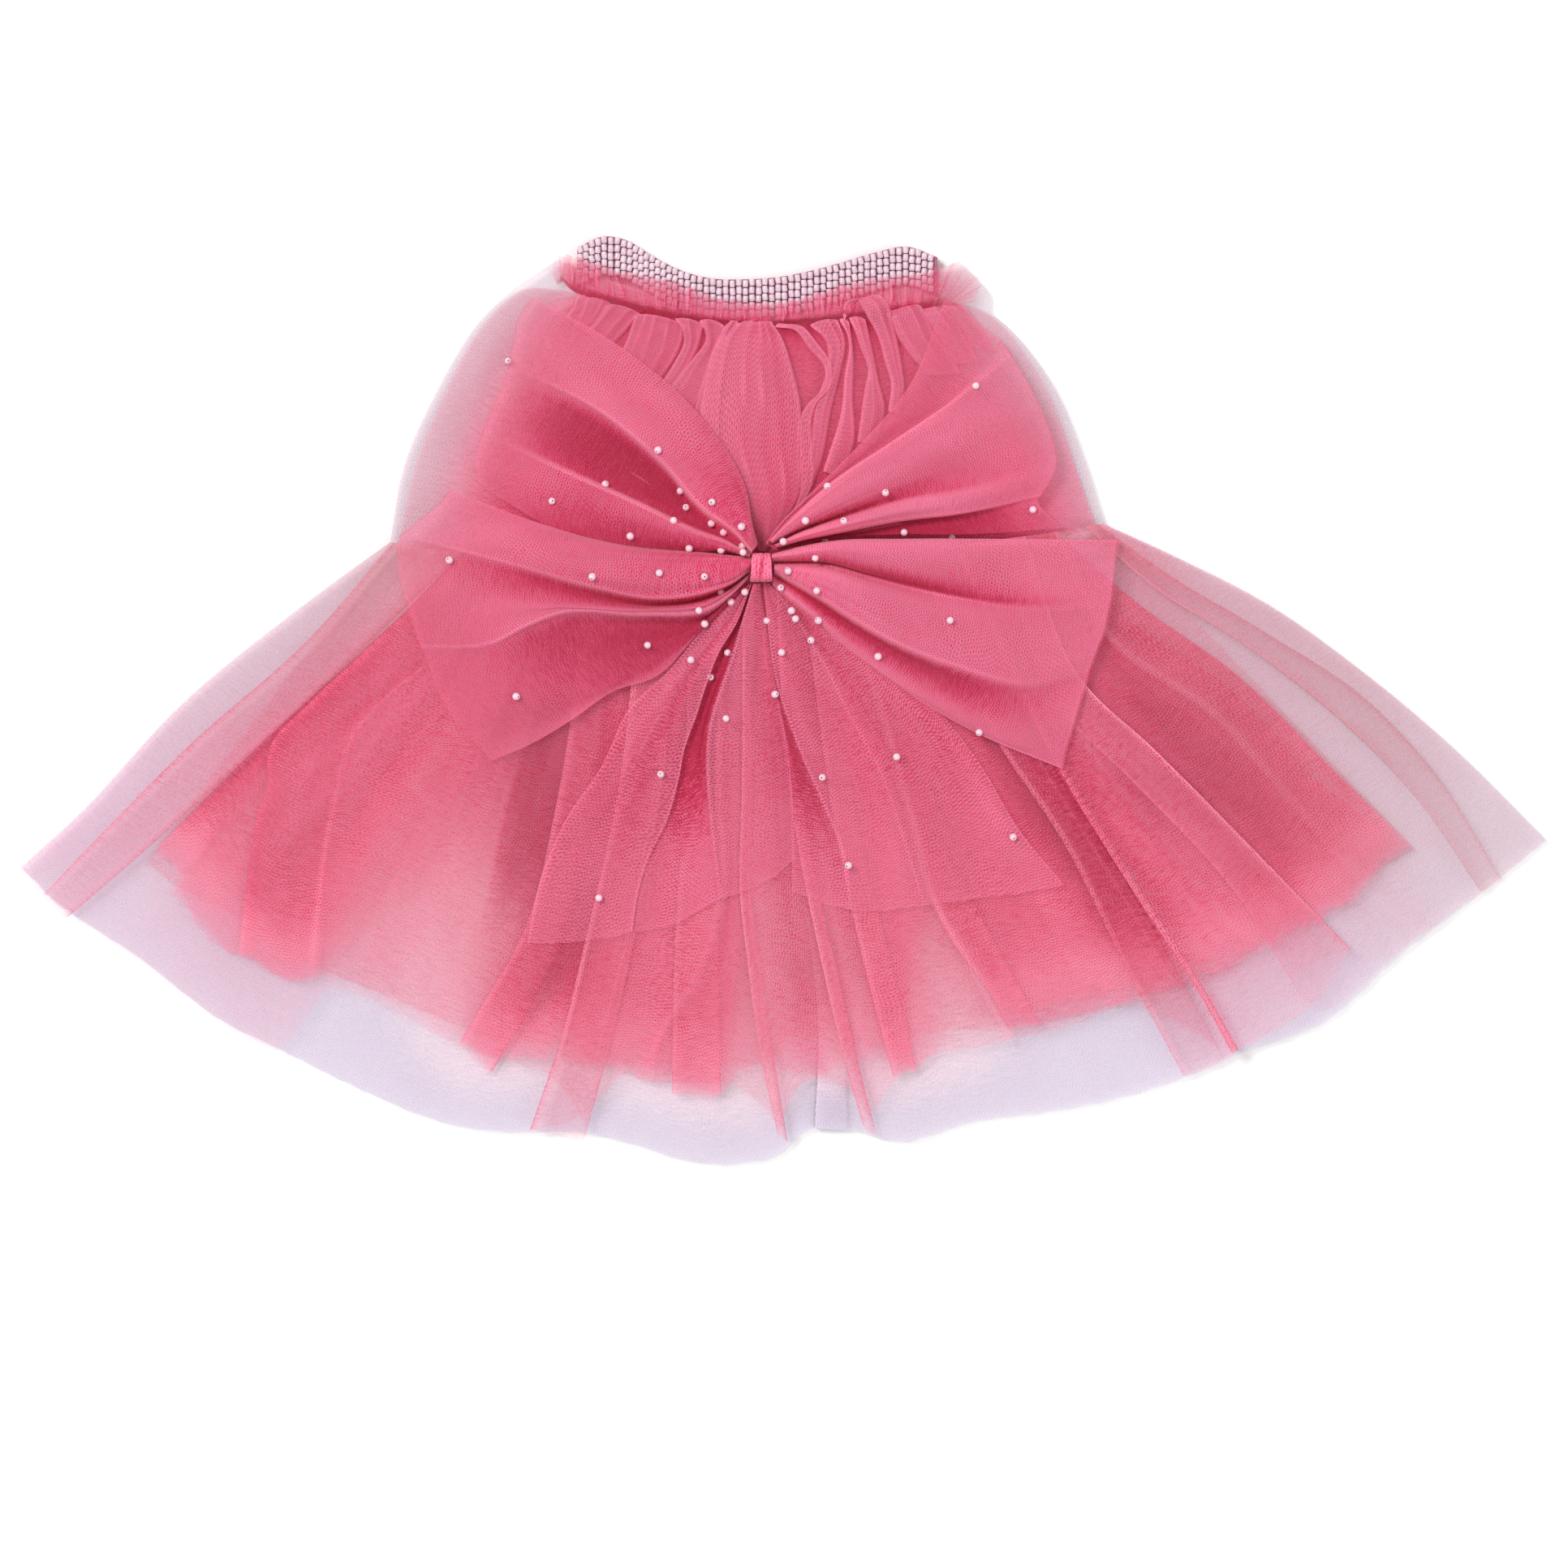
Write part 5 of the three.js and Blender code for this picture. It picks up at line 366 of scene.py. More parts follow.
LOOP_LOWER_RIGHT = [
    (2.6, 0, [(-4.5, 52, 1.5), (17.7, 56.2, 1.5), (45.6, 57.1, 1.5), (83.1, 57.1, 1.5), (121.5, 56.5, 1.1)]),
    ((2.86, 2.86, 2.86, 2.86, 2.86, 2.86), (0, 0.04, 0.07, 0.08, 0.08, 0.07), [(-4.5, 52.6, 2.66), (4.5, 54.7, 2.83), (17.7, 57.1, 2.95), (45.4, 58, 2.83), (82.8, 58, 2.37), (122.2, 57.6, 1.39)]),
    (4.49, (0.2, 0.4, 0.55, 0.6, 0.6, 0.55), [(-4.5, 52.9, 3.5), (4.5, 55.4, 3.8), (17.7, 57.8, 4), (45.6, 58.6, 3.8), (83.1, 58.6, 3), (122.7, 58.3, 1.6)]),
    ((3.07, 3.07, 3.07, 3.07, 3.07, 3.07), (0, 0.1, 0.17, 0.22, 0.26, 0.31), [(-4.4, 52.9, 4.55), (4.7, 55.1, 4.99), (17.8, 57.6, 5.47), (45.7, 58.4, 5.14), (83.1, 58.3, 3.84), (122.7, 58.1, 1.94)]),
    (2.86, (0, 0.1, 0.15, 0.2, 0.3), [(-4.2, 52.8, 6), (17.7, 57.3, 7.5), (45.6, 58, 7), (83.1, 57.9, 5), (122.7, 57.8, 2.4)]),
    (2.6, (0, 0, 0.1, 0.1, 0.2, 0.25, 0.3), [(-4.2, 51.8, 8), (17.4, 54.8, 10), (31.5, 54.1, 9.5), (46.5, 52.6, 8), (70.5, 50.9, 6), (94.5, 49.6, 4.2), (121.8, 50.9, 2.8)]),
    (2.6, (-0.2, -0.25, -0.1, 0.05, 0.15, 0.3, 0.35), [(-3.9, 51.1, 7), (17.1, 52.4, 8.5), (30.9, 49.4, 8), (46.5, 46.6, 6.5), (70.5, 43.6, 4.8), (94.5, 43.6, 3.8), (121.2, 44.9, 2.8)]),
    (3.12, (-0.4, -0.7, -0.8, -0.6, -0.25, 0.1, 0.3), [(-3.9, 50.5, 5), (17.1, 50.2, 5.5), (30.6, 46.6, 5), (45.9, 43.4, 4.5), (67.5, 39.4, 3.6), (94.5, 37.9, 3.4), (120.6, 40, 2.7)]),
    (3.38, (-0.7, -1, -1.2, -1.1, -0.75, -0.1, 0.3), [(-3.6, 50.1, 2.8), (17.4, 49.4, 2.5), (30.6, 45.8, 2.7), (45.9, 41.9, 3), (68.1, 37.4, 3.3), (95.1, 35.2, 3.3), (120.3, 37, 2.6)]),
    ((4.49, 4.49, 4.19, 3.59, 2.99, 2.99), (0.3, 0.5, 0.6, 0.5, 0.05, 0.25, 0.5), [(-3.6, 49.5, 3.5), (17.7, 48.6, 3.5), (30.6, 44.9, 3.6), (45.9, 40.8, 3.7), (68.4, 36.1, 3.6), (95.4, 32.5, 3.4), (119.7, 34, 2.6)]),
    ((2.86, 2.86, 2.83, 2.76, 2.67, 2.6, 2.6), (0.1, 0.18, 0.2, 0.18, 0.13, 0.21, 0.34), [(-3.5, 49.2, 4.76), (17.7, 47.6, 5.18), (30.5, 43.8, 4.95), (45.8, 39.8, 4.57), (68.2, 35.2, 3.92), (95.2, 31.6, 3.48), (119.5, 33.1, 2.62)]),
    (2.6, (0.1, 0.15, 0.15, 0.15, 0.2, 0.25, 0.35), [(-3.3, 48.8, 6.5), (16.2, 46.4, 8), (29.7, 42.1, 7.5), (45, 37.4, 6.8), (67.5, 31, 5.2), (95.4, 25.1, 3.9), (117.9, 25.9, 2.8)]),
    (2.6, (0, 0.05, 0.1, 0.15, 0.2, 0.25, 0.3), [(-3.3, 47.5, 7.5), (15.3, 41.9, 9), (28.5, 35.9, 8.5), (44.1, 29.2, 7.2), (66, 22.1, 5.5), (93, 16.6, 4), (115.2, 18.4, 2.8)]),
    ((2.91, 2.91, 2.88, 2.81, 2.7, 2.6, 2.6), (0.02, 0.1, 0.15, 0.18, 0.2, 0.21, 0.27), [(-3.3, 46.9, 6.34), (14.4, 38, 7.02), (27.6, 29.6, 6.78), (45.9, 19.7, 6.09), (65.4, 12.8, 5.04), (91.1, 6.8, 3.54), (112.9, 12.2, 2.54)]),
    ((4.78, 4.78, 4.49, 3.89, 2.99, 2.99), (0.3, 0.5, 0.55, 0.5, 0.4, 0.25, 0.35), [(-3.3, 46.5, 5.5), (14.1, 37, 6.5), (27.3, 28.6, 6.5), (45.6, 18.8, 6), (65.1, 11.8, 5), (90.9, 5.8, 3.5), (112.5, 11.2, 2.5)]),
    (2.86, (-0.2, -0.3, -0.3, -0.4, -0.4, -0.1, 0.1), [(-3.3, 46, 3.5), (13.8, 35.9, 3.2), (27, 27.1, 3.2), (45.6, 16.9, 3), (64.5, 9.4, 2.8), (90, 2.9, 2.6), (111.6, 8.2, 2.2)]),
    (3.12, (-0.6, -0.9, -0.9, -0.8, -0.65, -0.1, 0.2), [(-3.3, 45.4, 2), (13.8, 34.9, 1.8), (27, 25.9, 1.8), (45.9, 15.4, 1.6), (65.1, 7, 1.8), (89.1, -0.1, 2.2), (110.7, 4.6, 1.9)]),
    (2.86, (-0.3, -0.5, -0.5, -0.45, -0.45, -0.1, 0.2), [(-3.6, 44.5, 2.8), (12.9, 32.9, 2.8), (26.1, 23.6, 2.8), (46.5, 11.2, 2.4), (65.7, 1.1, 2.2), (87.3, -7.3, 2.2), (108.3, -3.1, 1.9)]),
    (2.6, (0, 0, 0, 0, 0.05, 0.15, 0.25), [(-3.6, 43.4, 4.2), (11.4, 31.3, 5), (24.3, 20.6, 4.7), (45.9, 5.8, 3.8), (66.3, -5.5, 3), (86.1, -13.9, 2.5), (105.9, -11.5, 2.1)]),
    (2.86, (0.1, 0.15, 0.15, 0.15, 0.2, 0.2, 0.2), [(-3.9, 42.1, 3.8), (10.5, 30.8, 4.4), (23.1, 19.3, 4), (48.3, 1.3, 3.2), (68.1, -9.4, 2.6), (86.7, -18.1, 2.1), (103.2, -19.9, 1.8)]),
    ((3.07, 3.07, 3.07, 3.07, 3.07, 3.07, 3.07), (0.12, 0.18, 0.2, 0.2, 0.24, 0.24, 0.24), [(-4.1, 41.5, 2.52), (10, 30.3, 2.77), (21.4, 20.1, 2.51), (32.8, 11.7, 2.3), (51.4, -1.1, 2), (70.3, -11.5, 1.7), (102.2, -24.7, 1.06)]),
    (4.49, (0.4, 0.5, 0.6, 0.6, 0.6, 0.6, 0.6), [(-4.2, 40.9, 1.6), (9.9, 29.8, 1.6), (21.3, 19.6, 1.4), (32.7, 11.2, 1.3), (51.3, -1.6, 1.2), (70.2, -12.2, 1.1), (102, -25.6, 0.9)]),
]
# The bow tails: plies, painted light and shade, and fold lines with their height above the dress.
TAIL_LEFT = [
    (1.84, 0.5, [(-12.9, 41.9, 2), (-27.3, 28.1, 2), (-42.9, 9.4, 2), (-55.8, -2.5, 1.6), (-66.9, -25.1, 1.4), (-80.4, -45.1, 1.2), (-90, -68.8, 1), (-94.2, -89.5, 0.8)]),
    ((1.04, 1.04, 1.04, 1.04, 1.04, 1.04, 1.04), (0.14, 0.14, 0.14, 0.14, 0.22, 0.34, 0.38), [(-12.8, 41.9, 2.84), (-26.4, 27.6, 2.93), (-42, 9.1, 2.99), (-54.9, -3, 2.17), (-66, -25.4, 1.91), (-79.4, -45.5, 1.56), (-89, -69.1, 1.26), (-93.2, -89.7, 1.01)]),
    (0.9, (0.1, 0.1, 0.1, 0.1, 0.2, 0.35, 0.4), [(-12.6, 41.9, 4), (-24.3, 28.1, 4.2), (-38.7, 10.7, 4.5), (-51.9, -4.3, 4), (-62.7, -26.6, 3.6), (-75.9, -47.5, 3), (-85.5, -70, 2.2), (-90.3, -90.1, 1.6)]),
    (1.1, (0, 0, -0.05, -0.1, -0.1, 0.05, 0.25, 0.3), [(-12.3, 41.9, 4), (-21.6, 28.1, 4), (-33.9, 11.8, 4), (-45.9, -6.8, 3.5), (-56.7, -28.1, 3), (-65.7, -49, 2.5), (-73.5, -70, 2), (-78, -89.5, 1.6)]),
    (1.2, (0, -0.1, -0.25, -0.4, -0.45, -0.4, -0.1, 0.2), [(-12, 41.9, 3), (-19.5, 28.1, 2.7), (-30.9, 13, 2.5), (-41.1, -7.3, 2), (-49.5, -27.1, 1.8), (-57, -48.1, 1.6), (-62.4, -69.1, 1.4), (-65.1, -88, 1.2)]),
    (1.1, (0, 0.05, 0.05, 0.05, 0.05, 0.05, 0.1, 0.1), [(-12, 41.9, 4.5), (-18, 28.1, 4.2), (-27.6, 12.4, 4), (-35.7, -6.8, 3.5), (-43.2, -28.1, 3), (-50.1, -48.1, 2.6), (-55.5, -69.1, 2), (-58.5, -86.8, 1.6)]),
    ((1.28, 1.28, 1.28, 1.28, 1.28, 1.28, 1.28, 1.28, 1.28, 1.28, 1.28), (0.02, 0.07, 0.1, 0.1, 0.1, 0.1, 0.1, 0.1, 0.1, 0.1, 0.1), [(-11.8, 41.9, 4.5), (-17.3, 28.1, 4.37), (-24.3, 16.6, 4.31), (-28.9, 5.9, 4.1), (-32.8, -6, 3.86), (-37, -17.5, 3.57), (-39.7, -30.7, 3.23), (-43.9, -45.1, 2.86), (-50.5, -58.6, 2.44), (-54.3, -72, 1.97), (-56.4, -85.8, 1.67)]),
    (2.3, (0.3, 0.4, 0.5, 0.5, 0.5, 0.5, 0.5, 0.5, 0.4, 0.3, 0.3), [(-11.7, 41.9, 4.5), (-16.8, 28.1, 4.5), (-23.7, 16.6, 4.5), (-27.9, 5.8, 4.3), (-31.8, -6.1, 4), (-36, -17.6, 3.7), (-38.7, -30.8, 3.3), (-42.9, -45.1, 2.9), (-49.5, -58.3, 2.5), (-53.4, -71.5, 2), (-55.5, -85.3, 1.7)]),
    ((3, 3, 3, 3, 2.6, 2, 1.5, 1.2), (-0.5, -0.9, -1, -1, -1, -0.9, -0.7, -0.4, -0.1, 0, 0), [(-11.7, 41.9, 2), (-17.4, 27.4, 2), (-24.3, 16.1, 2), (-28.5, 5.2, 1.9), (-32.4, -6.8, 1.8), (-36.6, -18.1, 1.6), (-39.3, -31.3, 1.5), (-43.5, -45.8, 1.4), (-50.1, -58.9, 1.2), (-54, -71.8, 1.1), (-56.1, -85.6, 1)]),
    ((3, 4, 4, 4, 3.6, 2.6, 1.8, 1.2), (-0.5, -1, -1.3, -1.4, -1.4, -1.2, -0.9, -0.5, -0.2, 0, 0), [(-11.4, 41.9, 1.2), (-16.8, 25.9, 1.1), (-21.3, 13.9, 1), (-26.1, 2.9, 1), (-29.7, -8.5, 0.9), (-31.8, -20.6, 0.8), (-32.7, -34, 0.8), (-33.9, -47.5, 0.8), (-35.7, -59.5, 0.7), (-38.1, -71.5, 0.7), (-40.5, -83, 0.6)]),
    ((3, 3.4, 3.4, 3, 2.4, 1.8, 1.3), (-0.5, -0.9, -1.1, -1.1, -1, -0.8, -0.5, -0.3, -0.1, 0), [(-11.1, 41.9, 2.5), (-15.9, 25.9, 2.5), (-19.2, 16.1, 2.4), (-22.2, 7.6, 2.3), (-25.5, -1.9, 2.2), (-27.6, -10, 2), (-28.5, -20.6, 1.8), (-27.9, -36.8, 1.6), (-26.1, -55, 1.3), (-24, -74, 1)]),
    (2.18, (0.3, 0.4, 0.5, 0.5, 0.5, 0.5, 0.5, 0.5, 0.4, 0.3), [(-10.8, 42.1, 5), (-15.3, 26.8, 5.2), (-18.3, 16.1, 5.4), (-21.3, 7, 5.4), (-24.6, -2.5, 5.2), (-26.7, -10.7, 4.8), (-27.6, -21.1, 4.4), (-27, -37.4, 3.7), (-25.2, -55.6, 3), (-23.1, -73.6, 2)]),
    ((1.18, 1.18, 1.18, 1.18, 1.18, 1.18, 1.18, 1.18, 1.18, 1.18), (0.02, 0.1, 0.16, 0.19, 0.22, 0.22, 0.19, 0.16, 0.12, 0.1), [(-10.5, 42.1, 5.42), (-14.5, 26.9, 5.64), (-17.3, 16.1, 5.7), (-20.3, 7.1, 5.59), (-23.6, -2.5, 5.34), (-25.7, -10.6, 4.94), (-26.6, -21.1, 4.54), (-26, -37.2, 3.83), (-24.2, -55.4, 3.07), (-22.1, -73.4, 2.03)]),
    (1, (0, 0.1, 0.15, 0.2, 0.2, 0.15, 0.1, 0.1), [(-10.2, 42.1, 6), (-13.8, 24.4, 6.3), (-16.5, 9.4, 6.3), (-18.6, -5.5, 6), (-19.8, -20.6, 5.5), (-19.8, -37, 4.6), (-18.6, -55, 3.4), (-17.1, -71.8, 2.2)]),
    (1, (0, 0.1, 0.15, 0.2, 0.15, 0.1, 0.1), [(-9.3, 42.1, 5.5), (-11.1, 21.4, 5.5), (-11.7, 3.4, 5.3), (-11.7, -13, 5), (-11.1, -29.5, 4.4), (-10.2, -47.5, 3.4), (-9.3, -68.5, 1.8)]),
    (1.2, (-0.1, -0.1, -0.25, -0.4, -0.3, -0.1, 0), [(-8.7, 42.1, 4), (-7.5, 19.9, 4), (-5.7, 1.9, 3.8), (-4.2, -13, 3.5), (-2.7, -29.5, 3), (-2.1, -47.5, 2.4), (-3, -65, 1.5)]),
    ((1.3, 1.3, 1.3, 1.3, 1.3, 1.3, 1.3), (-0.02, -0.02, -0.14, -0.26, -0.18, -0.02, 0.06), [(-8.5, 42.1, 3.13), (-6.3, 20.6, 3.13), (-4.1, 8.3, 2.82), (-2.6, -1.4, 2.56), (0.7, -17.5, 2.21), (2.8, -39.5, 1.73), (3.4, -59.9, 1.06)]),
    (1.95, 0.5, [(-8.4, 42.1, 2.5), (-5.4, 21.1, 2.5), (-3.3, 8.8, 2.4), (-1.8, -0.8, 2.2), (1.5, -16.9, 2), (3.6, -38.9, 1.6), (4.2, -59.2, 1)]),
]
TAIL_RIGHT = [
    (1.4, (0, -0.1, -0.3, -0.2, 0), [(-8.1, 42.4, 2), (-3.6, 10, 2), (0.3, -19.1, 1.6), (3, -50.5, 1.2), (3.3, -70.6, 0.8)]),
    (1.6, (-0.3, -0.7, -0.9, -0.6, 0), [(-7.8, 42.4, 2), (-3, 8.8, 1.8), (2.1, -16.9, 1.5), (8.4, -44.5, 1.2), (13.5, -74.8, 0.9)]),
    (1.6, (-0.3, -0.8, -1.1, -0.9, -0.5, 0), [(-7.5, 42.4, 2), (-2.7, 4.6, 1.8), (3.3, -15.4, 1.5), (12, -36.8, 1.3), (20.4, -58.3, 1.2), (22.8, -77.2, 1)]),
    ((1.68, 1.68, 1.68, 1.68, 1.68, 1.68), (-0.22, -0.58, -0.81, -0.65, -0.33, 0.03), [(-7.3, 42.4, 3.45), (-2.4, 5.4, 3.37), (3.8, -14.2, 2.96), (12.3, -34.6, 2.53), (20.6, -55.2, 2.03), (24, -77.6, 1.35)]),
    (2.3, (0.3, 0.5, 0.55, 0.55, 0.55, 0.35), [(-7.2, 42.4, 4.5), (-2.1, 5.2, 4.5), (4.5, -14.2, 4), (13.2, -34.6, 3.4), (21.6, -55.4, 2.6), (24.9, -77.8, 1.6)]),
    ((1.12, 1.12, 1.12, 1.12, 1.12, 1.12), (0.02, 0.1, 0.15, 0.15, 0.15, 0.11), [(-6.9, 42.4, 4.71), (-1.1, 5.3, 4.58), (5.5, -14.2, 4.09), (14.2, -34.6, 3.47), (22.6, -55.3, 2.65), (25.9, -77.9, 1.62)]),
    (0.9, (0, 0.05, 0.1, 0.1, 0.1, 0.1), [(-6.6, 42.4, 5), (0.3, 12.4, 5), (9.3, -11.5, 4.6), (20.1, -32.5, 4), (29.1, -54.1, 3), (33.3, -78.1, 1.8)]),
    (1, (0, -0.15, -0.2, -0.1, 0.1, 0.3), [(-6, 42.4, 4), (2.7, 18.4, 4.5), (15.9, -7.9, 4), (28.5, -30.1, 3.4), (37.5, -52.4, 2.6), (42.9, -77.2, 1.5)]),
    ((1.08, 1.08, 1.08, 1.08, 1.08, 1.08, 1.08), (0.02, -0.05, -0.09, -0.1, -0.03, 0.14, 0.3), [(-5.8, 42.4, 4.87), (1.8, 32.4, 5.64), (12, 16.2, 5.63), (23.3, -5.9, 4.17), (35.3, -28.6, 3.22), (43.1, -50.7, 2.43), (50.9, -76.2, 1.41)]),
    (1.61, (0.3, 0.45, 0.5, 0.3, 0.2, 0.35, 0.5), [(-5.7, 42.4, 5.5), (2.7, 32.9, 6), (12.9, 16.6, 5.8), (24.3, -5.5, 4.2), (36.3, -28.3, 3.2), (44.1, -50.5, 2.4), (51.9, -76, 1.4)]),
    ((1.08, 1.08, 1.08, 1.08, 1.08, 1.08, 1.08), (-0.14, -0.23, -0.18, -0.1, -0.04, 0.15, 0.3), [(-5.6, 42.4, 4.45), (3.2, 33.1, 4.74), (13.9, 17, 4.86), (25.3, -5.3, 3.9), (37.3, -28.1, 3.05), (45.1, -50.4, 2.33), (52.9, -75.9, 1.38)]),
    (1, (-0.2, -0.35, -0.3, -0.15, -0.05, 0.15, 0.3), [(-5.4, 42.4, 3), (4.5, 32.9, 3), (15.9, 17.8, 2.8), (29.7, -4.3, 2.6), (42.9, -26.6, 2.2), (52.5, -49.4, 1.8), (60.3, -75.1, 1.2)]),
    (1, (0, 0.1, 0.1, 0.05, 0.05, 0.1, 0.1), [(-4.5, 42.8, 4), (8.1, 31.6, 4.5), (22.5, 17.8, 4.3), (39.9, -1.9, 3.5), (54.3, -25.3, 2.8), (64.5, -47.5, 2.2), (72.9, -73.3, 1.3)]),
    (1, (0, 0.05, 0, -0.1, 0, 0.1, 0.15), [(-3.9, 42.8, 4.5), (10.5, 32.2, 5), (26.7, 18.4, 4.8), (47.1, -0.8, 4), (64.5, -24.8, 3.3), (75.9, -45.1, 2.6), (87.9, -71.5, 1.4)]),
    ((1.1, 1.1, 1.1, 1.1, 1.1, 1.1, 1.1), (0.02, 0.06, 0.02, -0.08, 0.02, 0.13, 0.16), [(-3.6, 42.9, 3.34), (12.1, 33.5, 3.33), (32.3, 16.9, 2.97), (54.5, -2.8, 2.31), (70.7, -23.1, 1.91), (86.3, -48.8, 1.6), (102.5, -68.7, 0.84)]),
    (1.72, (0.3, 0.3, 0.3, 0.2, 0.3, 0.45, 0.4), [(-3.3, 43, 2.5), (12.9, 34, 2.5), (33.3, 17.2, 2.4), (55.5, -2.5, 2), (71.7, -22.9, 1.7), (87.3, -48.8, 1.5), (103.5, -68.5, 0.8)]),
]
# The yoke's gathered lobes: height, plies, left edge and right edge, from the neck down.
LOBES = [
    (0.8, 1.6, [(-75.9, 149.8), (-77.7, 145), (-80.1, 140.8)], [(-70.5, 148.7), (-72.9, 143.2), (-76.5, 137.8)]),
    (1.2, 1.6, [(-72.9, 149.2), (-74.4, 143.2), (-77.1, 137.8)], [(-62.7, 146.2), (-66.3, 140.2), (-71.1, 134.2)]),
    (1.8, 1.7, [(-65.1, 146.8), (-69.6, 139.3), (-72.9, 135.4)], [(-51.9, 142.7), (-57.9, 136), (-65.1, 128.2)]),
    (2.4, 1.7, [(-54.6, 143.2), (-56.4, 136), (-60.9, 124.6)], [(-35.7, 139), (-38.1, 129.4), (-47.7, 114.5)]),
    (3, 1.7, [(-39.9, 141.4), (-36.6, 132.4), (-40.5, 123.4), (-47.1, 113.2)], [(-29.1, 139), (-31.5, 129.4), (-35.7, 121), (-44.1, 110.2)]),
    (3.4, 1.7, [(-30.9, 140.8), (-28.5, 133), (-35.4, 123.4), (-44.1, 111.5)], [(-21.9, 139), (-24.3, 127.6), (-29.1, 114.5), (-35.7, 101.8)]),
    (3.9, 1.8, [(-19.5, 140.8), (-24, 133.7), (-27.6, 124.9), (-31.5, 111.5), (-34.5, 101.2)], [(-15.9, 139), (-19.8, 130.9), (-22.5, 118.9), (-23.7, 102.5), (-23.7, 88.6)]),
    (4.8, 2, [(-17.4, 139.3), (-23.7, 133.3), (-27.3, 125.2), (-29.7, 113.5), (-30.9, 100), (-24.3, 80.8), (-15, 65), (-9, 54.4)], [(-4.5, 140.8), (-0.6, 133.7), (3.6, 120.8), (6.3, 108.5), (6.3, 91), (5.7, 74), (-0.9, 62.8), (-6.3, 54.4)]),
    (4.4, 1.8, [(-3, 137.8), (3.9, 136.3), (9.3, 129.4), (15.3, 121.6), (15, 115.3), (8.7, 108.1), (6.3, 104.2), (5.7, 89), (5.1, 73), (-0.9, 62.8)], [(-0.9, 139), (6.3, 137.8), (12.6, 131.2), (17.7, 123.4), (17.7, 115), (12.3, 108.5), (10.8, 104.2), (11.1, 91.6), (11.7, 81.5), (3, 64)]),
    (2.6, 1.6, [(9.9, 139), (15.9, 131.2), (15.9, 121), (11.7, 108.5), (9.9, 93.5), (5.7, 69.5)], [(20.1, 140.8), (23.1, 131.2), (21.3, 121.6), (17.7, 107.2), (14.1, 87.5), (7.5, 70)]),
    (4.8, 1.9, [(20.7, 140.8), (24, 132.8), (22.5, 118), (21.6, 107.5), (14.7, 83.8)], [(24.3, 139.7), (25.8, 127.6), (25.5, 111.5), (26.1, 94.6), (21.9, 80.8)]),
    (4, 1.8, [(24.3, 141.4), (28.5, 129.4), (31.2, 121.3), (30, 113.8), (27.3, 94.6)], [(30.3, 140.8), (32.7, 129.4), (35.1, 117.4), (37.5, 106), (34.5, 94)]),
    (5.6, 2, [(22.5, 140.8), (21.9, 144.8), (25.2, 147.4), (32.1, 139), (34.8, 133.7), (37.5, 124), (39.6, 116.8), (38.7, 106)], [(29.1, 149.5), (35.7, 148.7), (39, 145), (40.5, 138.4), (42, 131.8), (43.8, 122.2), (44.7, 113.2), (42.9, 104.8)]),
    (3.8, 1.9, [(38.1, 143.2), (41.4, 134.8), (47.1, 126.4), (53.7, 119.2)], [(48.6, 148), (52.2, 142.9), (55.8, 135.2), (60.6, 128.2), (65.7, 119.8)]),
    (2.8, 1.8, [(50.1, 144.4), (54.3, 137.2), (58.5, 130.7), (63.3, 123.4)], [(58.8, 145), (64.5, 138.4), (67.8, 132.4), (72.3, 124.6)]),
    (1.8, 1.6, [(57.3, 146.2), (63.9, 138.4), (68.7, 130)], [(66.3, 146.2), (71.7, 138.4), (77.7, 128.2)]),
]
# Where the pearls are sewn on.
PEARLS = [
    (-101.4, 124.6), (70.8, 115), (-45.9, 91), (-65.4, 78.8), (-37.8, 76.3), (-35.7, 70.3), (-26.1, 71.8), (-40.2, 65.2),
    (-26.4, 64.3), (-21.9, 61), (-15.3, 62.8), (-84.9, 72.5), (-56.1, 59.5), (-34.5, 55), (-22.8, 54.4), (-15, 55.9),
    (-14.7, 53.5), (16.2, 77.8), (37.5, 75.5), (91.8, 69.5), (8.1, 65), (22.2, 65), (0, 57.4), (15.3, 57.8),
    (44.4, 61), (62.1, 59.2), (11.7, 51.4), (1.8, 46.6), (-0.9, 40.6), (12.3, 39.4), (-122.7, 50.9), (-69.9, 44.5),
    (-45.3, 45.8), (-28.8, 44.5), (-22.8, 39.1), (-14.1, 39.1), (-19.2, 35.5), (-30.9, 32.2), (-28.8, 27.4), (-6, 28.6),
    (3, 32.2), (4.5, 29.2), (12.9, 28.6), (61.2, 28.6), (-49.8, 19.6), (-33.9, 14.2), (-20.4, 16.9), (-0.6, 16.9),
    (10.2, 21.4), (34.8, 15.4), (-26.7, 7.9), (-3, 1.6), (-98.1, 0.8), (-21, -7.3), (-45, -27.8), (41.7, -21.4),
    (72, -12.4), (14.4, -28.9), (-67.8, -73.3), (24, -61.3), (84.6, -50.9),
]


# ---- curves and surfaces -----------------------------------------------------------------------------------
def smooth(t):
    t = np.clip(t, 0, 1)
    return t * t * (3 - 2 * t)


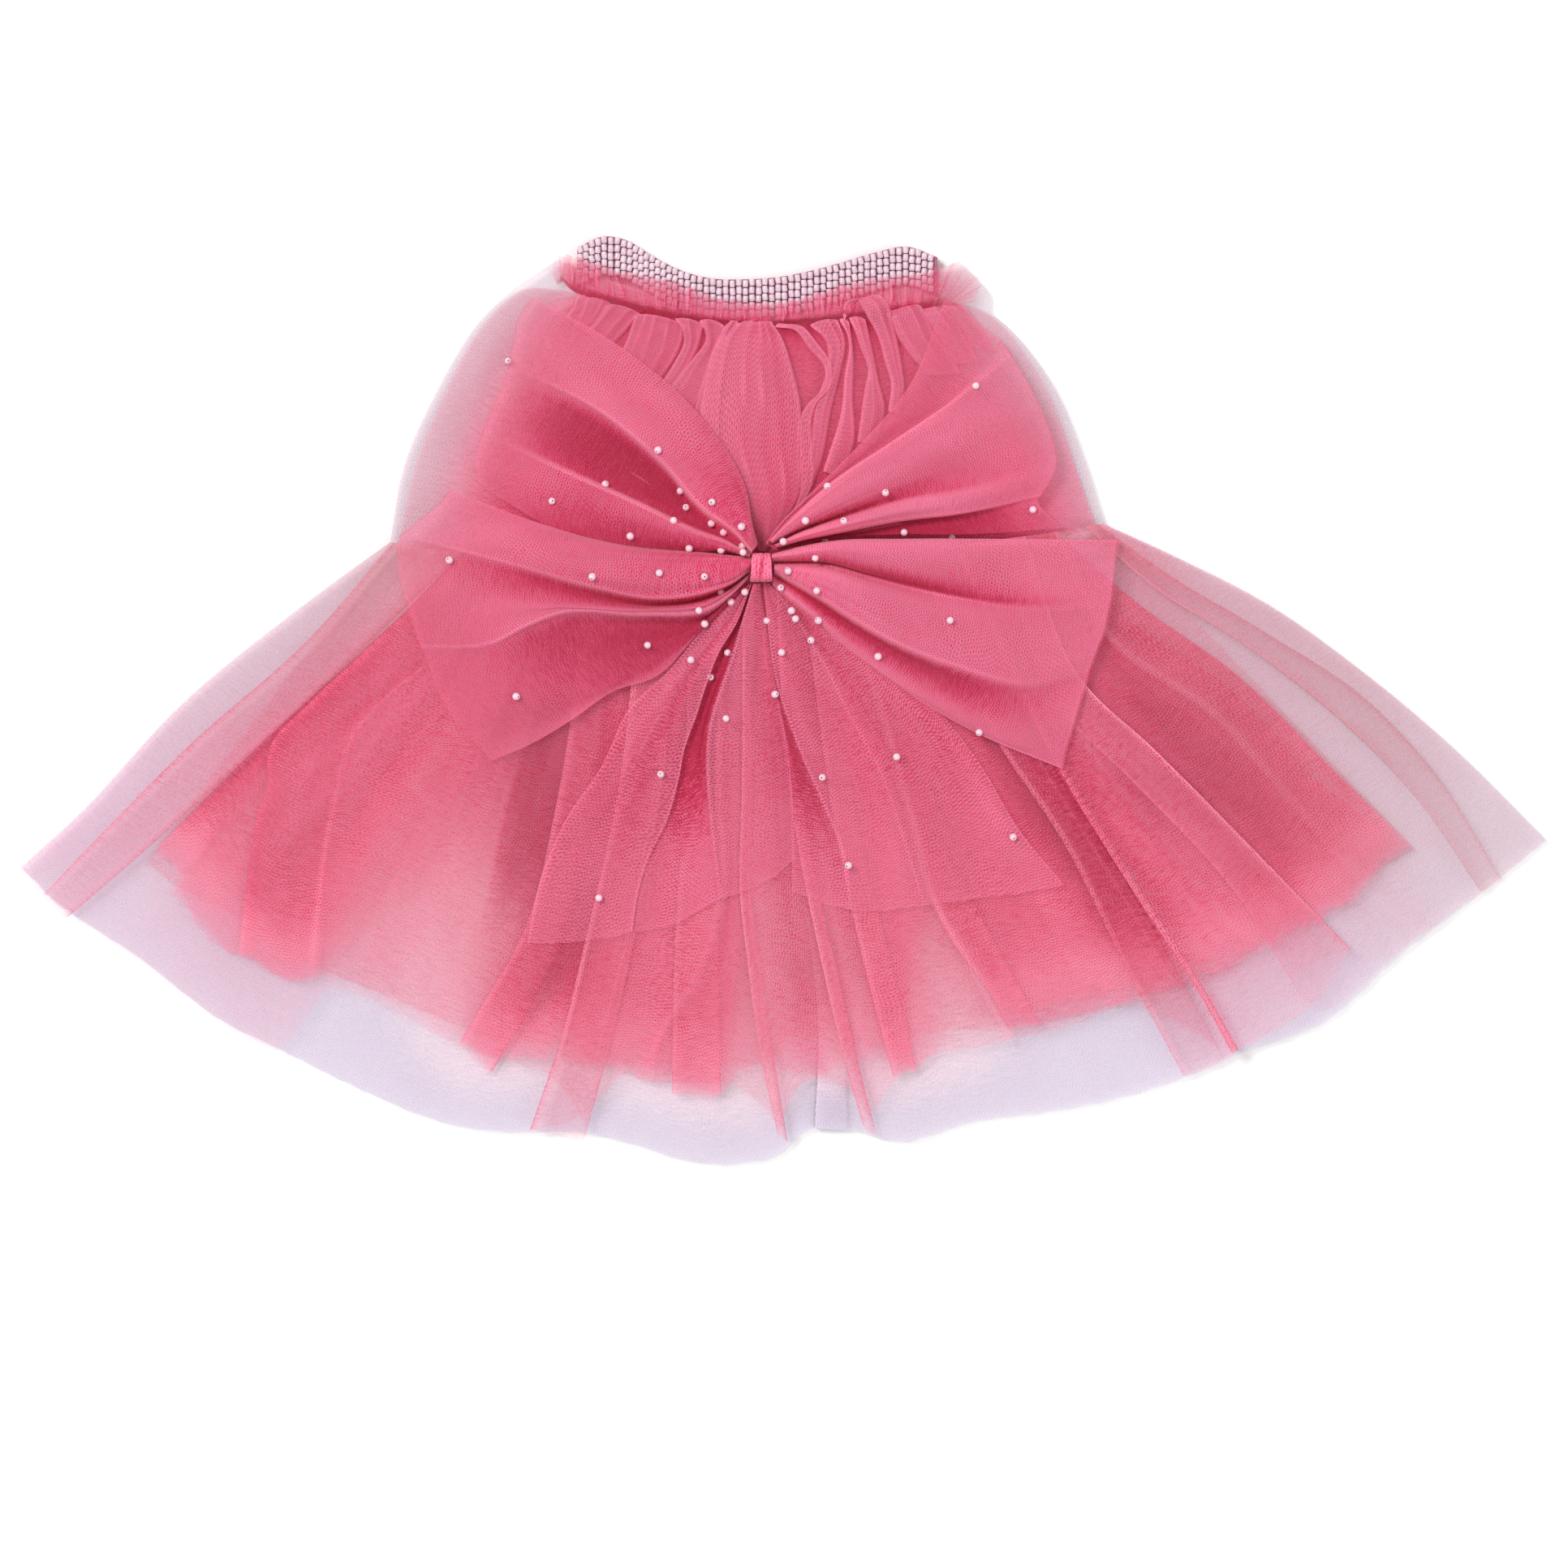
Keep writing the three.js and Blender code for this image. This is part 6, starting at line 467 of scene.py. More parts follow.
def hermite(keys, values, at):
    """Smooth curve through values (along axis 0) at the given keys, evaluated at `at`."""
    keys, values, at = np.asarray(keys, float), np.asarray(values, float), np.asarray(at, float)
    flat = values.reshape(len(keys), -1)
    gap = np.maximum(np.diff(keys), 1e-9)[:, None]
    slope = np.diff(flat, axis=0) / gap
    tangent = np.empty_like(flat)
    tangent[0], tangent[-1] = slope[0], slope[-1]
    if len(keys) > 2:
        a, b = gap[:-1], gap[1:]
        tangent[1:-1] = (slope[:-1] * b + slope[1:] * a) / (a + b)
    i = np.clip(np.searchsorted(keys, at, side="right") - 1, 0, len(keys) - 2)
    h = (keys[i + 1] - keys[i])[:, None]
    t = np.clip((at - keys[i])[:, None] / np.maximum(h, 1e-9), 0, 1)
    t2, t3 = t * t, t * t * t
    out = ((2 * t3 - 3 * t2 + 1) * flat[i] + (t3 - 2 * t2 + t) * h * tangent[i]
           + (-2 * t3 + 3 * t2) * flat[i + 1] + (t3 - t2) * h * tangent[i + 1])
    return out.reshape((len(at),) + values.shape[1:])


def resample(points, n):
    """n points at even steps along a smooth line through the given ones."""
    points = np.asarray(points, float)
    keys = np.concatenate([[0], np.cumsum(np.linalg.norm(np.diff(points, axis=0), axis=1))])
    fine = hermite(keys, points, np.linspace(0, keys[-1], 200))
    run = np.concatenate([[0], np.cumsum(np.linalg.norm(np.diff(fine, axis=0), axis=1))])
    want = np.linspace(0, run[-1], n)
    return np.stack([np.interp(want, run, fine[:, k]) for k in range(fine.shape[1])], axis=1)


def column(table, key, at, k):
    """Smooth look-up of column k of a table at values of its key column."""
    order = np.argsort(table[:, key])
    shape = np.shape(at)
    flat = np.clip(np.ravel(at), table[order[0], key], table[order[-1], key])
    return hermite(table[order, key], table[order, k], flat).reshape(shape)


def wave(t, length, seed, parts=5, spread=0.35):
    """Uneven ripple of about that wavelength, from -1 to 1."""
    rnd = np.random.RandomState(seed)
    out = 0
    for _ in range(parts):
        f = 2 * math.pi / (length * (1 + spread * rnd.uniform(-1, 1)))
        out = out + rnd.uniform(0.5, 1) * np.sin(f * t + rnd.uniform(0, 2 * math.pi))
    return out / (0.62 * parts)


# ---- the dress's own form ----------------------------------------------------------------------------------
def puff(x, y):
    left, right, rise = (column(PUFF, 0, y, k) for k in (1, 2, 3))
    across = np.minimum(1, np.abs((2 * x - left - right) / (right - left)))
    return rise * (1 - across ** 3)


def fold(x, y):
    deg = np.degrees(np.arctan2(x - APEX[0], APEX[1] - y))
    r = np.hypot(x - APEX[0], APEX[1] - y)
    return column(FOLDS, 0, deg, 1) * smooth((r - RAMP[0]) / (RAMP[1] - RAMP[0]))


def skirt_height(x, y):
    return puff(x, y) + fold(x, y)


def waist_line(x):
    left_x, left_y, right_x, right_y, sag = YOKE[-1, :5]
    u = np.clip((x - left_x) / (right_x - left_x), 0, 1)
    return left_y + (right_y - left_y) * u - 4 * u * (1 - u) * sag


def neck_line(x):
    left_x, left_y, right_x, right_y, sag = YOKE[0, :5]
    u = np.clip((x - left_x) / (right_x - left_x), 0, 1)
    return left_y + (right_y - left_y) * u - 4 * u * (1 - u) * sag


def bow_base(x, y):
    """Top of the cloth that the bow lies on."""
    skirt = LEVEL * 5 + WALL + 0.9 * skirt_height(x, y)
    yoke = LEVEL * 3 + YOKE_WALL + 0.7 * puff(x, y)
    return skirt + (yoke - skirt) * smooth((y - waist_line(x)) / 25) + BOW_CLEARANCE


# ---- meshes ------------------------------------------------------------------------------------------------
def shape_of(points, reach=4.5, fold_edge=1.0):
    """How steep the cloth is, where its threads lie closer together as seen from above, and how far it is below
    the folds beside it, in mm."""
    normal = np.cross(np.gradient(points, axis=0), np.gradient(points, axis=1))
    level = np.abs(normal[..., 2]) / np.maximum(np.linalg.norm(normal, axis=2), 1e-9)
    tilt = np.clip(1 / np.maximum(level, 0.3) - 1, 0, 1.6)
    step = np.linalg.norm(np.diff(points[..., :2], axis=0), axis=2).mean()
    up = np.sign(normal[..., 2])
    back = (up[1:] * up[:-1] < 0).astype(float)
    turn = np.zeros_like(tilt)
    turn[1:] += back
    turn[:-1] += back
    near = np.maximum(turn, 0.45 * np.vstack([turn[1:], turn[-1:]]) + 0.45 * np.vstack([turn[:1], turn[:-1]]))
    tilt = np.maximum(tilt, np.minimum(near, 1.0) * fold_edge)
    half = int(np.clip(round(reach / max(step, 0.05)), 1, max(1, len(points) // 3)))
    z = points[..., 2]
    padded = np.pad(z, ((half, half), (0, 0)), mode="edge")
    total = np.cumsum(np.vstack([np.zeros((1, z.shape[1])), padded]), axis=0)
    mean = (total[2 * half + 1:] - total[:-2 * half - 1]) / (2 * half + 1)
    return tilt, np.clip(mean - z, -2.5, 4.0)


class Cloth:
    """Grids of points joined into one mesh, with the cloth's own coordinates and its number of plies."""

    def __init__(self):
        self.points, self.uvs, self.plies, self.lit, self.quads, self.count = [], [], [], [], [], 0

    def grid(self, points, u=None, v=None, ply=1.0, closed=False, relief=0.0, lit=0.0, reach=4.5, edge=0.45):
        points = np.asarray(points, float)
        nu, nv = points.shape[:2]
        if relief:
            tilt, hollow = shape_of(points, reach)
            # painted light and shade: steep cloth is painted lighter and cloth lying below the folds beside it is
            # painted darker
            lit = lit + relief * (0.26 * tilt - 0.13 * hollow)
            ply = ply * (1 + edge * tilt)
        if u is None:
            step = np.linalg.norm(np.diff(points, axis=0), axis=2)
            u = np.concatenate([[0], np.cumsum(step.max(axis=1))])[:, None] * np.ones((1, nv))
        if v is None:
            step = np.linalg.norm(np.diff(points, axis=1), axis=2)
            v = np.concatenate([[0], np.cumsum(step.mean(axis=0))])[None, :] * np.ones((nu, 1))
        index = np.arange(nu * nv).reshape(nu, nv) + self.count
        rows = np.vstack([index, index[:1]]) if closed else index
        a, b, c, d = rows[:-1, :-1], rows[1:, :-1], rows[1:, 1:], rows[:-1, 1:]
        self.quads.append(np.stack([a, b, c, d], axis=-1).reshape(-1, 4))
        self.points.append(points.reshape(-1, 3))
        self.uvs.append(np.stack([np.broadcast_to(u, (nu, nv)).ravel(), np.broadcast_to(v, (nu, nv)).ravel()], axis=1))
        self.plies.append(np.broadcast_to(ply, (nu, nv)).ravel())
        self.lit.append(np.broadcast_to(lit, (nu, nv)).ravel())
        self.count += nu * nv
        return self

    def make(self, name):
        points = np.concatenate(self.points) * MM
        uvs = np.concatenate(self.uvs) * MM
        plies = np.concatenate(self.plies)
        lit = np.concatenate(self.lit)
        quads = np.concatenate(self.quads)
        # the net drifts a little and is denser here and there, as it is on real cloth
        u, v = uvs[:, 0] / MM, uvs[:, 1] / MM
        cloud = (np.sin(u * 0.171 + v * 0.110 + 0.4) + np.sin(u * 0.093 - v * 0.141 + 2.1) + np.sin(u * 0.262 + v * 0.047 + 4.0)
                 + 0.7 * np.sin(u * 0.331 - v * 0.232 + 1.0)) / 2.6
        plies = plies * (1 + 0.10 * cloud)
        lit = lit + 0.055 * cloud
        uvs = uvs + MM * np.stack([0.8 * np.sin(u * 0.21 + v * 0.13 + 1.3) + 0.6 * np.sin(v * 0.31 - u * 0.07),
                                   0.8 * np.sin(u * 0.15 - v * 0.19 + 0.7) + 0.6 * np.sin(u * 0.29 + v * 0.05)], axis=1)
        mesh = bpy.data.meshes.new(name)
        mesh.vertices.add(len(points))
        mesh.vertices.foreach_set("co", points.astype(np.float32).ravel())
        mesh.loops.add(quads.size)
        mesh.loops.foreach_set("vertex_index", quads.ravel().astype(np.int32))
        mesh.polygons.add(len(quads))
        mesh.polygons.foreach_set("loop_start", np.arange(0, quads.size, 4, dtype=np.int32))
        mesh.update(calc_edges=True)
        mesh.polygons.foreach_set("use_smooth", np.ones(len(quads), dtype=bool))
        layer = mesh.uv_layers.new(name="cloth")
        layer.data.foreach_set("uv", uvs[quads.ravel()].astype(np.float32).ravel())
        ply = mesh.attributes.new("ply", "FLOAT", "POINT")
        ply.data.foreach_set("value", plies.astype(np.float32))
        # the lit attribute holds painted light and shade, with some uneven tone
        light = mesh.attributes.new("lit", "FLOAT", "POINT")
        light.data.foreach_set("value", lit.astype(np.float32))
        mesh.update()
        piece = bpy.data.objects.new(name, mesh)
        bpy.context.scene.collection.objects.link(piece)
        return piece


def along_fold(value, n):
    """A fold's value along its length: one number, the values at its two ends, or several at even steps."""
    if not isinstance(value, tuple):
        return np.full(n, float(value))
    t = np.linspace(0, 1, n)
    if len(value) == 2:
        return value[0] + (value[1] - value[0]) * t ** 2.2
    return np.interp(t, np.linspace(0, 1, len(value)), value)


def loft(ribs, along, step):
    """A sheet through fold lines. Returns its points, the place of each row between the ribs, its plies and its tone
    with painted light and shade.
    """
    lines = np.array([resample(points, along) for _, _, points in ribs])
    plies = np.array([along_fold(ply, along) for ply, _, _ in ribs])
    tones_and_painted_light = np.array([along_fold(lit, along) for _, lit, _ in ribs])
    apart = np.linalg.norm(np.diff(lines, axis=0), axis=2).mean(axis=1)
    keys = np.concatenate([[0], np.cumsum(np.maximum(apart, 0.05))])
    at = [0.0]
    for a, b in zip(keys[:-1], keys[1:]):
        n = max(2, int(math.ceil((b - a) / step)))
        at.extend(a + (b - a) * np.arange(1, n + 1) / n)
    at = np.array(at)
    i = np.clip(np.searchsorted(keys, at, side="right") - 1, 0, len(keys) - 2)
    t = ((at - keys[i]) / (keys[i + 1] - keys[i]))[:, None]
    return hermite(keys, lines, at), at, plies[i] * (1 - t) + plies[i + 1] * t, tones_and_painted_light[i] * (1 - t) + tones_and_painted_light[i + 1] * t


def cloth_width(points, row=-1):
    """Running length across the sheet at one of its rows."""
    edge = points[:, row]
    return np.concatenate([[0], np.cumsum(np.linalg.norm(np.diff(edge, axis=0), axis=1))])


def gathered(points, width, low=1.0, high=3.0):
    """How many times denser the cloth lies at each point than at its widest."""
    du = np.gradient(width)[:, None]
    here = np.linalg.norm(np.gradient(points, axis=0), axis=2)
    ratio = np.clip(du / np.maximum(here, 1e-6), low, high)
    kernel = np.array([1, 2, 3, 2, 1]) / 9
    padded = np.pad(ratio, ((2, 2), (0, 0)), mode="edge")
    return sum(k * padded[i:i + len(ratio)] for i, k in enumerate(kernel))


# ---- materials ---------------------------------------------------------------------------------------------
def link(tree, a, b):
    tree.links.new(a, b)


def math_node(tree, kind, a, b=None, clamp=False):
    node = tree.nodes.new("ShaderNodeMath")
    node.operation, node.use_clamp = kind, clamp
    for socket, value in zip(node.inputs, (a, b)):
        if value is None:
            continue
        if isinstance(value, (int, float)):
            socket.default_value = value
        else:
            link(tree, value, socket)
    return node.outputs[0]


def colour_mix(tree, factor, a, b):
    node = tree.nodes.new("ShaderNodeMix")
    node.data_type = "RGBA"
    link(tree, factor, node.inputs[0])
    node.inputs[6].default_value = (*a, 1)
    node.inputs[7].default_value = (*b, 1)
    return node.outputs[2]


def noise(tree, vector, scale, detail=3.0, rough=0.5):
    node = tree.nodes.new("ShaderNodeTexNoise")
    link(tree, vector, node.inputs["Vector"])
    node.inputs["Scale"].default_value = scale
    node.inputs["Detail"].default_value = detail
    node.inputs["Roughness"].default_value = rough
    return node.outputs["Fac"]


def shader(name):
    material = bpy.data.materials.new(name)
    material.use_nodes = True
    tree = material.node_tree
    return material, tree, tree.nodes["Principled BSDF"]


def tulle(name, light, deep, cover, pitch=1.05, turn=0.0, contrast=0.55, sheen=0.4, rough=0.72, side_shade=None, grain=0.6, painted_deep_colour=(0.40, 0.012, 0.050), busy=1.0):
    """Hexagonal net. `cover` is the share of the view that one ply stops; the ply attribute multiplies the plies."""
    material, tree, out = shader(name)
    uv = tree.nodes.new("ShaderNodeUVMap")
    uv.uv_map = "cloth"
    place = uv.outputs[0]
    # two plies of the net, a little turned against each other; 1 in the middle of a hole, 0 on the threads
    holes = []
    for size, first in ((pitch, turn), (pitch * 1.14, turn + 23)):
        k = 2 * math.pi / (size * MM * math.cos(math.radians(30)))
        total = None
        for i in range(3):
            angle = math.radians(first + 60 * i)
            dot = tree.nodes.new("ShaderNodeVectorMath")
            dot.operation = "DOT_PRODUCT"
            link(tree, place, dot.inputs[0])
            dot.inputs[1].default_value = (k * math.cos(angle), k * math.sin(angle), 0)
            c = math_node(tree, "MULTIPLY", math_node(tree, "COSINE", dot.outputs["Value"]), 1.5 if i == 0 else 0.75)
            total = c if total is None else math_node(tree, "ADD", total, c)
        holes.append(math_node(tree, "MULTIPLY", math_node(tree, "ADD", total, 0.9), 0.3, clamp=True))
    hole = math_node(tree, "ADD", math_node(tree, "MULTIPLY", holes[0], 0.62), math_node(tree, "MULTIPLY", holes[1], 0.38))
    # threads bunch here and there, in streaks along the cloth
    squeeze = tree.nodes.new("ShaderNodeMapping")
    link(tree, place, squeeze.inputs["Vector"])
    squeeze.inputs["Scale"].default_value = (0.15, 1, 1)
    streak = noise(tree, squeeze.outputs[0], 1050, 0, 0.6)
    speck = noise(tree, place, 1250, 0, 0.7)
    calm = min(1.0, busy + 0.2)
    uneven = math_node(tree, "ADD", math_node(tree, "MULTIPLY", streak, 0.8 * calm), math_node(tree, "MULTIPLY", speck, calm))
    uneven = math_node(tree, "ADD", uneven, 1.0 - 0.9 * calm)
    net = math_node(tree, "MULTIPLY", hole, -contrast)
    net = math_node(tree, "ADD", net, 1 + 0.30 * contrast)
    net = math_node(tree, "MULTIPLY", net, uneven)
    one = math_node(tree, "MULTIPLY", net, cover, clamp=True)
    ply = tree.nodes.new("ShaderNodeAttribute")
    ply.attribute_name = "ply"
    clear = math_node(tree, "POWER", math_node(tree, "SUBTRACT", 1.0, one), ply.outputs["Fac"])
    alpha = math_node(tree, "SUBTRACT", 1.0, clear, clamp=True)
    link(tree, alpha, out.inputs["Alpha"])
    lit = tree.nodes.new("ShaderNodeAttribute")
    lit.attribute_name = "lit"
    packed = math_node(tree, "MULTIPLY", math_node(tree, "MINIMUM", ply.outputs["Fac"], 6.0), 0.05)
    tone_and_painted_light = math_node(tree, "ADD", math_node(tree, "MULTIPLY", math_node(tree, "SUBTRACT", hole, 0.27), grain), packed)
    tone_and_painted_light = math_node(tree, "ADD", tone_and_painted_light, math_node(tree, "MULTIPLY", math_node(tree, "SUBTRACT", speck, 0.5), 1.5 * busy))
    tone_and_painted_light = math_node(tree, "ADD", tone_and_painted_light, math_node(tree, "MULTIPLY", math_node(tree, "SUBTRACT", streak, 0.5), 1.5 * busy))
    # painted light and shade: the lit attribute lightens or darkens the colour
    tone_and_painted_light = math_node(tree, "SUBTRACT", math_node(tree, "ADD", tone_and_painted_light, 0.36), lit.outputs["Fac"])
    colour = colour_mix(tree, math_node(tree, "ADD", tone_and_painted_light, 0.0, clamp=True), light, deep)
    # painted shade and light: past a tone of 0.85 the colour turns to the painted deep colour, a crimson or grey shade
    # in creases on the pink and white nets and a pink light on the linings
    painted_deep_mix = tree.nodes.new("ShaderNodeMix")
    painted_deep_mix.data_type = "RGBA"
    link(tree, math_node(tree, "MULTIPLY", math_node(tree, "SUBTRACT", tone_and_painted_light, 0.85), 1.15, clamp=True), painted_deep_mix.inputs[0])
    link(tree, colour, painted_deep_mix.inputs[6])
    painted_deep_mix.inputs[7].default_value = (*painted_deep_colour, 1)
    colour = painted_deep_mix.outputs[2]
    if side_shade:
        # painted shade: the sheer cloth turns a little browner towards both sides, standing in for the dimmer light
        # there
        object_place = tree.nodes.new("ShaderNodeTexCoord").outputs["Object"]
        sides = []
        for direction, start, rise in (((0.8, 0.6, 0), 0.10, 14.0), ((-0.5, 0.87, 0), 0.085, 25.0)):
            dot = tree.nodes.new("ShaderNodeVectorMath")
            dot.operation = "DOT_PRODUCT"
            link(tree, object_place, dot.inputs[0])
            dot.inputs[1].default_value = direction
            sides.append(math_node(tree, "MULTIPLY", math_node(tree, "SUBTRACT", dot.outputs["Value"], start), rise, clamp=True))
        mix = tree.nodes.new("ShaderNodeMix")
        mix.data_type = "RGBA"
        link(tree, math_node(tree, "MULTIPLY", math_node(tree, "MAXIMUM", *sides), side_shade[3]), mix.inputs[0])
        link(tree, colour, mix.inputs[6])
        mix.inputs[7].default_value = (*side_shade[:3], 1)
        colour = mix.outputs[2]
    link(tree, colour, out.inputs["Base Color"])
    out.inputs["Roughness"].default_value = rough
    out.inputs["Specular IOR Level"].default_value = 0.25
    out.inputs["Sheen Weight"].default_value = sheen
    out.inputs["Sheen Roughness"].default_value = 0.35
    out.inputs["Sheen Tint"].default_value = (1, 0.82, 0.88, 1)
    bump = tree.nodes.new("ShaderNodeBump")
    bump.inputs["Strength"].default_value = 0.35
    bump.inputs["Distance"].default_value = 0.00035
    link(tree, math_node(tree, "ADD", speck, math_node(tree, "MULTIPLY", hole, -0.6)), bump.inputs["Height"])
    link(tree, bump.outputs[0], out.inputs["Normal"])
    return material


def pearl_material():
    material, tree, out = shader("pearl")
    where = tree.nodes.new("ShaderNodeTexCoord").outputs["Object"]
    link(tree, colour_mix(tree, noise(tree, where, 260, 2), (0.80, 0.47, 0.58), (0.92, 0.68, 0.77)), out.inputs["Base Color"])
    out.inputs["Roughness"].default_value = 0.28
    out.inputs["Coat Weight"].default_value = 0.6
    out.inputs["Coat Roughness"].default_value = 0.12
    out.inputs["Sheen Weight"].default_value = 0.2
    return material


def bead_material():
    material, tree, out = shader("band_bead")
    where = tree.nodes.new("ShaderNodeTexCoord").outputs["Object"]
    link(tree, colour_mix(tree, noise(tree, where, 330, 2), (0.58, 0.36, 0.44), (0.86, 0.70, 0.78)), out.inputs["Base Color"])
    out.inputs["Roughness"].default_value = 0.32
    out.inputs["Coat Weight"].default_value = 0.5
    out.inputs["Coat Roughness"].default_value = 0.15
    return material


def woven(name, light, deep):
    """Ribbed elastic or thread."""
    material, tree, out = shader(name)
    where = tree.nodes.new("ShaderNodeTexCoord").outputs["Object"]
    wave_node = tree.nodes.new("ShaderNodeTexWave")
    link(tree, where, wave_node.inputs["Vector"])
    wave_node.inputs["Scale"].default_value = 420
    wave_node.inputs["Distortion"].default_value = 1.2
    link(tree, colour_mix(tree, wave_node.outputs["Fac"], light, deep), out.inputs["Base Color"])
    out.inputs["Roughness"].default_value = 0.8
    bump = tree.nodes.new("ShaderNodeBump")
    bump.inputs["Strength"].default_value = 0.5
    bump.inputs["Distance"].default_value = 0.0003
    link(tree, wave_node.outputs["Fac"], bump.inputs["Height"])
    link(tree, bump.outputs[0], out.inputs["Normal"])
    return material


PINK, PINK_DEEP = (0.95, 0.285, 0.420), (0.78, 0.075, 0.170)
BOW, BOW_DEEP = (0.90, 0.215, 0.355), (0.69, 0.054, 0.142)
WHITE, WHITE_DEEP = (0.78, 0.70, 0.83), (0.70, 0.61, 0.74)
net_skirt = tulle("tulle_pink_skirt", PINK, PINK_DEEP, 0.25, pitch=1.2, turn=82, contrast=0.9, grain=0.9, busy=0.65, side_shade=(0.56, 0.17, 0.21, 0.3))
net_under = tulle("tulle_pink_under", PINK, PINK_DEEP, 0.25, pitch=1.25, turn=21, contrast=0.7, busy=0.6)
net_overlay = tulle("tulle_sheer_pink", PINK, PINK_DEEP, 0.19, pitch=1.2, turn=4, contrast=0.9, side_shade=(0.55, 0.27, 0.28, 0.65), grain=0.8)
net_bow = tulle("tulle_pink_bow", BOW, BOW_DEEP, 0.28, pitch=1.08, turn=84, contrast=0.7, grain=0.7, busy=0.62)
net_tail = tulle("tulle_pink_tail", BOW, BOW_DEEP, 0.29, pitch=1.3, turn=72, contrast=1.2, grain=1.4, busy=1.1)
net_yoke = tulle("tulle_pink_yoke", BOW, BOW_DEEP, 0.27, pitch=1.15, turn=5, contrast=0.8, grain=0.8, busy=0.42)
net_white = tulle("tulle_white", WHITE, WHITE_DEEP, 0.45, pitch=1.1, turn=15, contrast=0.4, sheen=0.1, painted_deep_colour=(0.62, 0.53, 0.66), busy=0.3)
net_lining_skirt = tulle("tulle_white_skirt", WHITE, WHITE_DEEP, 0.45, pitch=1.1, turn=15, contrast=0.35, sheen=0.1, painted_deep_colour=(0.97, 0.76, 0.84), busy=0.3, side_shade=(0.74, 0.57, 0.58, 0.6))
net_lining = tulle("tulle_white_yoke", (0.76, 0.64, 0.71), (0.68, 0.55, 0.62), 0.42, pitch=1.1, turn=15, contrast=0.5, sheen=0.1, painted_deep_colour=(0.95, 0.66, 0.76), busy=0.3)
pearl = pearl_material()
band_bead = bead_material()
elastic = woven("band_elastic", (0.46, 0.16, 0.24), (0.38, 0.11, 0.18))


def dress(piece, material, node):
    piece.data.materials.append(material)
    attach(piece, "root")
    if node:
        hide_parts(*([node] if isinstance(node, str) else node))
    return piece


# ---- skirt -------------------------------------------------------------------------------------------------
def skirt_sheet(name, ribs, level, share, step, along, seed, material, node, ripple=1.0,
                ragged=0.35, plies=1.0, soft=0.0, relit=1.0, edge=0.45, hem_painted_light=0.0, streaks=0.06):
    points, at, ply, tone_and_painted_light = loft(ribs, along, step)
    width = cloth_width(points)
    dense = gathered(points, width)
    v = np.linspace(0, 1, along)[None, :]
    u = width[:, None]
    x, y, lift = points[..., 0].copy(), points[..., 1].copy(), points[..., 2]
    # gathers: fine at the waist, running together towards the hem
    relief = (0.55 * wave(u, 9, seed) * np.exp(-(v / 0.28) ** 2)
              + 0.55 * wave(u, 21, seed + 1) * np.exp(-(v / 0.55) ** 2)
              + 0.40 * wave(u + 6 * v, 47, seed + 2) * (0.35 + 0.65 * v)
              + 0.16 * wave(u * 0.8 + 60 * v, 15, seed + 3) * v)
    ends = smooth(np.minimum(width, width[-1] - width) / 12)[:, None]
    z = level * LEVEL + WALL / 2 + share * skirt_height(x, y) + lift + ripple * relief * ends
    z = np.maximum(z, 0.25)
    # the cut edge isn't perfectly even
    tail = smooth((v - 0.93) / 0.07)
    cut = ragged * (wave(u, 3.1, seed + 5) + 0.7 * wave(u, 11, seed + 6)) * tail
    r = np.hypot(x - APEX[0], y - APEX[1])
    x = x + cut * (x - APEX[0]) / r
    y = y + cut * (y - APEX[1]) / r
    length = np.concatenate([[0], np.cumsum(np.linalg.norm(np.diff(points, axis=1), axis=2).mean(axis=0))])[None, :]
    # the plies end one after another
    worn = 1.0
    if soft:
        left = length[0, -1] - length + 2.2 * wave(u, 15, seed + 8) + 1.3 * wave(u, 5, seed + 9)
        worn = 0.12 + 0.42 * smooth(left / (0.35 * soft)) + 0.46 * smooth((left - 0.3 * soft) / (2.2 * soft))
    # painted light: the cloth is made lighter near the hem; the streaks are uneven tone along the cloth
    tone_and_painted_light = tone_and_painted_light + hem_painted_light * smooth((v - 0.84) / 0.14) + streaks * (wave(u + 4 * v, 7.5, seed + 11) + 0.7 * wave(u, 3.7, seed + 12))
    cloth = Cloth().grid(np.stack([x, y, z], axis=-1), u, length + 0 * u, ply * dense * plies * worn, relief=relit, lit=tone_and_painted_light, edge=edge)
    piece = dress(cloth.make(name + "_net"), material, node)
    return piece


def simple_fan(hem_mm, trim, close, plies=1.0, count=25):
    """Fold lines of a hidden layer: straight rays, with the hem drawn in by `trim` from the lining's."""
    ribs = []
    for _, _, points in SKIRT_LINING:
        p = np.array(points, float)
        end = p[-1].copy()
        d = end[:2] - np.array(APEX)
        r = np.linalg.norm(d)
        deg = math.degrees(math.atan2(d[0], -d[1])) * close
        end[0] = APEX[0] + (r - trim) * math.sin(math.radians(deg))
        end[1] = APEX[1] - (r - trim) * math.cos(math.radians(deg))
        start = p[0]
        middle = (start + end) / 2
        ribs.append((plies, 0.0, [start, start * 0.7 + end * 0.3, middle, start * 0.25 + end * 0.75, end]))
    return ribs


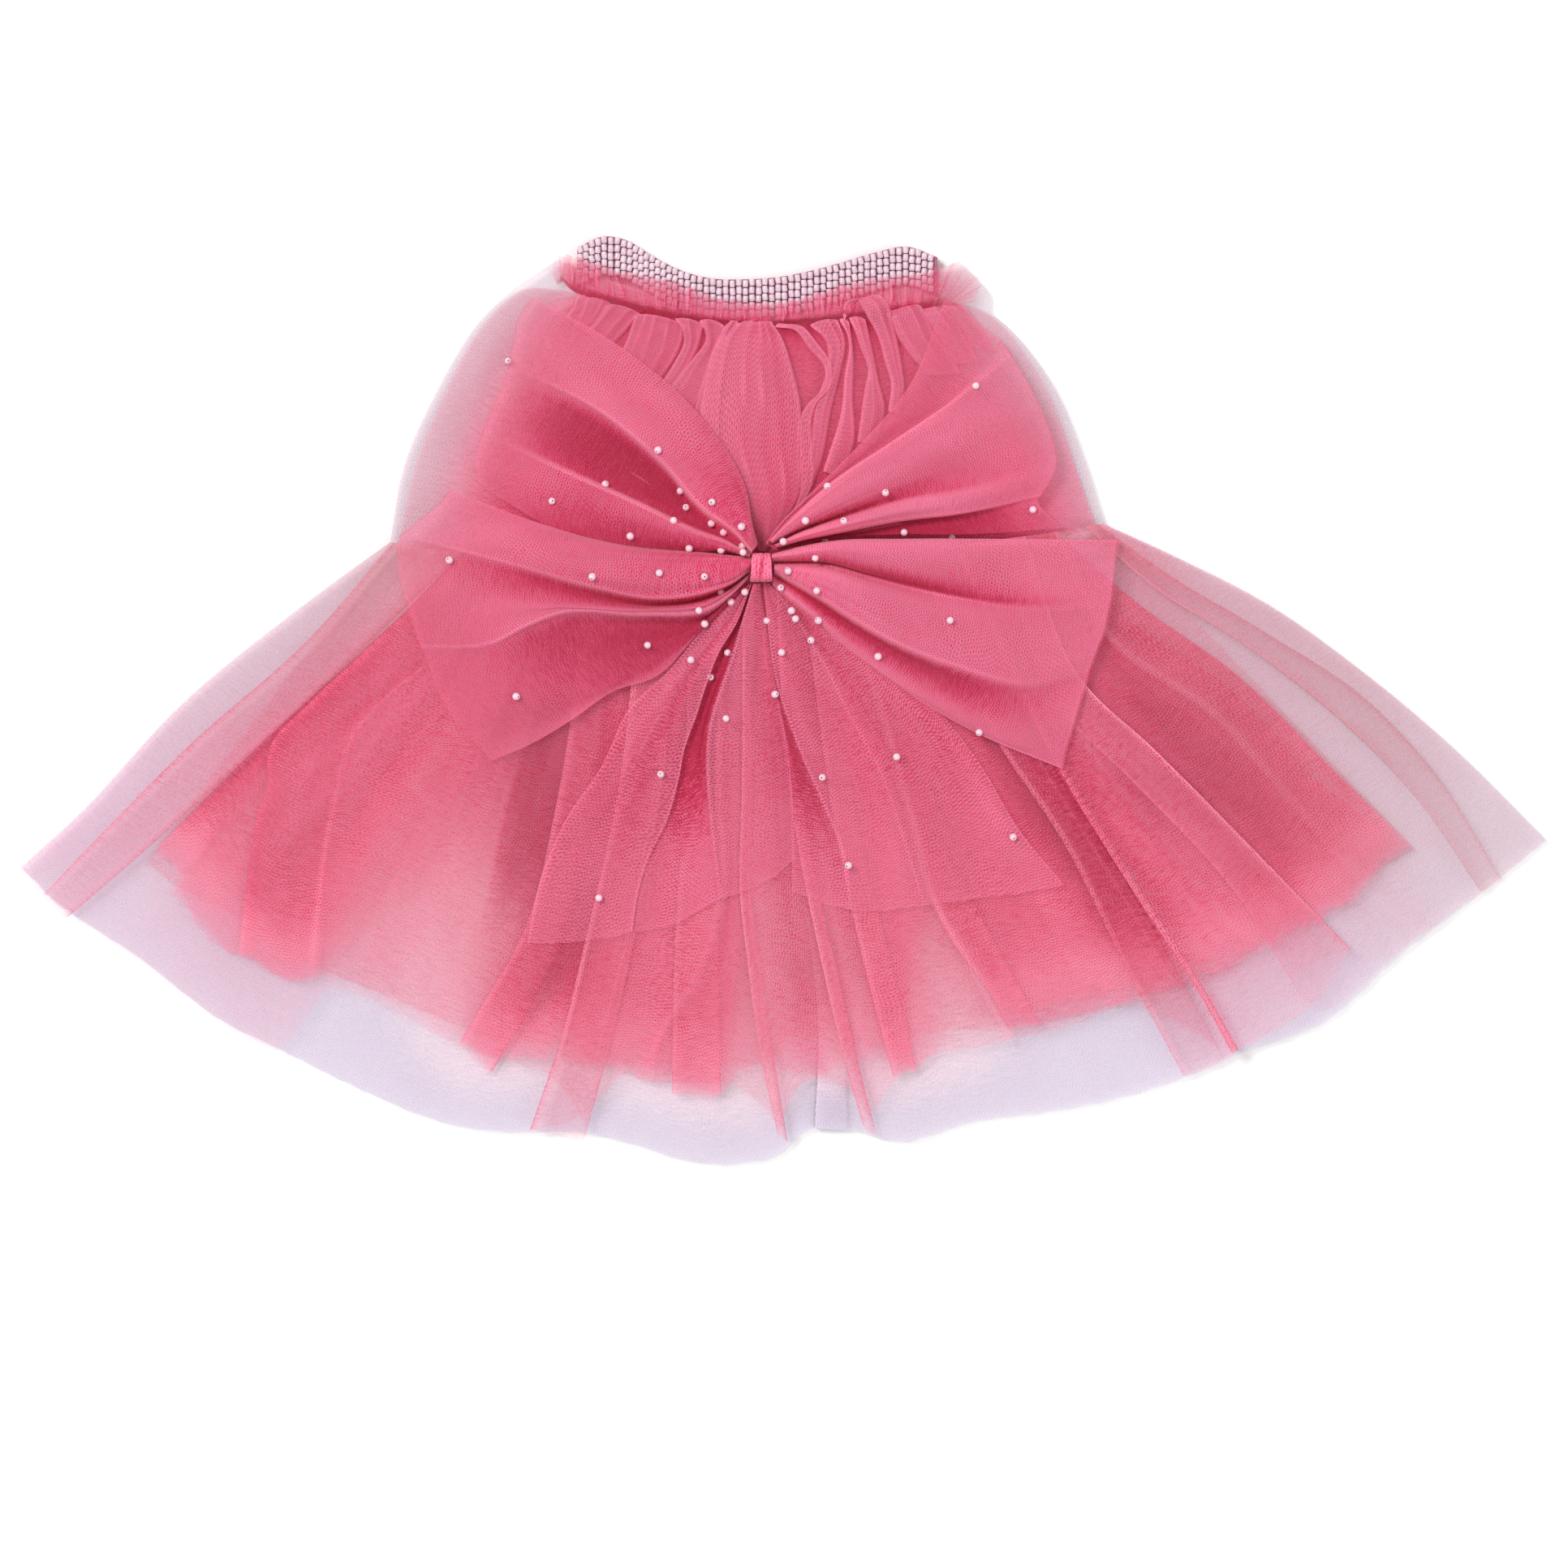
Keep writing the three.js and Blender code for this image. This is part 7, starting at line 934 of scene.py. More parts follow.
skirt_sheet("skirt_lining_back", [(ply, 0, line) for ply, _, line in SKIRT_LINING], 0, 0, 3.2, 48, 11, net_white, "skirt_lining_back",
            ripple=0.25)
skirt_sheet("skirt_back", simple_fan(None, 36, 0.9, 3.0), 1, 0, 3.4, 48, 23, net_under, "skirt_back",
            ripple=0.3)
skirt_sheet("skirt_lining_front", SKIRT_LINING, 2, 0.22, 2.6, 60, 37, net_lining_skirt, "skirt_lining_front",
            ripple=0.5, plies=1.0)
skirt_sheet("skirt_under_front", SKIRT_UNDER, 3, 0.45, 2.0, 96, 41, net_under, "skirt_under_front",
            ripple=0.8, ragged=0.9, soft=5.5, hem_painted_light=0.7)
skirt_sheet("skirt_middle_front", SKIRT_MIDDLE, 4, 0.67, 1.8, 104, 53, net_skirt, "skirt_middle_front",
            ripple=0.9, ragged=0.9, soft=5.5, hem_painted_light=0.7)
skirt_sheet("skirt_overlay_front", SKIRT_OVERLAY, 5, 0.9, 1.7, 92, 67, net_overlay, "skirt_overlay_front",
            ripple=0.9, ragged=0.25, relit=1.2, edge=1.8, streaks=0.09)


# ---- yoke --------------------------------------------------------------------------------------------------
def yoke_points(rows, inset, across, down):
    key = np.arange(len(rows))
    fine = hermite(key, rows, np.linspace(0, len(rows) - 1, down))
    u = np.linspace(0, 1, across)[:, None]
    left_x, left_y, right_x, right_y, sag, rim = (fine[None, :, k] for k in range(6))
    k = inset * rim / (right_x - left_x)
    v = k + (1 - 2 * k) * u
    return np.stack([left_x + (right_x - left_x) * v, left_y + (right_y - left_y) * v - 4 * v * (1 - v) * sag], axis=-1)


def yoke_sheet(name, rows, inset, level, share, wall, across, down, seed, ripple, ply, material, flat,
               extra=None, deeper=1.0, painted_shading=0.0, fade=0.65, heavy=0.0, painted_pink_light=0.0):
    plan = yoke_points(rows, inset, across, down)
    x, y = plan[..., 0], plan[..., 1]
    u = np.linspace(0, flat[0] * 1000, across)[:, None]
    v = np.linspace(0, 1, down)[None, :]
    relief = (0.9 * wave(u, 8.5, seed) * np.exp(-(v / 0.16) ** 2) + 0.9 * wave(u, 17, seed + 1) * np.exp(-(v / 0.4) ** 2)
              + 0.6 * wave(u + 10 * v, 37, seed + 2))
    ends = smooth(np.minimum(u, u[-1] - u) / 20)
    z = level * LEVEL + wall / 2 + share * puff(x, y) + ripple * relief * ends
    cloth = Cloth()
    edge = smooth(np.minimum(u, u[-1] - u) / 78)
    plies = ply * (1 - fade + fade * edge) * (1 + deeper * edge * np.exp(-(v / 0.2) ** 2)) * (1 + 0.7 * heavy * edge * smooth((v - 0.45) / 0.35)) * (1 + 2.2 * heavy * smooth((u / u[-1] - 0.82) / 0.1) * smooth((v - 0.55) / 0.3))
    # painted shade: darker between the lobes and most of all near the neck, with lighter strips at both side edges; on
    # the lining, painted pink light away from its edges
    painted_shading = painted_shading * (1 + 2.2 * np.exp(-(v / 0.10) ** 2)) * edge + 0.45 * heavy * (1 - smooth(u / 62)) + 0.2 * heavy * (1 - smooth((u[-1] - u) / 50))
    painted_shading = painted_shading - painted_pink_light * smooth((np.minimum(u, u[-1] - u) - 9) / 26)
    cloth.grid(np.stack([x, y, np.maximum(z, 0.25)], axis=-1), u, np.linspace(0, flat[1] * 1000, down)[None, :] + 0 * u, plies, relief=0.8, lit=painted_shading)
    if extra:
        extra(cloth)
    piece = dress(cloth.make(name + "_net"), material, name)
    return piece


def lobes(cloth):
    """The yoke's fullness stands up in lobes below the gathering stitch, each with its edges turned under."""
    down, across = 60, 34
    for n, (height, ply, left, right) in enumerate(LOBES):
        a, b = resample(left, down), resample(right, down)
        t = np.linspace(0, 1, down)[None, :]
        s = np.linspace(0, 1, across)[:, None]
        s = 0.5 - 0.5 * np.cos(math.pi * s)
        x = a[None, :, 0] + (b - a)[None, :, 0] * s
        y = a[None, :, 1] + (b - a)[None, :, 1] * s
        wide = np.linalg.norm(b - a, axis=1)[None, :]
        y = y - 1.3 * np.minimum(1, wide.max() / 12) * (1 - 4 * s * (1 - s)) * (1 - smooth(t / 0.12))
        arch = (4 * s * (1 - s)) ** 0.42
        swell = smooth(t / 0.14) * (1 - 0.35 * smooth((t - 0.45) / 0.55))
        low = 3 * LEVEL + YOKE_WALL * 0.5 + 0.7 * puff(x, y)
        z = low + 0.35 + swell * (height * 0.5 + np.minimum(height, wide * 0.22) * 0.45 * arch)
        z = z + 0.35 * wave(s * 26 + n * 7, 9, 300 + n) * swell * (1 - t) + 0.25 * wave(s * 14 + 20 * t, 11, 340 + n) * arch
        rim = np.exp(-(s * wide / 1.0) ** 2) + np.exp(-((1 - s) * wide / 1.0) ** 2)
        # the edges turn under the lobe
        z = z - (1.4 * np.exp(-(s * wide / 0.45) ** 2) + 1.4 * np.exp(-((1 - s) * wide / 0.45) ** 2)) * swell
        # folds inside the wide ones
        # painted fold lines inside the wide ones: lighter lines with darker strips beside them and more plies on them,
        # with no fold in the shape
        painted_fold_lines = 0
        for k in range(int(np.clip(wide.max() / 6.5, 0, 4))):
            at_s = (k + 0.6 + 0.25 * math.sin(5.1 * k + 2.3 * n)) / (int(np.clip(wide.max() / 6.5, 1, 4)) + 0.4) + 0.05 * np.sin(3.0 * t + k + n)
            painted_fold_lines = painted_fold_lines + (1 - 0.55 * smooth((t - 0.35 - 0.1 * k) / 0.5)) * (np.exp(-((s - at_s) * wide / 0.42) ** 2) - 0.6 * np.exp(-((s - at_s) * wide / 1.5 - 0.9) ** 2))
        # painted light and shade: lighter rims, fold lines and top edge, lighter on the left and darker on the right,
        # darker towards the bow and in a line just below the stitch
        lobe_painted_light = 0.34 + 0.72 * rim + 0.45 * painted_fold_lines + 0.34 * np.exp(-(t / 0.025) ** 2) + 0.16 * np.cos(math.pi * s) - 0.12 * smooth((t - 0.35) / 0.65) - 0.14 * np.exp(-((t - 0.06) / 0.05) ** 2)
        cloth.grid(np.stack([x, y, z], axis=-1), s * 1.25 * wide.max() + 0 * t, t * 46 + 0 * s + n * 3.7,
                   ply * (1 + 0.9 * rim) * (1 + 0.5 * np.clip(painted_fold_lines, 0, 1)) * (1 + 0.6 * np.exp(-(t / 0.15) ** 2)), relief=1.0, lit=lobe_painted_light)


LINING_ROWS = np.vstack([[(-83, 162.3, 65, 161.8, 17, 0), (-93.5, 155.5, 75.5, 150.5, 17, 0)], YOKE[1:]])
LINING_ROWS[2, :4] = (-101, 150, 76.8, 142.5)
yoke_sheet("yoke_lining_back", YOKE, 0, 0, 0, WALL, 90, 40, 71, 0.12, 1.6, net_lining,
           (0.27, 0.095), fade=0.0)
yoke_sheet("yoke_back", YOKE, 1, 1, 0, WALL, 110, 46, 73, 0.15, 2.2, net_under,
           (0.27, 0.095))
yoke_sheet("yoke_lining_front", LINING_ROWS, 0, 2, 0.35, WALL, 130, 52, 79, 0.3, 1.5, net_lining,
           (0.28, 0.105), fade=0.0, deeper=0.4, painted_pink_light=1.5)
yoke_sheet("yoke_front", YOKE, 1, 3, 0.7, YOKE_WALL * 0.6, 260, 80, 83, 0.55, 3.6, net_yoke,
           (0.40, 0.10), extra=lobes, painted_shading=-0.42, fade=0.84, heavy=1.0)


# ---- neck: beaded elastic and frill ------------------------------------------------------------------------
def band_line(t):
    """Top edge of the band and its run, for t from 0 to 1."""
    xs = np.linspace(NECK[0, 0], NECK[-1, 0], 400)
    ys = column(NECK, 0, xs, 1)
    run = np.concatenate([[0], np.cumsum(np.hypot(np.diff(xs), np.diff(ys)))])
    want = np.asarray(t) * run[-1]
    return np.interp(want, run, xs), np.interp(want, run, ys), run[-1]


def band(name, low, seed, bead_name):
    t = np.linspace(0, 1, 120)
    x, y, run = band_line(t)
    rows = []
    for s in np.linspace(0, 1, 9):
        rows.append(np.stack([x, y - s * BAND_HEIGHT, low + 0.5 + 0.15 * wave(t * run, 7, seed) + 0 * x], axis=-1))
    top = np.array(rows)
    under = top[::-1].copy()
    under[..., 2] = low + 0.1
    strip = Cloth().grid(np.concatenate([top, under]), closed=True)
    piece = dress(strip.make(name + "_elastic"), elastic, name)
    rnd = np.random.RandomState(seed)
    beads = Cloth()
    across, pitch, height = 5, 2.42, BAND_HEIGHT / 5.08
    count = int(run / pitch)
    for row in range(across):
        for k in range(count):
            at = (k + 0.5) * pitch / run
            if at > 0.995:
                continue
            bx, by, _ = band_line(at)
            ax, ay, _ = band_line(min(1, at + 0.004))
            turn = math.atan2(float(ay - by), float(ax - bx)) if ax != bx else 0
            # the barrels stand across the band, a little higher and lower in turn
            cx, cy = float(bx) + rnd.uniform(-0.08, 0.08), float(by) - (row + 0.52 + 0.16 * (k % 2 - 0.5)) * height
            beads.grid(bead(cx, cy, low + 1.4 + rnd.uniform(-0.14, 0.14), 0.4 * turn + math.pi / 2 + rnd.uniform(-0.12, 0.12),
                            1.36 * rnd.uniform(0.93, 1.02), 1.13 * rnd.uniform(0.94, 1.03)), closed=True)
    jewels = dress(beads.make(bead_name), band_bead, None)
    return piece


def bead(x, y, z, turn, half_long, radius, sides=8):
    """A short barrel bead lying along the band."""
    profile = [(-1, 0.34), (-0.98, 0.72), (-0.80, 0.94), (-0.35, 1.0), (0.35, 1.0), (0.80, 0.94), (0.98, 0.72), (1, 0.34)]
    angle = np.arange(sides) * 2 * math.pi / sides
    out = np.zeros((sides, len(profile), 3))
    for j, (along, r) in enumerate(profile):
        a, b = along * half_long, r * radius
        out[:, j, 0] = a
        out[:, j, 1] = b * np.cos(angle)
        out[:, j, 2] = b * np.sin(angle)
    c, s = math.cos(turn), math.sin(turn)
    px, py = out[..., 0] * c - out[..., 1] * s, out[..., 0] * s + out[..., 1] * c
    return np.stack([x + px, y + py, z + out[..., 2]], axis=-1)


band("neck_band_back", LEVEL, 5, "neck_beads_back")
band("neck_band_front", LEVEL + BAND_WALL + GAP, 6, "neck_beads_front")


def frill(name, low, height, plies, seed, material, trim):
    """The gathered edge that stands up over the band; it fans out past the band at both ends."""
    across, up = 900, 18
    t = np.linspace(0, 1, up)[None, :]
    run = np.concatenate([[0], np.cumsum(np.hypot(np.diff(FRILL[:, 2]), np.diff(FRILL[:, 3])))])
    line = hermite(run, FRILL, np.linspace(0, run[-1], across))
    base_x, base_y, top_x, top_y, full = (line[:, k:k + 1] for k in range(5))
    width = np.linspace(0, 1, across)[:, None] * 340
    # narrow gathers that wander as they go up
    sway = 0.55 * wave(width, 5.3, seed) * t + 1.3 * wave(width, 23, seed + 1) * t * np.minimum(1, full)
    reach = top_y - trim + 0.8 * wave(width, 7.5, seed + 2) + 0.5 * wave(width, 3.4, seed + 3)
    x = base_x + (top_x - base_x) * t + sway
    y = base_y + (reach - base_y) * t
    stitched = np.exp(-((t - 0.03) / 0.12) ** 2)
    z = low + WALL / 2 + height * (0.35 + 0.65 * np.sin(math.pi * np.clip(0.12 + 0.75 * t, 0, 1))) - 1.6 * stitched
    z = z + (0.45 * wave(width, 8.1, seed + 4) + 0.16 * wave(width, 2.9, seed + 5)) * (0.45 + 0.55 * t) * min(1, height + 0.15)
    # pleats: thin lines where the net doubles back, drawn as extra plies with a painted highlight on each and painted
    # shade beside it
    rnd = np.random.RandomState(seed + 9)
    pleats, gaps = 0, 0
    for _ in range(84):
        at, lean_by, bow_by = rnd.uniform(3, 337), rnd.uniform(-5, 5), rnd.uniform(-2.5, 2.5)
        wide, strong = rnd.uniform(0.28, 0.62), rnd.uniform(0.35, 1)
        crease = np.exp(-((width - at - lean_by * t - bow_by * np.sin(math.pi * t)) / wide) ** 2)
        beside = np.exp(-((width - at - 1.3 - lean_by * t - bow_by * np.sin(math.pi * t)) / (1.5 * wide)) ** 2)
        shown = smooth((t - rnd.uniform(0, 0.3)) / 0.2) * (1 - smooth((t - rnd.uniform(0.75, 1.1)) / 0.15))
        pleats, gaps = pleats + strong * crease * shown, gaps + strong * beside * shown
    pleats, gaps = np.minimum(pleats, 1.2), np.minimum(gaps, 1.2)
    ply = plies * (1.05 + 0.25 * wave(width, 9.1, seed + 7)) * (1.15 - 0.92 * t ** 2.0) * (1 + 0.7 * pleats) * full + 2.2 * stitched * full
    # painted light and shade: lighter pleats and top, darker beside the pleats and along the gathering stitch, with
    # uneven tone
    frill_painted_light = 0.62 * pleats - 0.44 * gaps + 0.22 * (t - 0.5) - 1.2 * stitched * (0.3 + 0.7 * smooth(np.minimum(width, 340 - width) / 70)) - 0.18 + 0.16 * wave(width, 13, seed + 6)
    cloth = Cloth().grid(np.stack([x, y, np.maximum(z, 0.2)], axis=-1), width + 0 * t, 16 * t + 0 * width, np.clip(ply, 0.15, 9), relief=0.5, lit=frill_painted_light)
    piece = dress(cloth.make(name + "_net"), material, name)
    return piece


frill("neck_frill_back", 0, 0.15, 2.0, 91, net_under, 1.5)
frill("neck_frill_front", LEVEL + 2 * BAND_WALL + 2 * GAP, 1.0, 3.4, 95, net_yoke, 0)


# ---- bow ---------------------------------------------------------------------------------------------------
bow_pieces = []


def loop(name, ribs, seed, sheer):
    """A loop's front wall through its fold lines, the turn at its far edge, and its flat back wall."""
    along = 76
    points, at, ply, tone_and_painted_light = loft(ribs, along, 1.1)
    across = len(at)
    width = cloth_width(points)
    b = np.linspace(0, 1, along)[None, :]
    # fine creases that run out from the knot
    near = np.exp(-(b / 0.34) ** 1.5)
    relief = (0.55 * wave(at[:, None] * 1.0, 2.7, seed) * near
              + 0.40 * wave(at[:, None] + 3 * b, 6.1, seed + 1) * np.exp(-(b / 0.6) ** 2)
              + 0.28 * wave(at[:, None] * 0.9 + 16 * b, 13, seed + 2) * (1 - near)
              + 0.16 * wave(width[:, None] + 40 * b, 19, seed + 3))
    x, y, z = points[..., 0], points[..., 1], points[..., 2] * 1.28
    height = bow_base(x, y) + z + relief * smooth(b / 0.06)
    front = np.stack([x, y, height], axis=-1)
    # back wall: the same outline, level, a little inside
    first, last = points[0], points[-1]
    s = np.linspace(0, 1, 40)[:, None, None]
    weight = np.linspace(0, 1, 40)
    order = np.clip(np.round(np.interp(weight, [0, 1], [0, across - 1])).astype(int), 0, across - 1)
    level = first[None] * (1 - s) + last[None] * s
    outline = points[order, -1]
    fade = smooth((b - 0.55) / 0.45)[..., None]
    target = level + (outline[:, None, :] - level[:, -1:, :]) * fade
    bx, by = target[..., 0], target[..., 1]
    bz = bow_base(bx, by) + 0.7 + 0.25 * wave(s[..., 0] * 90, 11, seed + 7) * np.exp(-(b / 0.5) ** 2)
    back = np.stack([bx, by, bz], axis=-1)
    # turn at the far edge, from the front wall down to the back wall
    rim_front = front[:, -1]
    pick = np.interp(np.arange(across), np.linspace(0, across - 1, 40), np.arange(40))
    rim_back = np.stack([np.interp(pick, np.arange(40), back[:, -1, k]) for k in range(3)], axis=-1)
    out = rim_front - front[:, -6]
    out[:, 2] = 0
    out = out / np.maximum(np.linalg.norm(out, axis=1, keepdims=True), 1e-6)
    turn = []
    for t in np.linspace(0, 1, 7):
        p = rim_front * (1 - t) + rim_back * t
        turn.append(p + out * 0.9 * math.sin(math.pi * t))
    turn = np.stack(turn, axis=1)
    cloth = Cloth()
    length = np.concatenate([[0], np.cumsum(np.linalg.norm(np.diff(points, axis=1), axis=2).mean(axis=0))])
    dense = 1 + 1.6 * np.exp(-(b / 0.22) ** 2)
    thin = 1 - sheer * smooth((b - 0.62) / 0.36)
    # painted lighter towards the sheer far edge
    tone_and_painted_light = tone_and_painted_light + 0.48 * sheer * smooth((b - 0.6) / 0.38)
    cloth.grid(front, width[:, None] + 0 * b, length[None, :] + 0 * width[:, None], ply * dense * thin, relief=0.85, lit=tone_and_painted_light, reach=9)
    # painted highlight: the turn at the far edge is a little lighter
    cloth.grid(turn, width[:, None] + np.zeros((1, 7)), length[-1] + np.linspace(0, 3, 7)[None, :] + 0 * width[:, None], (1 - sheer) * 0.7 * ply[:, -1:] + np.zeros((1, 7)), lit=0.1)
    wide = np.linspace(0, width[-1], 40)[:, None]
    cloth.grid(back, wide + 0 * b, length[-1] * 2 - length[None, :] + 0 * wide, (1.6 * (0.8 + 0.7 * np.exp(-(b / 0.25) ** 2))) * (1 - 0.7 * sheer * smooth((b - 0.6) / 0.4)) + 0 * wide)
    piece = dress(cloth.make(name + "_net"), net_bow, name)
    bow_pieces.append(piece)
    return piece


def tail(name, ribs, seed, flat):
    along = 84
    points, at, ply, tone_and_painted_light = loft(ribs, along, 1.1)
    width = cloth_width(points)
    b = np.linspace(0, 1, along)[None, :]
    near = np.exp(-(b / 0.28) ** 1.5)
    relief = (0.4 * wave(at[:, None], 2.6, seed) * near + 0.28 * wave(at[:, None] + 3 * b, 7, seed + 1)
              + 0.2 * wave(width[:, None] + 40 * b, 17, seed + 3))
    x, y, z = points[..., 0].copy(), points[..., 1].copy(), points[..., 2]
    cut = 0.35 * (wave(width[:, None], 3.3, seed + 5) + 0.6 * wave(width[:, None], 12, seed + 6)) * smooth((b - 0.94) / 0.06)
    y = y + cut
    height = bow_base(x, y) - 0.6 - 1.1 * smooth((b - 0.25) / 0.5) + z * 0.9 + relief * smooth(b / 0.06)
    # painted light: a bright line at the hem and lighter towards the end, with uneven tone along the cloth
    tone_and_painted_light = tone_and_painted_light + 0.35 * smooth((b - 0.975) / 0.02) + 0.48 * smooth((b - 0.6) / 0.3) + 0.13 * wave(at[:, None] + 2 * b, 2.9, seed + 8) + 0.10 * wave(width[:, None] + 9 * b, 4.1, seed + 9)
    dense = gathered(points, width, 1.0, 2.6)
    length = np.concatenate([[0], np.cumsum(np.linalg.norm(np.diff(points, axis=1), axis=2).mean(axis=0))])
    cloth = Cloth().grid(np.stack([x, y, height], axis=-1), width[:, None] + 0 * b, length[None, :] + 0 * width[:, None], ply * dense, relief=0.8, lit=tone_and_painted_light)
    piece = dress(cloth.make(name + "_net"), net_tail, name)
    bow_pieces.append(piece)
    return piece


tail("bow_tail_left", TAIL_LEFT, 131, ((0.085, 0.125), 0.0088))
tail("bow_tail_right", TAIL_RIGHT, 139, ((0.085, 0.125), 0.0088))
loop("bow_loop_upper_left", LOOP_UPPER_LEFT, 101, 0.8)
loop("bow_loop_lower_left", LOOP_LOWER_LEFT, 109, 0.68)
loop("bow_loop_upper_right", LOOP_UPPER_RIGHT, 117, 0.6)
loop("bow_loop_lower_right", LOOP_LOWER_RIGHT, 125, 0.35)

# the knot: a folded strip wrapped round the pinched middle; painted shade darkens its creases, its ends and its sides
# where it turns under
knot_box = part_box("bow_knot")
kx, ky, kz = ((knot_box[0][k] + knot_box[1][k]) / 2 / MM for k in range(3))
hx, hy, hz = ((knot_box[1][k] - knot_box[0][k]) / 2 / MM for k in range(3))
s = np.linspace(-1, 1, 40)[None, :]
angle = (np.arange(64) * 2 * math.pi / 64)[:, None]
c, d = np.cos(angle), np.sin(angle)
creases = 1.0 * np.exp(-((s - 0.05 - 0.08 * c) / 0.15) ** 2) + 0.35 * np.exp(-((s + 0.42) / 0.07) ** 2) + 0.4 * np.exp(-((s - 0.56) / 0.07) ** 2)
wrap = 1 - 0.05 * creases - 0.09 * np.abs(s) ** 7
knot = Cloth().grid(np.stack([
    kx + hx * 1.14 * s * (1 - 0.10 * c) + 0.35 * c * (1 - s * s),
    ky - 0.2 + (hy + 0.55) * wrap * np.sign(c) * np.abs(c) ** 0.72,
    kz + 2.6 + (hz + 1.9) * (wrap - 0.13 * creases) * np.sign(d) * np.abs(d) ** 0.72], axis=-1),
    angle * 5.2 + 0 * s, (s + 1) * hx + 0 * angle, 9.0, closed=True,
    lit=0.35 - 0.72 * creases * np.exp(-(c / 0.62) ** 4) - 0.35 * np.abs(s) ** 12 - 0.30 * np.abs(c) ** 6)
knot = dress(knot.make("bow_knot_net"), net_bow, "bow_knot")
bow_pieces.append(knot)


# ---- pearls ------------------------------------------------------------------------------------------------
def surface_above(pieces):
    vertices, faces = [], []
    for piece in pieces:
        base = len(vertices)
        vertices.extend(v.co.copy() for v in piece.data.vertices)
        faces.extend([i + base for i in p.vertices] for p in piece.data.polygons)
    return BVHTree.FromPolygons(vertices, faces)


top = surface_above(bow_pieces + [bpy.data.objects["yoke_front_net"], bpy.data.objects["skirt_overlay_front_net"]])


def seed_pearl(where, normal, radius, rnd):
    """A round pearl with the hole that its thread goes through."""
    profile = [(0.30, 0.55), (0.20, 0.86), (0.27, 0.975), (0.50, 0.90), (0.72, 0.72), (0.90, 0.44), (0.995, 0.12),
               (0.985, -0.25), (0.88, -0.50), (0.68, -0.75), (0.45, -0.90), (0.27, -0.975), (0.20, -0.86), (0.30, -0.55)]
    sides = 16
    out = np.zeros((sides, len(profile), 3))
    a = np.arange(sides) * 2 * math.pi / sides
    for j, (r, h) in enumerate(profile):
        out[:, j, 0], out[:, j, 1], out[:, j, 2] = r * np.cos(a), r * np.sin(a), h
    axis = Vector(normal) + Vector((rnd.uniform(-1, 1), rnd.uniform(-1, 1), rnd.uniform(-0.6, 0.6))) * rnd.choice([0.3, 1.6, 2.6])
    turn = np.array(Vector((0, 0, 1)).rotation_difference(axis.normalized()).to_matrix())
    return (out * radius) @ turn.T + np.asarray(where)


rnd = np.random.RandomState(7)
pearls, threads = Cloth(), Cloth()
for x, y in PEARLS:
    hit, normal, _, _ = top.ray_cast(Vector((x * MM, y * MM, 0.08)), Vector((0, 0, -1)))
    if hit is None:
        continue
    normal = normal if normal.z > 0 else -normal
    radius = 1.36 * rnd.uniform(0.95, 1.05)
    where = (x, y, hit.z / MM + radius * 0.72)
    pearls.grid(seed_pearl(where, normal, radius, rnd), closed=True)
    # the stitch under it
    a = rnd.uniform(0, math.pi)
    ring = []
    for j in range(9):
        t = j / 8 * 2 - 1
        p = np.array([x + 1.9 * t * math.cos(a), y + 1.9 * t * math.sin(a), hit.z / MM + 0.15 + 0.5 * (1 - t * t)])
        ring.append([p + 0.11 * np.array([-math.sin(a) * math.cos(k), math.cos(a) * math.cos(k), math.sin(k)]) for k in (0, 2.1, 4.2)])
    threads.grid(np.swapaxes(np.array(ring), 0, 1), closed=True)
pearl_piece = dress(pearls.make("pearls"), pearl, None)
thread_piece = dress(threads.make("pearl_stitches"), elastic, None)


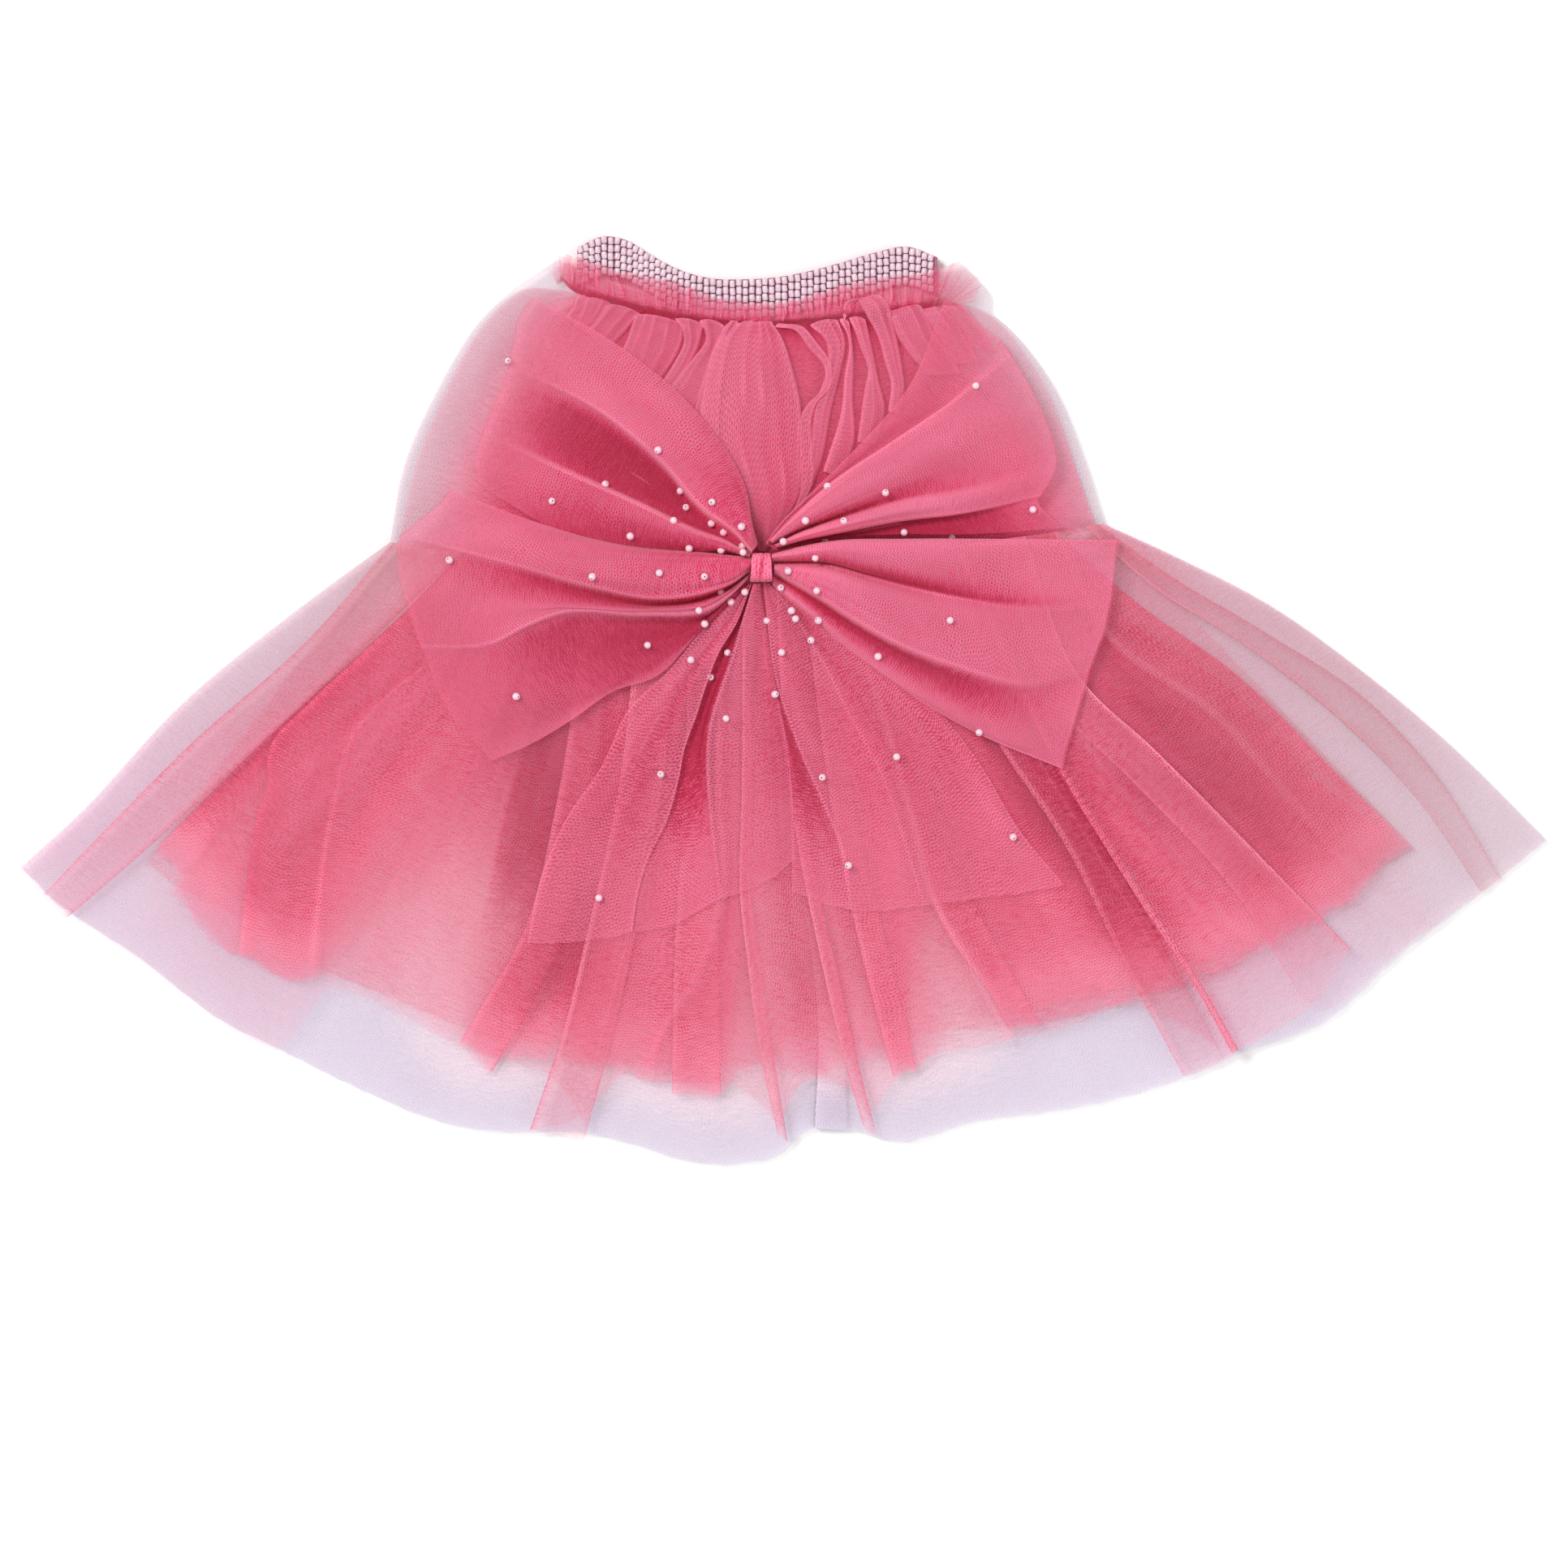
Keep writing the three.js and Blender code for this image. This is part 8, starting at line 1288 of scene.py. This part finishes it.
# ---- stage, light and camera -------------------------------------------------------------------------------
def floor_sheet():
    size, mesh = 3.0, bpy.data.meshes.new("floor")
    mesh.from_pydata([(-size, -size, -0.0004), (size, -size, -0.0004), (size, size, -0.0004), (-size, size, -0.0004)], [], [(0, 1, 2, 3)])
    floor = bpy.data.objects.new("floor", mesh)
    bpy.context.scene.collection.objects.link(floor)
    material, tree, out = shader("floor")
    where = tree.nodes.new("ShaderNodeTexCoord").outputs["Object"]
    link(tree, colour_mix(tree, noise(tree, where, 3, 2), (0.93, 0.93, 0.93), (0.95, 0.95, 0.95)), out.inputs["Base Color"])
    out.inputs["Roughness"].default_value = 0.9
    out.inputs["Specular IOR Level"].default_value = 0.1
    mesh.materials.append(material)
    return floor


floor_sheet()


def area_light(name, at, size, power, colour):
    data = bpy.data.lights.new(name, "AREA")
    data.shape, data.size, data.energy, data.color = "DISK", size, power, colour
    lamp = bpy.data.objects.new(name, data)
    lamp.location = at
    lamp.rotation_euler = (Vector((0, 0, 0)) - Vector(at)).to_track_quat("-Z", "Y").to_euler()
    bpy.context.scene.collection.objects.link(lamp)


area_light("key", (-2.4, 1.9, 4.6), 1.8, 200, (1, 0.985, 0.97))
area_light("fill", (2.2, -0.9, 2.4), 2.2, 26, (0.98, 0.98, 1))
world = bpy.data.worlds.new("studio")
bpy.context.scene.world = world
world.use_nodes = True
world.node_tree.nodes["Background"].inputs["Color"].default_value = (1, 1, 1, 1)
world.node_tree.nodes["Background"].inputs["Strength"].default_value = 0.6

camera_data = bpy.data.cameras.new("camera")
camera = bpy.data.objects.new("camera", camera_data)
bpy.context.scene.collection.objects.link(camera)
centre = (CAD_BOX[0] + CAD_BOX[1]) / 2
HEIGHT, VIEW = 3.0, 0.5796
camera.location = (centre.x + 0.00042, centre.y - 0.03119, HEIGHT)
camera_data.sensor_width = 36
camera_data.lens = 36 * HEIGHT / VIEW
camera_data.clip_start, camera_data.clip_end = 0.1, 20
bpy.context.scene.camera = camera
bpy.context.scene.view_settings.view_transform = "Standard"
bpy.context.scene.cycles.transparent_max_bounces = 32
